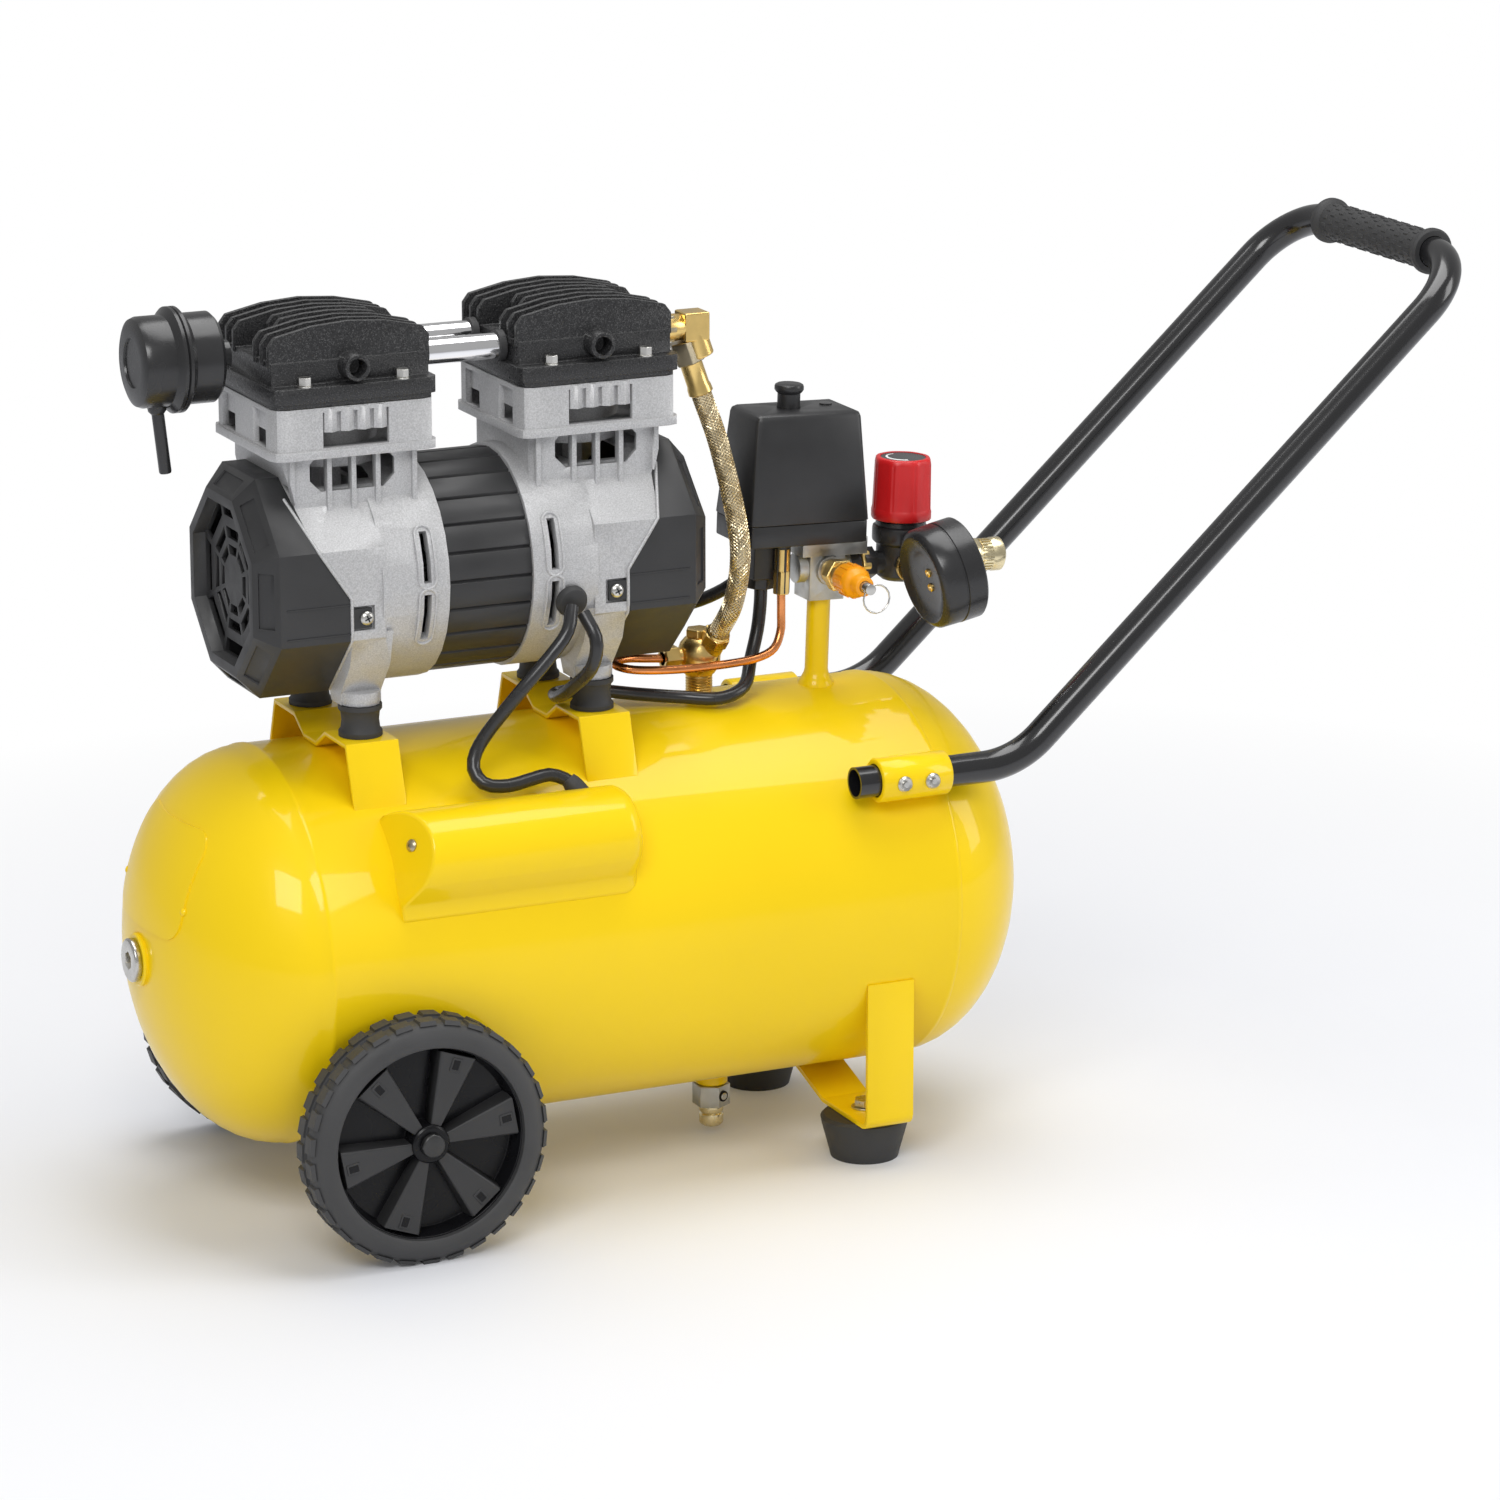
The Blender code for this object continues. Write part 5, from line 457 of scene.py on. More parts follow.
def make_sleeve(side, word):
    """The sleeve that holds the handle, the pad and the two seams that join it to the tank, and its screws."""
    length, outer, bore, chamfer = SLEEVE_LENGTH_X, 0.0138, 0.0106, 0.0008
    rim = [(bore, 0.0), (outer - chamfer, 0.0), (outer, chamfer), (outer, length - chamfer)]
    rim += [(outer - chamfer, length), (bore, length)]
    sleeve = Shape().spin(rim, at(SLEEVE_START_X, side * HANDLE_Y, HANDLE_Z, AHEAD), 40, closed=True)
    sleeve.piece(f"handle_sleeve_{word}", "yellow_paint", sharp=50)

    out = Vector((0, side * HANDLE_Y, HANDLE_Z - TANK_AXIS_Z)).normalized()
    across = Vector(AHEAD).cross(out)
    steps, apart, wire = 30, 0.0058, 0.0019
    weld = Shape()
    for way in (-1, 1):
        path = []
        for i in range(steps):
            wave = 0.0003 * math.sin(i * 2.4)
            spot = Vector((SLEEVE_START_X + 0.004 + 0.040 * i / (steps - 1) + SHIFT, 0, TANK_AXIS_Z))
            path.append(spot + out * (TANK_RADIUS + 0.0012 + wave) + across * way * (apart + wave))
        weld.sweep(path, wire, 8)
    pad = TANK_RADIUS + 0.004
    pad_place = at(SLEEVE_START_X + length / 2, out.y * pad, TANK_AXIS_Z + out.z * pad, out)
    weld.block(length - 0.008, 0.012, 0.010, pad_place).piece(f"sleeve_weld_{word}", "yellow_paint", sharp=50)

    head = [(0, 0.0042), (0.0018, 0.0042), (0.0020, 0.0028), (0.0040, 0.0034), (0.0050, 0.0022), (0.0050, 0.0)]
    screws = Shape()
    for x in (0.3298, 0.3491):
        screws.spin(head, at(x, side * (HANDLE_Y + outer - 0.0012), HANDLE_Z - 0.0005, (0, side, 0.05)), 24)
    screws.piece(f"sleeve_screws_{word}", "bright_steel")


def make_drain():
    boss = [(0, 0.0), (0.0095, 0.0), (0.0105, 0.001), (0.0105, 0.0115), (0, 0.0115)]
    Shape().spin(boss, at(0.254, 0, TANK_AXIS_Z - TANK_RADIUS - 0.010), 32).piece("drain_boss", "yellow_paint")
    vent = at(0.2572, -0.0102, 0.0268, (0.30, -0.95, 0.0))
    Shape().disc(0.0036, 0.0013, vent).piece("drain_vent_seat", "bright_steel", finish="rim_plastic")
    screw = [(0, 0.0), (0.0023, 0.0), (0.0023, 0.0018), (0.0017, 0.0023), (0, 0.0024)]
    Shape().spin(screw, vent, 24).piece("drain_vent_screw", "bright_steel")


def make_head_plate():
    """A bare plate that is bent to the left head and held by a blob of weld at each side."""
    low, high, half, corner, rows, columns = 0.022, 0.088, 0.050, 0.014, 28, 24

    def on_head(y, up, out):
        x = SHELL_START_X - HEAD_DEPTH * math.sqrt(1 - (y * y + up * up) / TANK_RADIUS**2)
        return Vector((x + SHIFT - out, y, TANK_AXIS_Z + up))

    rings = []
    for i in range(rows + 1):
        up = low + (high - low) * (0.5 - 0.5 * math.cos(math.pi * i / rows))
        near = min(corner, up - low, high - up)
        wide = half - corner + math.sqrt(max(0.0, corner**2 - (corner - near) ** 2))
        across = [wide * (2 * k / columns - 1) for k in range(columns + 1)]
        rings.append([on_head(y, up, 0.0011) for y in across] + [on_head(y, up, -0.0008) for y in across[::-1]])
    plate = Shape().loft(rings)
    blob = [(0, -0.002), (0.0022, -0.001), (0.0026, 0.0), (0.0021, 0.0010), (0.0011, 0.0016), (0, 0.0017)]
    for side in (-1, 1):
        plate.spin(blob, put(on_head(side * half, 0.042, 0.0002), (-0.86, side * 0.40, 0.30)), 20)
    plate.piece("head_plate_bare", "yellow_paint", sharp=50)


def on_cover(x, out, down):
    """A place at the capacitor cover: x, the distance out from the tank's skin and the way down round it."""
    axis = Vector((x + SHIFT, 0, TANK_AXIS_Z))
    return axis + COVER_OUT * (TANK_RADIUS + out) + Vector(AHEAD).cross(COVER_OUT) * down


def make_cover():
    """The capacitor's cover: a dome with a crease and a flange below, a leaning left end and a rounded right end."""
    start, end, dome, slope, bend = -0.002, 0.153, 0.029, 0.016, 0.011
    section = [(-dome, -0.011), (-dome, -0.003)]
    for i in range(25):
        a = math.radians(180 - 150 * i / 24)
        section.append((dome * math.cos(a), 0.001 + dome * math.sin(a)))
    section += [(0.0292, 0.0040), (0.0304, 0.0006), (0.0375, -0.0044), (0.0378, -0.0110)]
    stations = [(start, slope, 1.0), (start + 0.020, slope * 0.4, 1.0), (start + 0.045, 0.0, 1.0)]
    stations.append((end - bend, 0.0, 1.0))
    for i in range(1, 8):
        a = math.pi / 2 * i / 7
        stations.append((end - bend + bend * math.sin(a), 0.0, 1 - 0.34 * (1 - math.cos(a))))
    rings = []
    for x, lean, size in stations:
        places = [(x + lean * max(0.0, out) / dome, -0.006 + (out + 0.006) * size, down) for down, out in section]
        rings.append([on_cover(along, out, 0.003 + (down - 0.003) * size) for along, out, down in places])
    Shape().loft(rings).piece("capacitor_shell", "yellow_paint", replaces="capacitor_cover", edge=0.0018, sharp=42)
    tip, before = on_cover(*CAPACITOR_LEAD_END[-1]), on_cover(*CAPACITOR_LEAD_END[-2])
    along = ((tip - before).normalized() + (on_cover(0.1245, 0.0060, -0.0225) - tip).normalized()).normalized()
    boot = [(0, -0.0040), (0.0047, -0.0040), (0.0056, -0.0010), (0.0060, 0.0020), (0.0060, 0.0110), (0, 0.0110)]
    Shape().spin(boot, put(tip, along), 32).piece("capacitor_lead_boot", "rubber")


def make_feet():
    pad = [(0, 0.0277), (0.026, 0.0277), (0.028, 0.0257), (0.0272, 0.0215), (0.0225, 0.004), (0.0215, 0.0), (0, 0.0)]
    for side, word in FRONT_REAR:
        foot = Shape().spin(pad, at(FOOT_X, side * FOOT_Y, 0), 48)
        foot.piece(f"foot_pad_{word}", "rubber", replaces=f"rubber_foot_{word}")
        place = at(FOOT_X, side * FOOT_Y, 0.0310)
        bolt = Shape().disc(0.0085, 0.0012, place, 32).nut(0.0120, 0.0048, place @ up(0.0012))
        bolt.piece(f"foot_bolt_{word}", "bright_steel", edge=0.0003)


# ---- wheels


def mirrored(profile):
    """A profile followed by its own mirror image in local Z."""
    return profile + [(r, -h) for r, h in profile[::-1]]


def make_tyre(axis, half, word):
    section = [
        (0.0598, half - 0.0045), (0.0602, half - 0.0012), (0.0620, half), (0.0668, half - 0.0003),
        (0.0705, half - 0.0022), (0.0738, half - 0.0045), (0.0748, half - 0.0075), (0.0750, 0.0022),
        (0.0738, 0.0016),
    ]
    tyre = Shape().spin(mirrored(section), axis, 96, closed=True)
    count, root, gap = 30, 0.0740, 0.0022
    a = FULL_TURN / count * 0.39
    for band in (-1, 1):
        for i in range(count):
            turn = FULL_TURN * (i + (0.5 if band > 0 else 0.0)) / count
            rings = []
            for reach, slim, short in ((root, 1.0, 0.0036), (WHEEL_RADIUS, 0.86, 0.0050)):
                near, far = band * gap, band * (half - short)
                spots = ((-a * slim, near), (a * slim, near), (a * slim * 0.9, far), (-a * slim * 0.9, far))
                rings.append([Vector((reach * math.cos(turn + t), reach * math.sin(turn + t), h)) for t, h in spots])
            tyre.loft(rings, axis)
    tyre.piece(
        f"tyre_{word}", "rubber", body=f"wheel_{word}", replaces=f"wheel_{word}", sharp=40, finish="tyre_rubber"
    )


def make_spokes(axis, word):
    count, inner, outer = 6, 0.0118, 0.0574
    spokes, notch_shade = Shape(), Shape()
    for face in (1, -1):
        for i in range(count):
            turn = math.radians(360 / count * i + 10)
            rings = []
            for h, share in ((0.0, 1.12), (0.0114, 0.96), (0.0124, 0.86)):
                a_in, a_out = math.radians(17) * share, math.radians(12.8) * share
                spots = ((inner, -a_in), (outer, -a_out), (outer, a_out), (inner, a_in))
                rings.append([Vector((r * math.cos(turn + t), r * math.sin(turn + t), face * h)) for r, t in spots])
            spokes.loft(rings, axis)
            pad = axis @ turned(turn) @ Matrix.Translation((0.0500, 0, face * 0.0122))
            spokes.block(0.0088, 0.0066, 0.0016, pad)
            # Each notch is a raised block of darker plastic on the spoke's pad: painted shade in the notch.
            notch_shade.block(0.0060, 0.0042, 0.0022, pad)
    body = f"wheel_{word}"
    spokes.piece(f"spokes_{word}", "rubber", body, edge=0.0005, sharp=30, finish="dark_plastic")
    notch_shade.piece(f"spoke_notch_shade_{word}", "rubber", body, edge=0.0003, finish="rim_plastic")


def make_wheel(side, word):
    """A moulded wheel: tread blocks in two bands, a dished rim with six wedge spokes, and a hub."""
    axis = put((SHIFT, side * WHEEL_Y, WHEEL_RADIUS), (0, side, 0))
    half = 0.0162
    make_tyre(axis, half, word)
    section = [
        (0.0055, 0.0148), (0.0105, 0.0148), (0.0120, 0.0135), (0.0128, 0.0015), (0.0560, 0.0015),
        (0.0582, 0.0100), (0.0590, 0.0118), (0.0603, 0.0118),
    ]
    rim = Shape().spin(mirrored(section), axis, 72, closed=True)
    rim.piece(f"rim_{word}", "rubber", body=f"wheel_{word}", edge=0.0005, sharp=38, finish="rim_plastic")
    make_spokes(axis, word)
    face = half - 0.0007
    cap = [(0, 0.0034), (0.0050, 0.0032), (0.0070, 0.0022), (0.0075, 0.0002), (0, 0.0002)]
    cap = Shape().spin([(r, face + h) for r, h in cap], axis, 36)
    cap.piece(f"axle_cap_{word}", "bright_steel", finish="dark_steel")


# ---- handle


def make_handle():
    bar_x, bar_z, rise = 0.735, 0.545, math.radians(42.3)
    knee_bend, corner_bend, tube, bore = 0.060, 0.043, 0.010, 0.0085
    knee_x = bar_x - (bar_z - HANDLE_Z) / math.tan(rise)
    start, knee = Vector((0.302, -HANDLE_Y, HANDLE_Z)), Vector((knee_x, -HANDLE_Y, HANDLE_Z))
    corner = Vector((bar_x, -HANDLE_Y, bar_z))
    lower = rounded_path([start, knee, corner], knee_bend, 16)
    upper = rounded_path([knee, corner, corner + Vector((0, 2 * HANDLE_Y, 0))], corner_bend, 18)
    half = lower[:-1] + upper[1:-1]
    path = half + [Vector((p.x, -p.y, p.z)) for p in half[::-1]]
    handle = Shape().sweep([p + Vector((SHIFT, 0, 0)) for p in path], tube, 32, bore)
    handle.piece("handle_tube", "black_paint", replaces="handle_frame", sharp=50)

    place = at(bar_x, 0, bar_z, (0, -1, 0))
    inner, outer, flange, end = 0.0103, 0.0120, 0.0150, 0.065
    section = [
        (inner, end), (flange - 0.0014, end), (flange, end - 0.0014), (flange, end - 0.0040),
        (flange - 0.0010, end - 0.0055), (outer, end - 0.0072),
    ]
    grip = Shape().spin(mirrored(section), place, 56, closed=True)
    rows, columns, spacing = 14, 14, 0.0080
    for row in range(rows):
        h = (row - (rows - 1) / 2) * spacing
        for i in range(columns):
            turn = turned(FULL_TURN * (i + 0.5 * (row % 2)) / columns)
            grip.block(0.0030, 0.0060, 0.0014, place @ turn @ put((outer, 0, h), AHEAD), 0.7)
    grip.piece("grip_sleeve", "rubber", replaces="handle_grip", sharp=40)


# ---- filter, head tubes and mounts

FILTER_Z = 0.534


def make_filter():
    face, bead, radius, bulge = 0.0505, 0.0250, 0.0273, 0.0318
    pot = [
        (0.0, face - 0.0012), (0.0145, face - 0.0012), (0.0150, face), (radius - 0.0045, face),
        (radius - 0.0012, face - 0.0014), (radius, face - 0.0045), (radius, bead + 0.0062),
        (radius + 0.0012, bead + 0.0050), (bulge - 0.0010, bead + 0.0036), (bulge, bead + 0.0026),
        (bulge, bead + 0.0007), (bulge - 0.0012, bead), (bulge, bead - 0.0007), (bulge, bead - 0.0026),
        (bulge - 0.0010, bead - 0.0036), (radius + 0.0012, bead - 0.0050), (radius, bead - 0.0062),
        (radius, 0.0025), (radius - 0.0025, 0.0), (0.009, 0.0), (0.009, -0.0092), (0.0, -0.0092),
    ]
    pot = Shape().spin(pot, at(-0.0715, 0, FILTER_Z, (-1, 0, 0)), 72)
    pot.piece("filter_pot", "black_plastic", replaces="air_filter", sharp=38, finish="gloss_plastic")
    along = Vector((0.105, 0, -0.994)).normalized()
    place = at(*Vector((-0.1075, 0, FILTER_Z - radius + 0.004)), along)
    pipe = [(0, 0), (0.0038, 0), (0.0038, 0.0440), (0.0034, 0.0450), (0.0024, 0.0450), (0.0024, 0.0400), (0, 0.0400)]
    collar = [(0, 0.0), (0.0062, 0.001), (0.0056, 0.0065), (0.0040, 0.0085), (0, 0.0085)]
    spout = Shape().spin(pipe, place, 28).spin(collar, place, 28)
    spout.piece("filter_spout", "black_plastic", sharp=38, finish="gloss_plastic")


def make_head_tubes():
    ring, wide = 0.0016, 0.0050
    for _, word in FRONT_REAR:
        low, high = (Vector(c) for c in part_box(f"head_tube_{word}"))
        length, radius = high.x - low.x, (high.y - low.y) / 2
        middle = (low + high) / 2
        place = put((low.x, middle.y, middle.z), AHEAD)
        tube = Shape().disc(radius, length, place, 48)
        tube.piece(f"crossover_tube_{word}", "chrome", replaces=f"head_tube_{word}")
        seals = Shape()
        for start in (0.0, length - wide):
            section = [(radius, start), (radius + ring, start + 0.0004), (radius + ring, start + 0.0046)]
            seals.spin([*section, (radius, start + wide)], place, 48, closed=True)
        seals.piece(f"crossover_seals_{word}", "rubber")


def make_mounts():
    for _, end in LEFT_RIGHT:
        for _, word in FRONT_REAR:
            name = f"rubber_mount_{word}_{end}"
            low, high = (Vector(c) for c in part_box(name))
            radius, height = (high.x - low.x) / 2, high.z - low.z
            waist = radius - 0.0014
            profile = [(0, 0), (radius, 0), (radius, 0.0028), (waist, 0.0046), (waist - 0.0006, height / 2)]
            profile += [(waist, height - 0.0046), (radius, height - 0.0028), (radius, height), (0, height)]
            mount = Shape().spin(profile, put(((low.x + high.x) / 2, (low.y + high.y) / 2, low.z)))
            mount.piece(f"mount_{word}_{end}", "rubber", replaces=name)


# ---- hose, elbow, check valve and pipe


def above_tank(route):
    """Routes are written as x, y and the height above the top of the tank."""
    return [Vector((x + SHIFT, y, TANK_TOP_Z + height)) for x, y, height in route]


HOSE_ROUTE = (
    (0.2345, -0.0213, 0.2094), (0.2390, -0.0225, 0.1954), (0.2475, -0.0270, 0.1669), (0.2545, -0.0350, 0.1264),
    (0.2565, -0.0390, 0.0974), (0.2560, -0.0300, 0.0664), (0.2535, -0.0140, 0.0444),
)
COPPER_ROUTE = (
    (0.2974, -0.0120, 0.0634), (0.2974, -0.0120, 0.0504), (0.2965, -0.0130, 0.0394), (0.2900, -0.0160, 0.0294),
    (0.2750, -0.0190, 0.0254), (0.2500, -0.0205, 0.0244), (0.2200, -0.0205, 0.0249), (0.1950, -0.0185, 0.0269),
    (0.1850, -0.0120, 0.0289), (0.1865, -0.0040, 0.0299), (0.1980, 0.0010, 0.0294), (0.2100, 0.0020, 0.0279),
    (0.2215, 0.0020, 0.0267),
)
HOSE_RADIUS = 0.0059
VALVE = Vector((0.2470, 0.0020, TANK_TOP_Z + 0.0264))
OUTLET = Vector((0.2087, -0.0215, 0.5310))
ELBOW_REACH = 0.0230


def braid(path, radius, strands, pitch, wire):
    """Strands wound both ways round the path, each over and under those that it crosses."""
    shape, rows = Shape(), walk(path)
    for way in (-1, 1):
        for k in range(strands):
            line = []
            for point, _, across, over, s in rows:
                turn = FULL_TURN * (k / strands + way * s / pitch)
                r = radius + way * wire * 0.45 * math.cos(strands * FULL_TURN * s / pitch)
                line.append(point + r * (across * math.cos(turn) + over * math.sin(turn)))
            shape.sweep(line, wire, 4)
    return shape


def make_elbow():
    first, second = above_tank(HOSE_ROUTE)[:2]
    down = (second - first).normalized()
    corner = OUTLET + Vector((SHIFT + ELBOW_REACH, 0, 0))
    spot = put(OUTLET + Vector((SHIFT, 0, 0)), AHEAD)
    arm = [(0, 0), (0.0070, 0), (0.0085, 0.001), (0.0085, 0.0120), (0.0082, 0.0125), (0.0082, 0.0250), (0, 0.0250)]
    elbow = Shape().spin(arm, spot, 36)
    elbow.block(0.0168, 0.0168, 0.0180, Matrix.Translation(corner + Vector((0.0005, 0, 0.0004))))
    elbow.disc(0.0080, (first - corner).length - 0.012, put(corner, down), 36)
    elbow.piece("elbow_block", "brass", replaces="outlet_elbow", edge=0.0012)
    nuts = Shape().nut(0.0172, 0.0150, put(first - down * 0.0245, down)).nut(0.0160, 0.0080, spot @ up(0.0020))
    nuts.piece("elbow_nut", "brass", edge=0.0004, finish="grey_brass")
    ferrule = [
        (0, 0), (0.0072, 0), (0.0074, 0.002), (0.0070, 0.003), (0.0070, 0.0180), (0.0076, 0.0200),
        (0.0078, 0.0235), (0.0070, 0.0242), (0.0060, 0.0242),
    ]
    Shape().spin(ferrule, put(first - down * 0.0130, down), 36).piece("hose_ferrule", "brass")


def make_delivery():
    make_elbow()
    route = smooth_path(above_tank(HOSE_ROUTE), 0.0050)
    # The core under the braid is darker than the braid itself: painted shade in the gaps between the strands.
    hose = Shape().sweep(route, HOSE_RADIUS - 0.0001, 20)
    hose = hose.piece("hose_core", "steel_braid", replaces="delivery_hose", finish="grey_brass")
    strands = braid(smooth_path(route, 0.0006), HOSE_RADIUS + 0.0001, 15, 0.032, 0.00040)
    strands = strands.piece("hose_braid", "steel_braid", sharp=70)

    spot = Matrix.Translation(VALVE + Vector((SHIFT, 0, 0)))
    low, radius, turns = -0.0261, 0.0085, 7
    profile = [(0, 0.0130), (0.0060, 0.0128), (0.0090, 0.0112), (0.0118, 0.0080), (0.0132, 0.0040), (0.0138, 0.0),
               (0.0134, -0.0040), (0.0122, -0.0080), (0.0100, -0.0112), (radius, -0.0125)]
    for i in range(turns):
        h = -0.0135 - (0.0125 / turns) * i
        profile += [(radius, h), (0.0078, h - 0.0006), (radius, h - 0.0012)]
    profile += [(radius, low), (0, low)]
    inward = (route[-1] - route[-2]).normalized()
    inlet = put(route[-1] + inward * 0.0003, inward)
    valve = Shape().spin(profile, spot, 48)
    valve.spin([(0, 0), (0.0072, 0), (0.0078, 0.001), (0.0078, 0.0160), (0, 0.0160)], inlet, 36)
    valve.piece("valve_body", "brass", replaces="check_valve", sharp=30)
    copper = above_tank(COPPER_ROUTE)
    left = copper[-1] + Vector((0.0003, 0, 0))
    side = put(left, AHEAD)
    nuts = Shape().nut(0.0158, 0.0085, inlet @ up(0.0012)).nut(0.0140, 0.0100, side)
    nuts.disc(0.0050, VALVE.x + SHIFT - left.x - 0.004, side).nut(0.0150, 0.0055, spot @ up(0.0118))
    nuts.piece("valve_nuts", "brass", edge=0.0004)
    pipe = Shape().sweep(smooth_path(copper, 0.0035), 0.0027, 18)
    pipe.piece("copper_pipe", "copper", replaces="unloader_pipe")


# ---- leads

CAPACITOR_LEAD_ROUTE = (
    (0.1265, -0.0765, 0.0874), (0.1200, -0.0850, 0.0744), (0.1060, -0.0860, 0.0584), (0.0870, -0.0830, 0.0374),
    (0.0690, -0.0720, 0.0094),
)
CAPACITOR_LEAD_END = (
    (0.0620, 0.0059, -0.0515), (0.0660, 0.0068, -0.0391), (0.0800, 0.0080, -0.0357), (0.0960, 0.0084, -0.0379),
    (0.1080, 0.0078, -0.0396), (0.1170, 0.0072, -0.0363), (0.1215, 0.0077, -0.0319),
)
SWITCH_LEAD_ROUTE = (
    (0.1345, -0.0760, 0.0824), (0.1385, -0.0860, 0.0674), (0.1370, -0.0820, 0.0494), (0.1320, -0.0620, 0.0324),
    (0.1325, -0.0420, 0.0229), (0.1385, -0.0220, 0.0189), (0.1530, -0.0130, 0.0169), (0.1750, -0.0105, 0.0139),
    (0.2000, -0.0100, 0.0089), (0.2250, -0.0165, 0.0059), (0.2480, -0.0270, 0.0049), (0.2670, -0.0220, 0.0094),
    (0.2790, -0.0060, 0.0214), (0.2870, 0.0010, 0.0384), (0.2900, 0.0030, 0.0544), (0.2904, 0.0030, 0.0649),
)
REAR_LEAD_ROUTE = (
    (0.2945, 0.0195, 0.0966), (0.2930, 0.0200, 0.0804), (0.2860, 0.0230, 0.0684), (0.2750, 0.0300, 0.0584),
    (0.2590, 0.0420, 0.0494), (0.2350, 0.0600, 0.0424), (0.2100, 0.0740, 0.0394), (0.1850, 0.0810, 0.0414),
    (0.1550, 0.0850, 0.0554), (0.1400, 0.0830, 0.0704), (0.1335, 0.0755, 0.0844),
)
LEAD_RADIUS = 0.0042
SHAFT_Z = 0.396


def make_leads():
    routes = (
        ("capacitor_lead", above_tank(CAPACITOR_LEAD_ROUTE) + [on_cover(*spot) for spot in CAPACITOR_LEAD_END]),
        ("switch_lead", above_tank(SWITCH_LEAD_ROUTE)),
        ("rear_lead", above_tank(REAR_LEAD_ROUTE)),
    )
    for name, points in routes:
        route = smooth_path(points, 0.0055)
        lead = Shape().sweep(route, LEAD_RADIUS, 20)
        lead = lead.piece(f"{name}_sheath", "black_plastic", replaces=name, finish="gloss_plastic")
    angle = math.radians(-14.5)
    out = Vector((0, -math.cos(angle), math.sin(angle)))
    spot = Vector((0.1300, 0, SHAFT_Z)) + out * 0.0693
    profile = [(0, 0), (0.0100, 0), (0.0100, 0.0022), (0.0090, 0.0044), (0.0075, 0.0050), (0, 0.0050)]
    grommet = Shape().spin(profile, put(spot + Vector((SHIFT, 0, 0)), out), 36)
    grommet.piece("grommet", "rubber", replaces="lead_grommet")


make_tank()
make_feet()
for wheel_side, wheel_word in FRONT_REAR:
    make_wheel(wheel_side, wheel_word)
make_handle()
make_filter()
make_head_tubes()
make_mounts()
make_delivery()
make_leads()

# ---- switch group

SWITCH = Matrix.Translation((0.3275 + SHIFT, 0, TANK_TOP_Z)) @ Matrix.Rotation(math.radians(2.0), 4, "Y")
PORT_W = 0.0755  # height of the manifold's side ports, along the riser
REGULATOR_U = 0.0560


def switch_at(u, v, w, normal=(0, 0, 1)):
    """A place on the switch group: u along X, v along Y, w up the leaning riser."""
    return SWITCH @ Matrix.Translation((u, v, w)) @ facing(normal)


def make_riser():
    profile = [(0, 0.0555), (0.0074, 0.0555), (0.0074, 0.0095), (0.0080, 0.0068), (0.0096, 0.0035), (0.0115, 0.0012),
               (0.0118, -0.0060), (0, -0.0060)]
    Shape().spin(profile, SWITCH, 48).piece("riser_tube", "yellow_paint", replaces="riser_pipe", sharp=60)


def make_gauge():
    tilt = math.radians(13.5)
    out = Vector((math.cos(tilt), 0, math.sin(tilt)))
    back = Vector((REGULATOR_U - 0.0070, -0.053, PORT_W)) - out * 0.004
    place = SWITCH @ Matrix.Translation(back) @ facing(out)
    rim, deep, dial, floor = 0.0326, 0.0305, 0.0285, 0.0255
    case = [
        (0, floor - 0.0004), (dial, floor - 0.0004), (dial, deep - 0.0006), (dial + 0.0006, deep),
        (rim - 0.0012, deep), (rim, deep - 0.0012), (rim, 0.0170), (rim - 0.0007, 0.0166), (rim - 0.0007, 0.0158),
        (rim - 0.0002, 0.0154), (rim - 0.0006, 0.0035), (rim - 0.0024, 0.0008), (rim - 0.0046, 0.0),
        (rim - 0.0062, 0.0006), (rim - 0.0086, 0.0026), (0.0170, 0.0036), (0, 0.0040),
    ]
    case = Shape().spin(case, place, 96)
    case.piece("gauge_case", "black_plastic", replaces="pressure_gauge", sharp=40, finish="gloss_plastic")

    start = 0.0178
    reach = 0.053 - rim + 0.0030 - start
    stem = Shape().disc(0.0060, reach, switch_at(REGULATOR_U, -start, PORT_W, (0, -1, 0)), 32)
    stem.piece("gauge_stem", "brass")
    head = [(0, 0.0016), (0.0009, 0.0016), (0.0011, 0.0010), (0.0022, 0.0014), (0.0028, 0.0008), (0.0028, -0.001)]
    screws = Shape()
    for y in (-0.0048, 0.0048):
        spot = place @ Matrix.Translation((-0.0040, y, 0.0040)) @ facing((0, 0, -1))
        screws.spin([*head, (0, -0.001)], spot, 24)
    screws.piece("gauge_back_screws", "brass")

    face = Shape().disc(dial - 0.0003, 0.0003, place @ up(floor - 0.0004), 72)
    face.piece("gauge_dial", "black_plastic", finish="dial_white")
    top = place @ up(floor + 0.00001)
    make_gauge_marks(top)
    for k in range(0, 11, 2):
        make_gauge_number(k, top)
    glass = [(0, 0), (dial - 0.0002, 0), (dial - 0.0002, 0.0008), (dial * 0.6, 0.0012), (0, 0.0014)]
    glass = Shape().spin(glass, place @ up(deep - 0.0016), 72)
    glass.piece("gauge_glass", "black_plastic", finish="clear_glass")


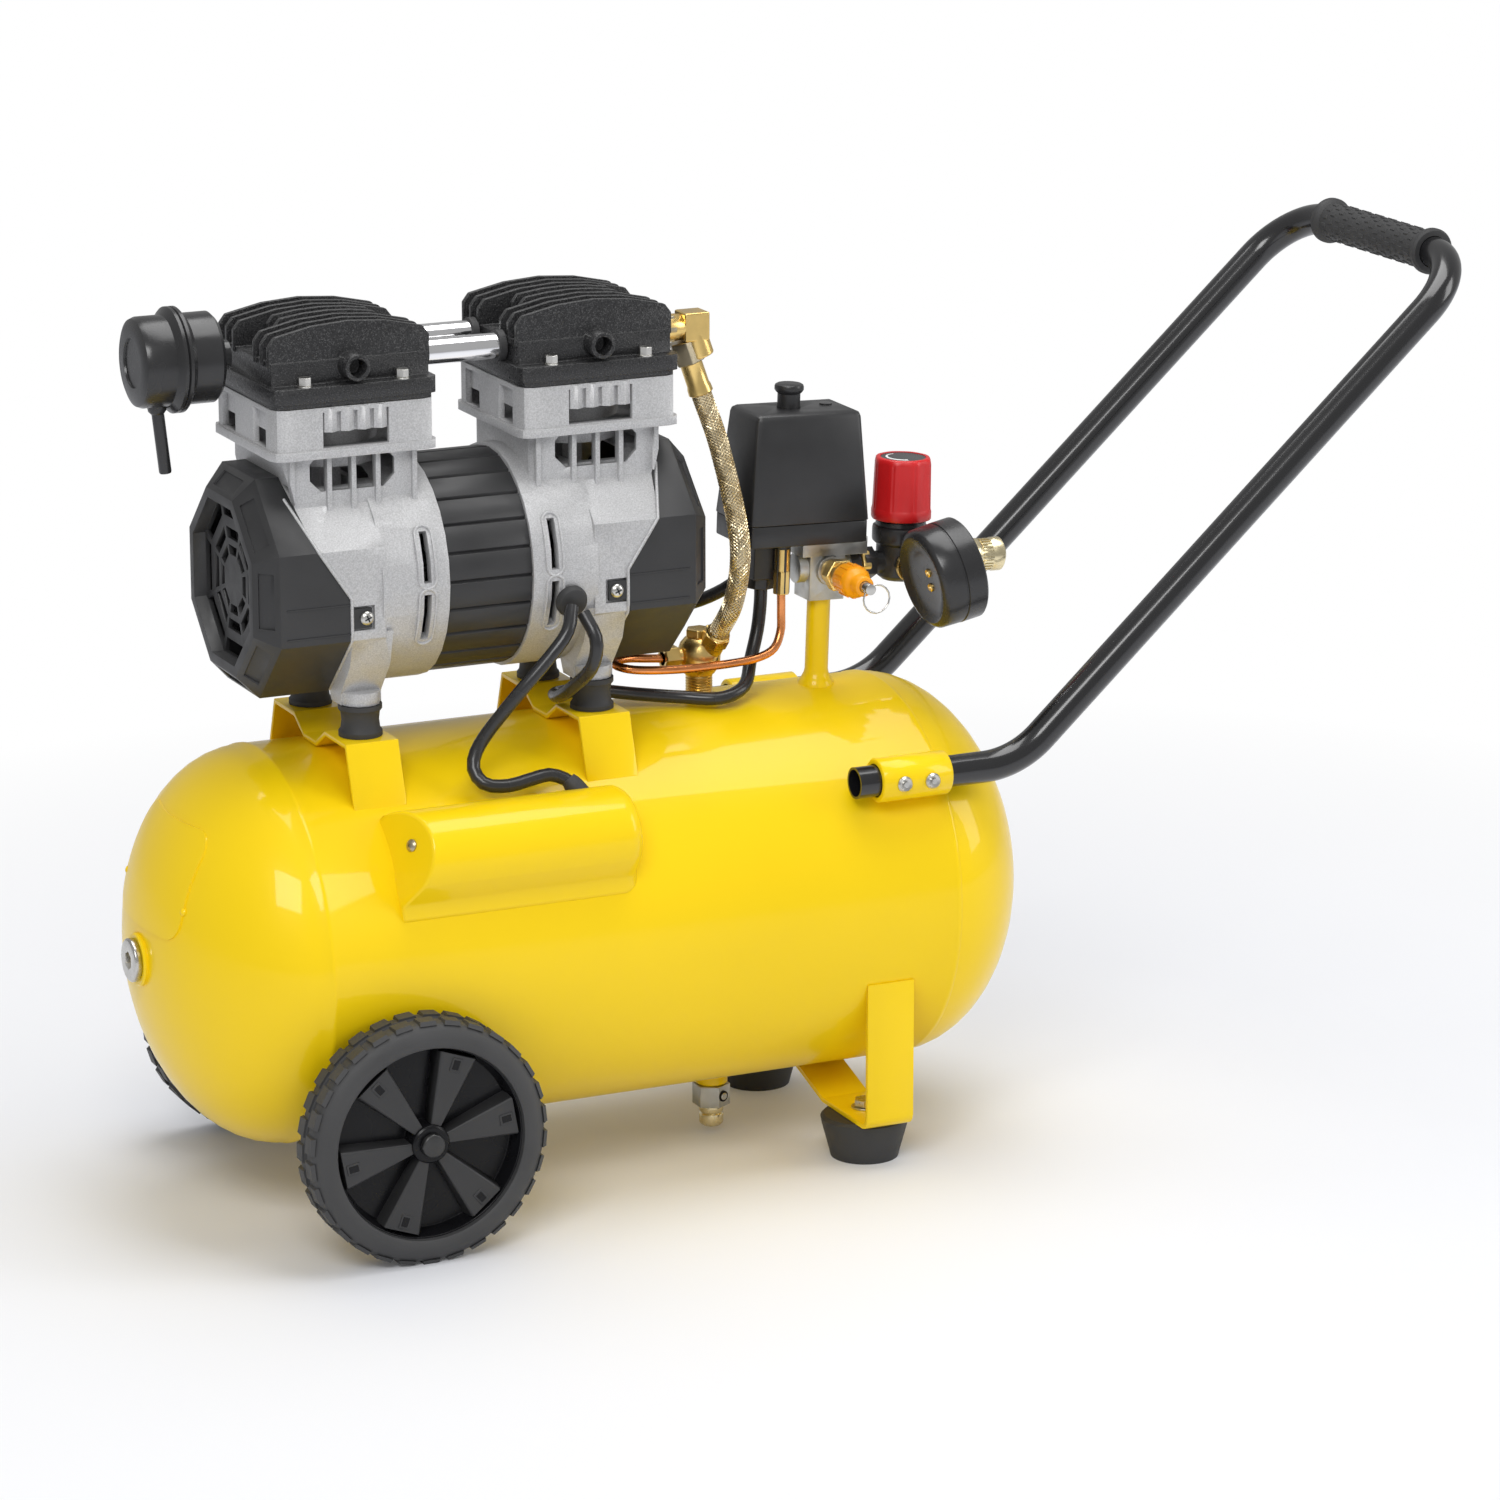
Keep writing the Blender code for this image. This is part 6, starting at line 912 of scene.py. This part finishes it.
def make_gauge_marks(top):
    """Fifty steps over 270 degrees, with longer marks at each fifth and tenth, inside a fine arc."""
    ink, fine, bold, tip, radius, pieces = 0.00008, 0.0003, 0.0006, 0.0262, 0.0265, 60
    marks = Shape()
    for k in range(51):
        length = 0.0042 if k % 10 == 0 else 0.0032 if k % 5 == 0 else 0.0020
        spot = top @ turned(math.radians(135 - 5.4 * k)) @ Matrix.Translation((0, tip - length / 2, 0))
        marks.block(bold if k % 5 == 0 else fine, length, ink, spot)
    angles = [math.radians(-135 + 270 * i / pieces) for i in range(pieces + 1)]
    arc = [Vector((radius * math.sin(a), radius * math.cos(a), 0)) for a in angles]
    for a, b in zip(arc, arc[1:]):
        middle, along = (a + b) / 2, b - a
        spin = turned(math.atan2(along.y, along.x))
        marks.block(along.length * 1.05, fine, ink, top @ Matrix.Translation(middle) @ spin)
    marks.piece("gauge_marks", "black_plastic")


def make_gauge_number(k, top):
    text = bpy.data.curves.new("digits", "FONT")
    text.body = str(k)
    text.size = 0.0068
    text.align_x = "CENTER"
    text.align_y = "CENTER"
    text.extrude = 0.00004
    holder = bpy.data.objects.new("digits", text)
    bpy.context.scene.collection.objects.link(holder)
    bpy.context.view_layer.update()
    flat = bpy.data.meshes.new_from_object(holder.evaluated_get(bpy.context.evaluated_depsgraph_get()))
    bpy.data.objects.remove(holder)
    bpy.data.curves.remove(text)
    angle, radius = math.radians(135 - 27 * k), 0.0185
    flat.transform(top @ Matrix.Translation((-radius * math.sin(angle), radius * math.cos(angle), 0.0)))
    flat.materials.clear()
    flat.materials.append(FINISHES["black_plastic"])
    number = bpy.data.objects.new(f"gauge_number_{k}", flat)
    bpy.context.scene.collection.objects.link(number)
    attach(number, "frame")


def make_regulator():
    steps, lobes, high = 144, 8, 0.0395
    place = switch_at(REGULATOR_U, 0, 0.1033)

    def ring(radius, height, lobe, groove):
        points = []
        for i in range(steps):
            a = FULL_TURN * i / steps
            wave = math.cos(lobes * a)
            r = radius + lobe * wave - groove * max(0.0, wave) ** 40
            points.append(Vector((r * math.cos(a), r * math.sin(a), height)))
        return points

    rings = [
        ring(0.0150, 0.0, 0, 0), ring(0.0186, 0.0, 0.0002, 0), ring(0.0192, 0.0008, 0.0003, 0),
        ring(0.0192, 0.0052, 0.0003, 0), ring(0.0188, 0.0066, 0.0004, 0), ring(0.0186, 0.0074, 0.0005, 0.0007),
        ring(0.0179, high - 0.0040, 0.0005, 0.0007), ring(0.0178, high - 0.0030, 0.0004, 0),
        ring(0.0174, high - 0.0008, 0.0003, 0), ring(0.0166, high, 0.0002, 0), ring(0.0146, high, 0, 0),
        ring(0.0145, high - 0.0007, 0, 0), ring(0.0, high - 0.0007, 0, 0),
    ]
    knob = Shape().loft(rings, place)
    knob.piece("regulator_cap", "red_plastic", body="regulator_knob", replaces="regulator_knob", sharp=50)
    disc = [(0, high - 0.0008), (0.0142, high - 0.0008), (0.0142, high - 0.0003), (0, high - 0.0003)]
    disc = Shape().spin(disc, place, 56)
    disc.piece("regulator_disc", "red_plastic", body="regulator_knob", finish="gloss_plastic")
    spots = [(math.radians(100 + 160 * i / 30), 0.0006 + 0.0022 * i / 30) for i in range(31)]
    inner = [((0.0105 - w / 2) * math.cos(a), (0.0105 - w / 2) * math.sin(a)) for a, w in spots]
    outer = [((0.0105 + w / 2) * math.cos(a), (0.0105 + w / 2) * math.sin(a)) for a, w in spots]
    arc = Shape().prism(inner + outer[::-1], 0.0001, place @ up(high - 0.0003))
    arc.piece("regulator_arc", "red_plastic", body="regulator_knob", finish="dial_white")
    neck = [(0.0140, 0.0990), (0.0160, 0.0992), (0.0160, 0.1020), (0.0140, 0.1022)]
    ridge = [(0.0160, 0.0892), (0.0178, 0.0894), (0.0180, 0.0906), (0.0180, 0.0968), (0.0176, 0.0984), (0.0160, 0.0986)]
    stem = switch_at(REGULATOR_U, 0, 0)
    collar = Shape().spin(neck, stem, 48, closed=True).spin(ridge, stem, 48, closed=True)
    collar.piece("regulator_collar", "black_plastic", finish="gloss_plastic")
    fittings = Shape().nut(0.0178, 0.0062, switch_at(0.0262, 0, PORT_W, AHEAD))
    fittings.disc(0.0102, 0.0030, switch_at(REGULATOR_U, -0.0152, PORT_W, (0, -1, 0)), 32)
    fittings.piece("regulator_fittings", "brass", edge=0.0004)


def make_safety_valve():
    place = switch_at(0.001, -0.0153, PORT_W, (0, -1, 0))
    base = Shape().disc(0.0078, 0.0070, place, 36).nut(0.0190, 0.0080, place @ up(0.0066))
    base.spin([(0, 0.0140), (0.0088, 0.0140), (0.0088, 0.0190), (0, 0.0190)], place, 36)
    base.piece("relief_valve_base", "brass", edge=0.0004)
    cap = [
        (0.0038, 0.0470), (0.0056, 0.0470), (0.0064, 0.0462), (0.0066, 0.0400), (0.0070, 0.0386), (0.0086, 0.0376),
        (0.0098, 0.0352), (0.0101, 0.0320), (0.0101, 0.0240), (0.0096, 0.0200), (0.0084, 0.0182), (0.0050, 0.0178),
        (0.0038, 0.0178),
    ]
    cap, ribs = Shape().spin(cap, place, 48, closed=True), 12
    for i in range(ribs):
        spot = place @ turned(FULL_TURN * i / ribs) @ Matrix.Translation((0.0098, 0, 0.0280))
        cap.block(0.0016, 0.0024, 0.0100, spot)
    cap.piece("relief_valve_cap", "orange_plastic", replaces="safety_valve_body", sharp=46)


def make_coupler():
    start = REGULATOR_U + 0.0188
    length = 0.1290 - start
    place = switch_at(start, 0, PORT_W, AHEAD)
    core = [
        (0.0, 0.0), (0.0076, 0.0), (0.0080, 0.0008), (0.0080, length - 0.0010), (0.0072, length), (0.0062, length),
        (0.0058, length - 0.0006), (0.0058, length - 0.0250), (0, length - 0.0250),
    ]
    collar = [(0.0070, 0.0142), (0.0094, 0.0146), (0.0094, 0.0190), (0.0080, 0.0205), (0.0070, 0.0205)]
    core = Shape().spin(core, place, 48).nut(0.0194, 0.0095, place @ up(0.0040))
    core.spin(collar, place, 48, closed=True)
    core.piece("coupler_core", "brass", replaces="coupler_body", edge=0.0003, finish="pale_brass")
    long, flutes = 0.021, 26
    begin = length - 0.002 - long
    sleeve = [(0.0083, 0), (0.0102, 0), (0.0108, 0.0006), (0.0108, 0.0042), (0.0098, 0.0056), (0.0098, long - 0.0074),
              (0.0108, long - 0.0060), (0.0108, long - 0.0006), (0.0102, long), (0.0083, long)]
    sleeve = Shape().spin(sleeve, place @ up(begin), 48, closed=True)
    for i in range(flutes):
        spot = place @ turned(FULL_TURN * i / flutes) @ Matrix.Translation((0.0100, 0, begin + 0.0095))
        sleeve.block(0.0008, 0.0011, 0.0072, spot)
    sleeve.piece(
        "coupler_ring", "brass", body="coupler_sleeve", replaces="coupler_sleeve", sharp=40, finish="pale_brass"
    )


def make_switch_details():
    place = switch_at(-0.0323, -0.0120, 0.0626)
    Shape().nut(0.0098, 0.0150, place).disc(0.0048, 0.0290, place).piece("pipe_nut_brass", "brass", edge=0.0003)
    knob = [(0, 0.0150), (0.0076, 0.0150), (0.0088, 0.0143), (0.0092, 0.0132), (0.0092, 0.0112), (0.0084, 0.0100),
            (0.0072, 0.0088), (0.0072, -0.0100), (0, -0.0100)]
    knob = Shape().spin(knob, switch_at(-0.0257, 0, 0.1790))
    knob.piece("pull_knob", "black_plastic", body="switch_knob", replaces="switch_knob")
    screw = Shape().spin([(0, 0), (0.0040, 0), (0.0040, 0.0008), (0, 0.0012)], switch_at(0.0010, 0.0020, 0.1790), 24)
    screw.piece("cover_screw_top", "black_plastic", finish="gloss_plastic")


make_riser()
make_gauge()
make_regulator()
make_safety_valve()
make_coupler()
make_switch_details()

# ---- details of the pump

PUMP_X = 0.0782
CYLINDER_OUT = 0.0792
RING_RADIUS = 0.069
BODY_APOTHEM = 0.067
SKIN = 0.0003  # how far a detail stands off the casing


def pump_spot(side, out, y, z, normal=(0, 0, 1)):
    """A place on the pump, out from its mid-plane on the left (-1) or right (1) side."""
    return at(PUMP_X + side * out, y, z, normal)


def make_head_bolts():
    for side, word in LEFT_RIGHT:
        bolts = Shape()
        for out in (-0.031, 0.031):
            for y in (-0.0490, 0.0490):
                spot = pump_spot(1, side * CYLINDER_OUT + out, y, 0.5205)
                bolts.disc(0.0048, 0.0013, spot).nut(0.0072, 0.0052, spot @ up(0.0012), turn=0.3)
        bolts.piece(f"head_bolts_{word}", "bright_steel", edge=0.0003)


def make_cover_screws():
    radius, crown, first_slot = 0.0042, 0.0027, 0.4
    head = [(0, 0.0028), (radius * 0.45, crown), (radius * 0.8, 0.0021), (radius, 0.0010), (radius, -0.0004)]
    screws, slot_shade = Shape(), Shape()
    for side, out in ((-1, 0.0806), (1, 0.0822)):
        spot = pump_spot(side, out, -(BODY_APOTHEM + SKIN), SHAFT_Z - 0.0145, (0, -1, 0))
        screws.spin([*head, (0, -0.0004)], spot, 32)
        # The slots are thin bars of dark steel laid across the heads: painted shade in the slots.
        for turn in (first_slot, first_slot + math.pi / 2):
            slot_shade.block(radius * 1.05, radius * 0.22, 0.0005, spot @ turned(turn) @ up(crown))
    screws.piece("tab_screws", "bright_steel")
    slot_shade.piece("screw_slot_shade", "bright_steel", finish="dark_steel")
    lone = [(0, 0.0008), (0.0011, 0.0009), (0.0014, 0.0019), (0.0028, 0.0016), (0.0038, 0.0006), (0.0038, -0.001)]
    spot = put(on_cover(0.0066, 0.0160, -0.0030), Vector((-0.875, 0, 0)) + COVER_OUT * 0.485)
    Shape().spin([*lone, (0, -0.001)], spot, 28).piece("capacitor_cover_screw", "brass", finish="grey_brass")


def skin_y(z):
    """How far out the eight-sided casing's front stands at a height above the shaft."""
    return BODY_APOTHEM - max(0.0, abs(z) - BODY_APOTHEM * math.tan(math.pi / 8))


def make_lips():
    """The raised lip of the casting along the cover's joint, and the cover's two lines beside its tab."""
    joint = ((0.1225, 0.0560), (0.1112, 0.0280), (0.0912, -0.0020), (0.0912, -0.0560))
    steps, inset = 10, 0.0013
    for side, word in LEFT_RIGHT:
        lip, lines = Shape(), Shape()
        for way in (-1, 1):
            path = []
            for (o1, z1), (o2, z2) in zip(joint, joint[1:]):
                for i in range(steps):
                    t = i / steps
                    out, z = o1 + (o2 - o1) * t - inset, z1 + (z2 - z1) * t
                    path.append(Vector((PUMP_X + SHIFT + side * out, way * (skin_y(z) + 0.0001), SHAFT_Z + z)))
            lip.sweep(path, 0.0011, 8)
            for z in (-0.0055, -0.0235):
                spot = pump_spot(side, 0.1110, way * (BODY_APOTHEM + SKIN), SHAFT_Z + z, (0, way, 0))
                lines.block(0.0400, 0.0009, 0.0010, spot)
        lip.piece(f"casing_lip_{word}", "cast_aluminium", sharp=60)
        lines.piece(f"cover_lines_{word}", "dark_plastic")


def slot_loop(low, high, half):
    """A slot with round ends on the ring, as (angle in degrees, distance to the side) points."""
    bend, reach = 1.5, math.degrees(half / RING_RADIUS)
    span = high - low - 2 * bend
    ends = [math.pi * i / 12 for i in range(1, 12)]
    loop = [(low + bend + span * i / 24, half) for i in range(25)]
    loop += [(high - bend + reach * math.sin(a), half * math.cos(a)) for a in ends]
    loop += [(high - bend - span * i / 24, -half) for i in range(25)]
    return loop + [(low + bend - reach * math.sin(a), -half * math.cos(a)) for a in ends]


def make_vent_rims():
    """The raised rim of each vent slot in the two slotted rings."""
    half, middle, wire = 0.0054, 0.0415, 0.0010
    turns = [FULL_TURN * k / 8 for k in range(8)]
    for side, word in LEFT_RIGHT:
        shape = Shape()
        for low, high in ((2.5, 29.0), (-29.0, -3.5)):
            for way in (-1, 1):
                points = []
                for angle, out in slot_loop(low, high, half):
                    a = math.radians(angle)
                    radial = Vector((0, way * math.cos(a), math.sin(a)))
                    centre = Vector((PUMP_X + SHIFT + side * (middle + out), 0, SHAFT_Z))
                    points.append((centre + radial * (RING_RADIUS - 0.0002), radial))
                rings = []
                for i, (point, radial) in enumerate(points):
                    along = (points[(i + 1) % len(points)][0] - points[i - 1][0]).normalized()
                    across = along.cross(radial)
                    rings.append([point + wire * (radial * math.sin(t) + across * math.cos(t)) for t in turns])
                shape.loft(rings, closed=True)
        shape.piece(f"vent_rims_{word}", "cast_aluminium", sharp=70)


make_head_bolts()
make_cover_screws()
make_cover()
make_lips()
make_vent_rims()

# ---- floor, light and camera

PHOTO_AZIMUTH = math.radians(-25.2)
PHOTO_ELEVATION = math.radians(15.25)
PHOTO_DISTANCE = 3.64
PHOTO_LENS = 138.2
PHOTO_TARGET = Vector((0.2815 + SHIFT, 0.0, 0.2505))
SOFT_LIGHT = 0.42  # strength of the world as it lights the object


def make_floor():
    """A pale floor that fades to white before its edge, so that it runs into the background."""
    mesh = bpy.data.meshes.new("floor")
    half = 6.0
    mesh.from_pydata([(-half, -half, 0), (half, -half, 0), (half, half, 0), (-half, half, 0)], [], [(0, 1, 2, 3)])
    floor = bpy.data.objects.new("floor", mesh)
    bpy.context.scene.collection.objects.link(floor)
    made = Finish("floor", (0.80, 0.81, 0.845), 0.7).grain(60, 0.0002, 0.1)
    path = made.node("ShaderNodeLightPath")
    reach = made.node("ShaderNodeVectorMath", Vector=made.place)
    reach.operation = "LENGTH"
    fade_from, fade_to = 0.42, 1.10
    fade = made.spread(reach.outputs["Value"], 0.04, 1.0, fade_from, fade_to)
    seen = made.node("ShaderNodeMath")
    seen.operation = "MULTIPLY"
    made.feed(seen.inputs[0], fade)
    made.feed(seen.inputs[1], path.outputs["Is Camera Ray"])
    white = made.node("ShaderNodeEmission", Color=(1, 1, 1, 1), Strength=1.0)
    mix = made.node("ShaderNodeMixShader", Fac=seen.outputs["Value"])
    made.feed(mix.inputs[1], made.shader.outputs["BSDF"])
    made.feed(mix.inputs[2], white.outputs["Emission"])
    made.feed(made.tree.nodes["Material Output"].inputs["Surface"], mix.outputs["Shader"])
    mesh.materials.append(made.material)


def make_world():
    """White where the camera, or a ray through clear glass, looks past the object, and a soft even light otherwise."""
    world = bpy.data.worlds.new("studio")
    world.use_nodes = True
    bpy.context.scene.world = world
    tree = world.node_tree
    background = tree.nodes["Background"]
    background.inputs["Color"].default_value = (1.0, 1.0, 1.0, 1.0)
    path = tree.nodes.new("ShaderNodeLightPath")
    looked_at = tree.nodes.new("ShaderNodeMath")
    looked_at.operation = "MAXIMUM"
    tree.links.new(path.outputs["Is Camera Ray"], looked_at.inputs[0])
    tree.links.new(path.outputs["Is Transmission Ray"], looked_at.inputs[1])
    level = tree.nodes.new("ShaderNodeMapRange")
    level.inputs["To Min"].default_value = SOFT_LIGHT
    level.inputs["To Max"].default_value = 1.0
    tree.links.new(looked_at.outputs["Value"], level.inputs["Value"])
    tree.links.new(level.outputs["Result"], background.inputs["Strength"])


def add_softbox(name, place, size, power):
    light = bpy.data.lights.new(name, "AREA")
    light.shape = "RECTANGLE"
    light.size, light.size_y = size
    light.energy = power
    lamp = bpy.data.objects.new(name, light)
    lamp.location = place
    lamp.rotation_euler = (PHOTO_TARGET - Vector(place)).to_track_quat("-Z", "Y").to_euler()
    bpy.context.scene.collection.objects.link(lamp)


def make_camera():
    camera = bpy.data.objects.new("camera", bpy.data.cameras.new("camera"))
    camera.data.lens = PHOTO_LENS
    camera.data.sensor_width = 36.0
    level = math.cos(PHOTO_ELEVATION)
    back = Vector((math.sin(PHOTO_AZIMUTH) * level, -math.cos(PHOTO_AZIMUTH) * level, math.sin(PHOTO_ELEVATION)))
    camera.location = PHOTO_TARGET + back * PHOTO_DISTANCE
    camera.rotation_euler = (-back).to_track_quat("-Z", "Y").to_euler()
    bpy.context.scene.collection.objects.link(camera)
    bpy.context.scene.camera = camera


make_floor()
make_world()
add_softbox("key", (-1.6, -2.2, 2.4), (1.6, 1.2), 46)
add_softbox("top", (0.2, 0.1, 2.6), (2.2, 1.4), 40)
add_softbox("side", (2.4, -1.4, 1.4), (1.0, 1.6), 19)
make_camera()
bpy.context.scene.view_settings.view_transform = "Standard"
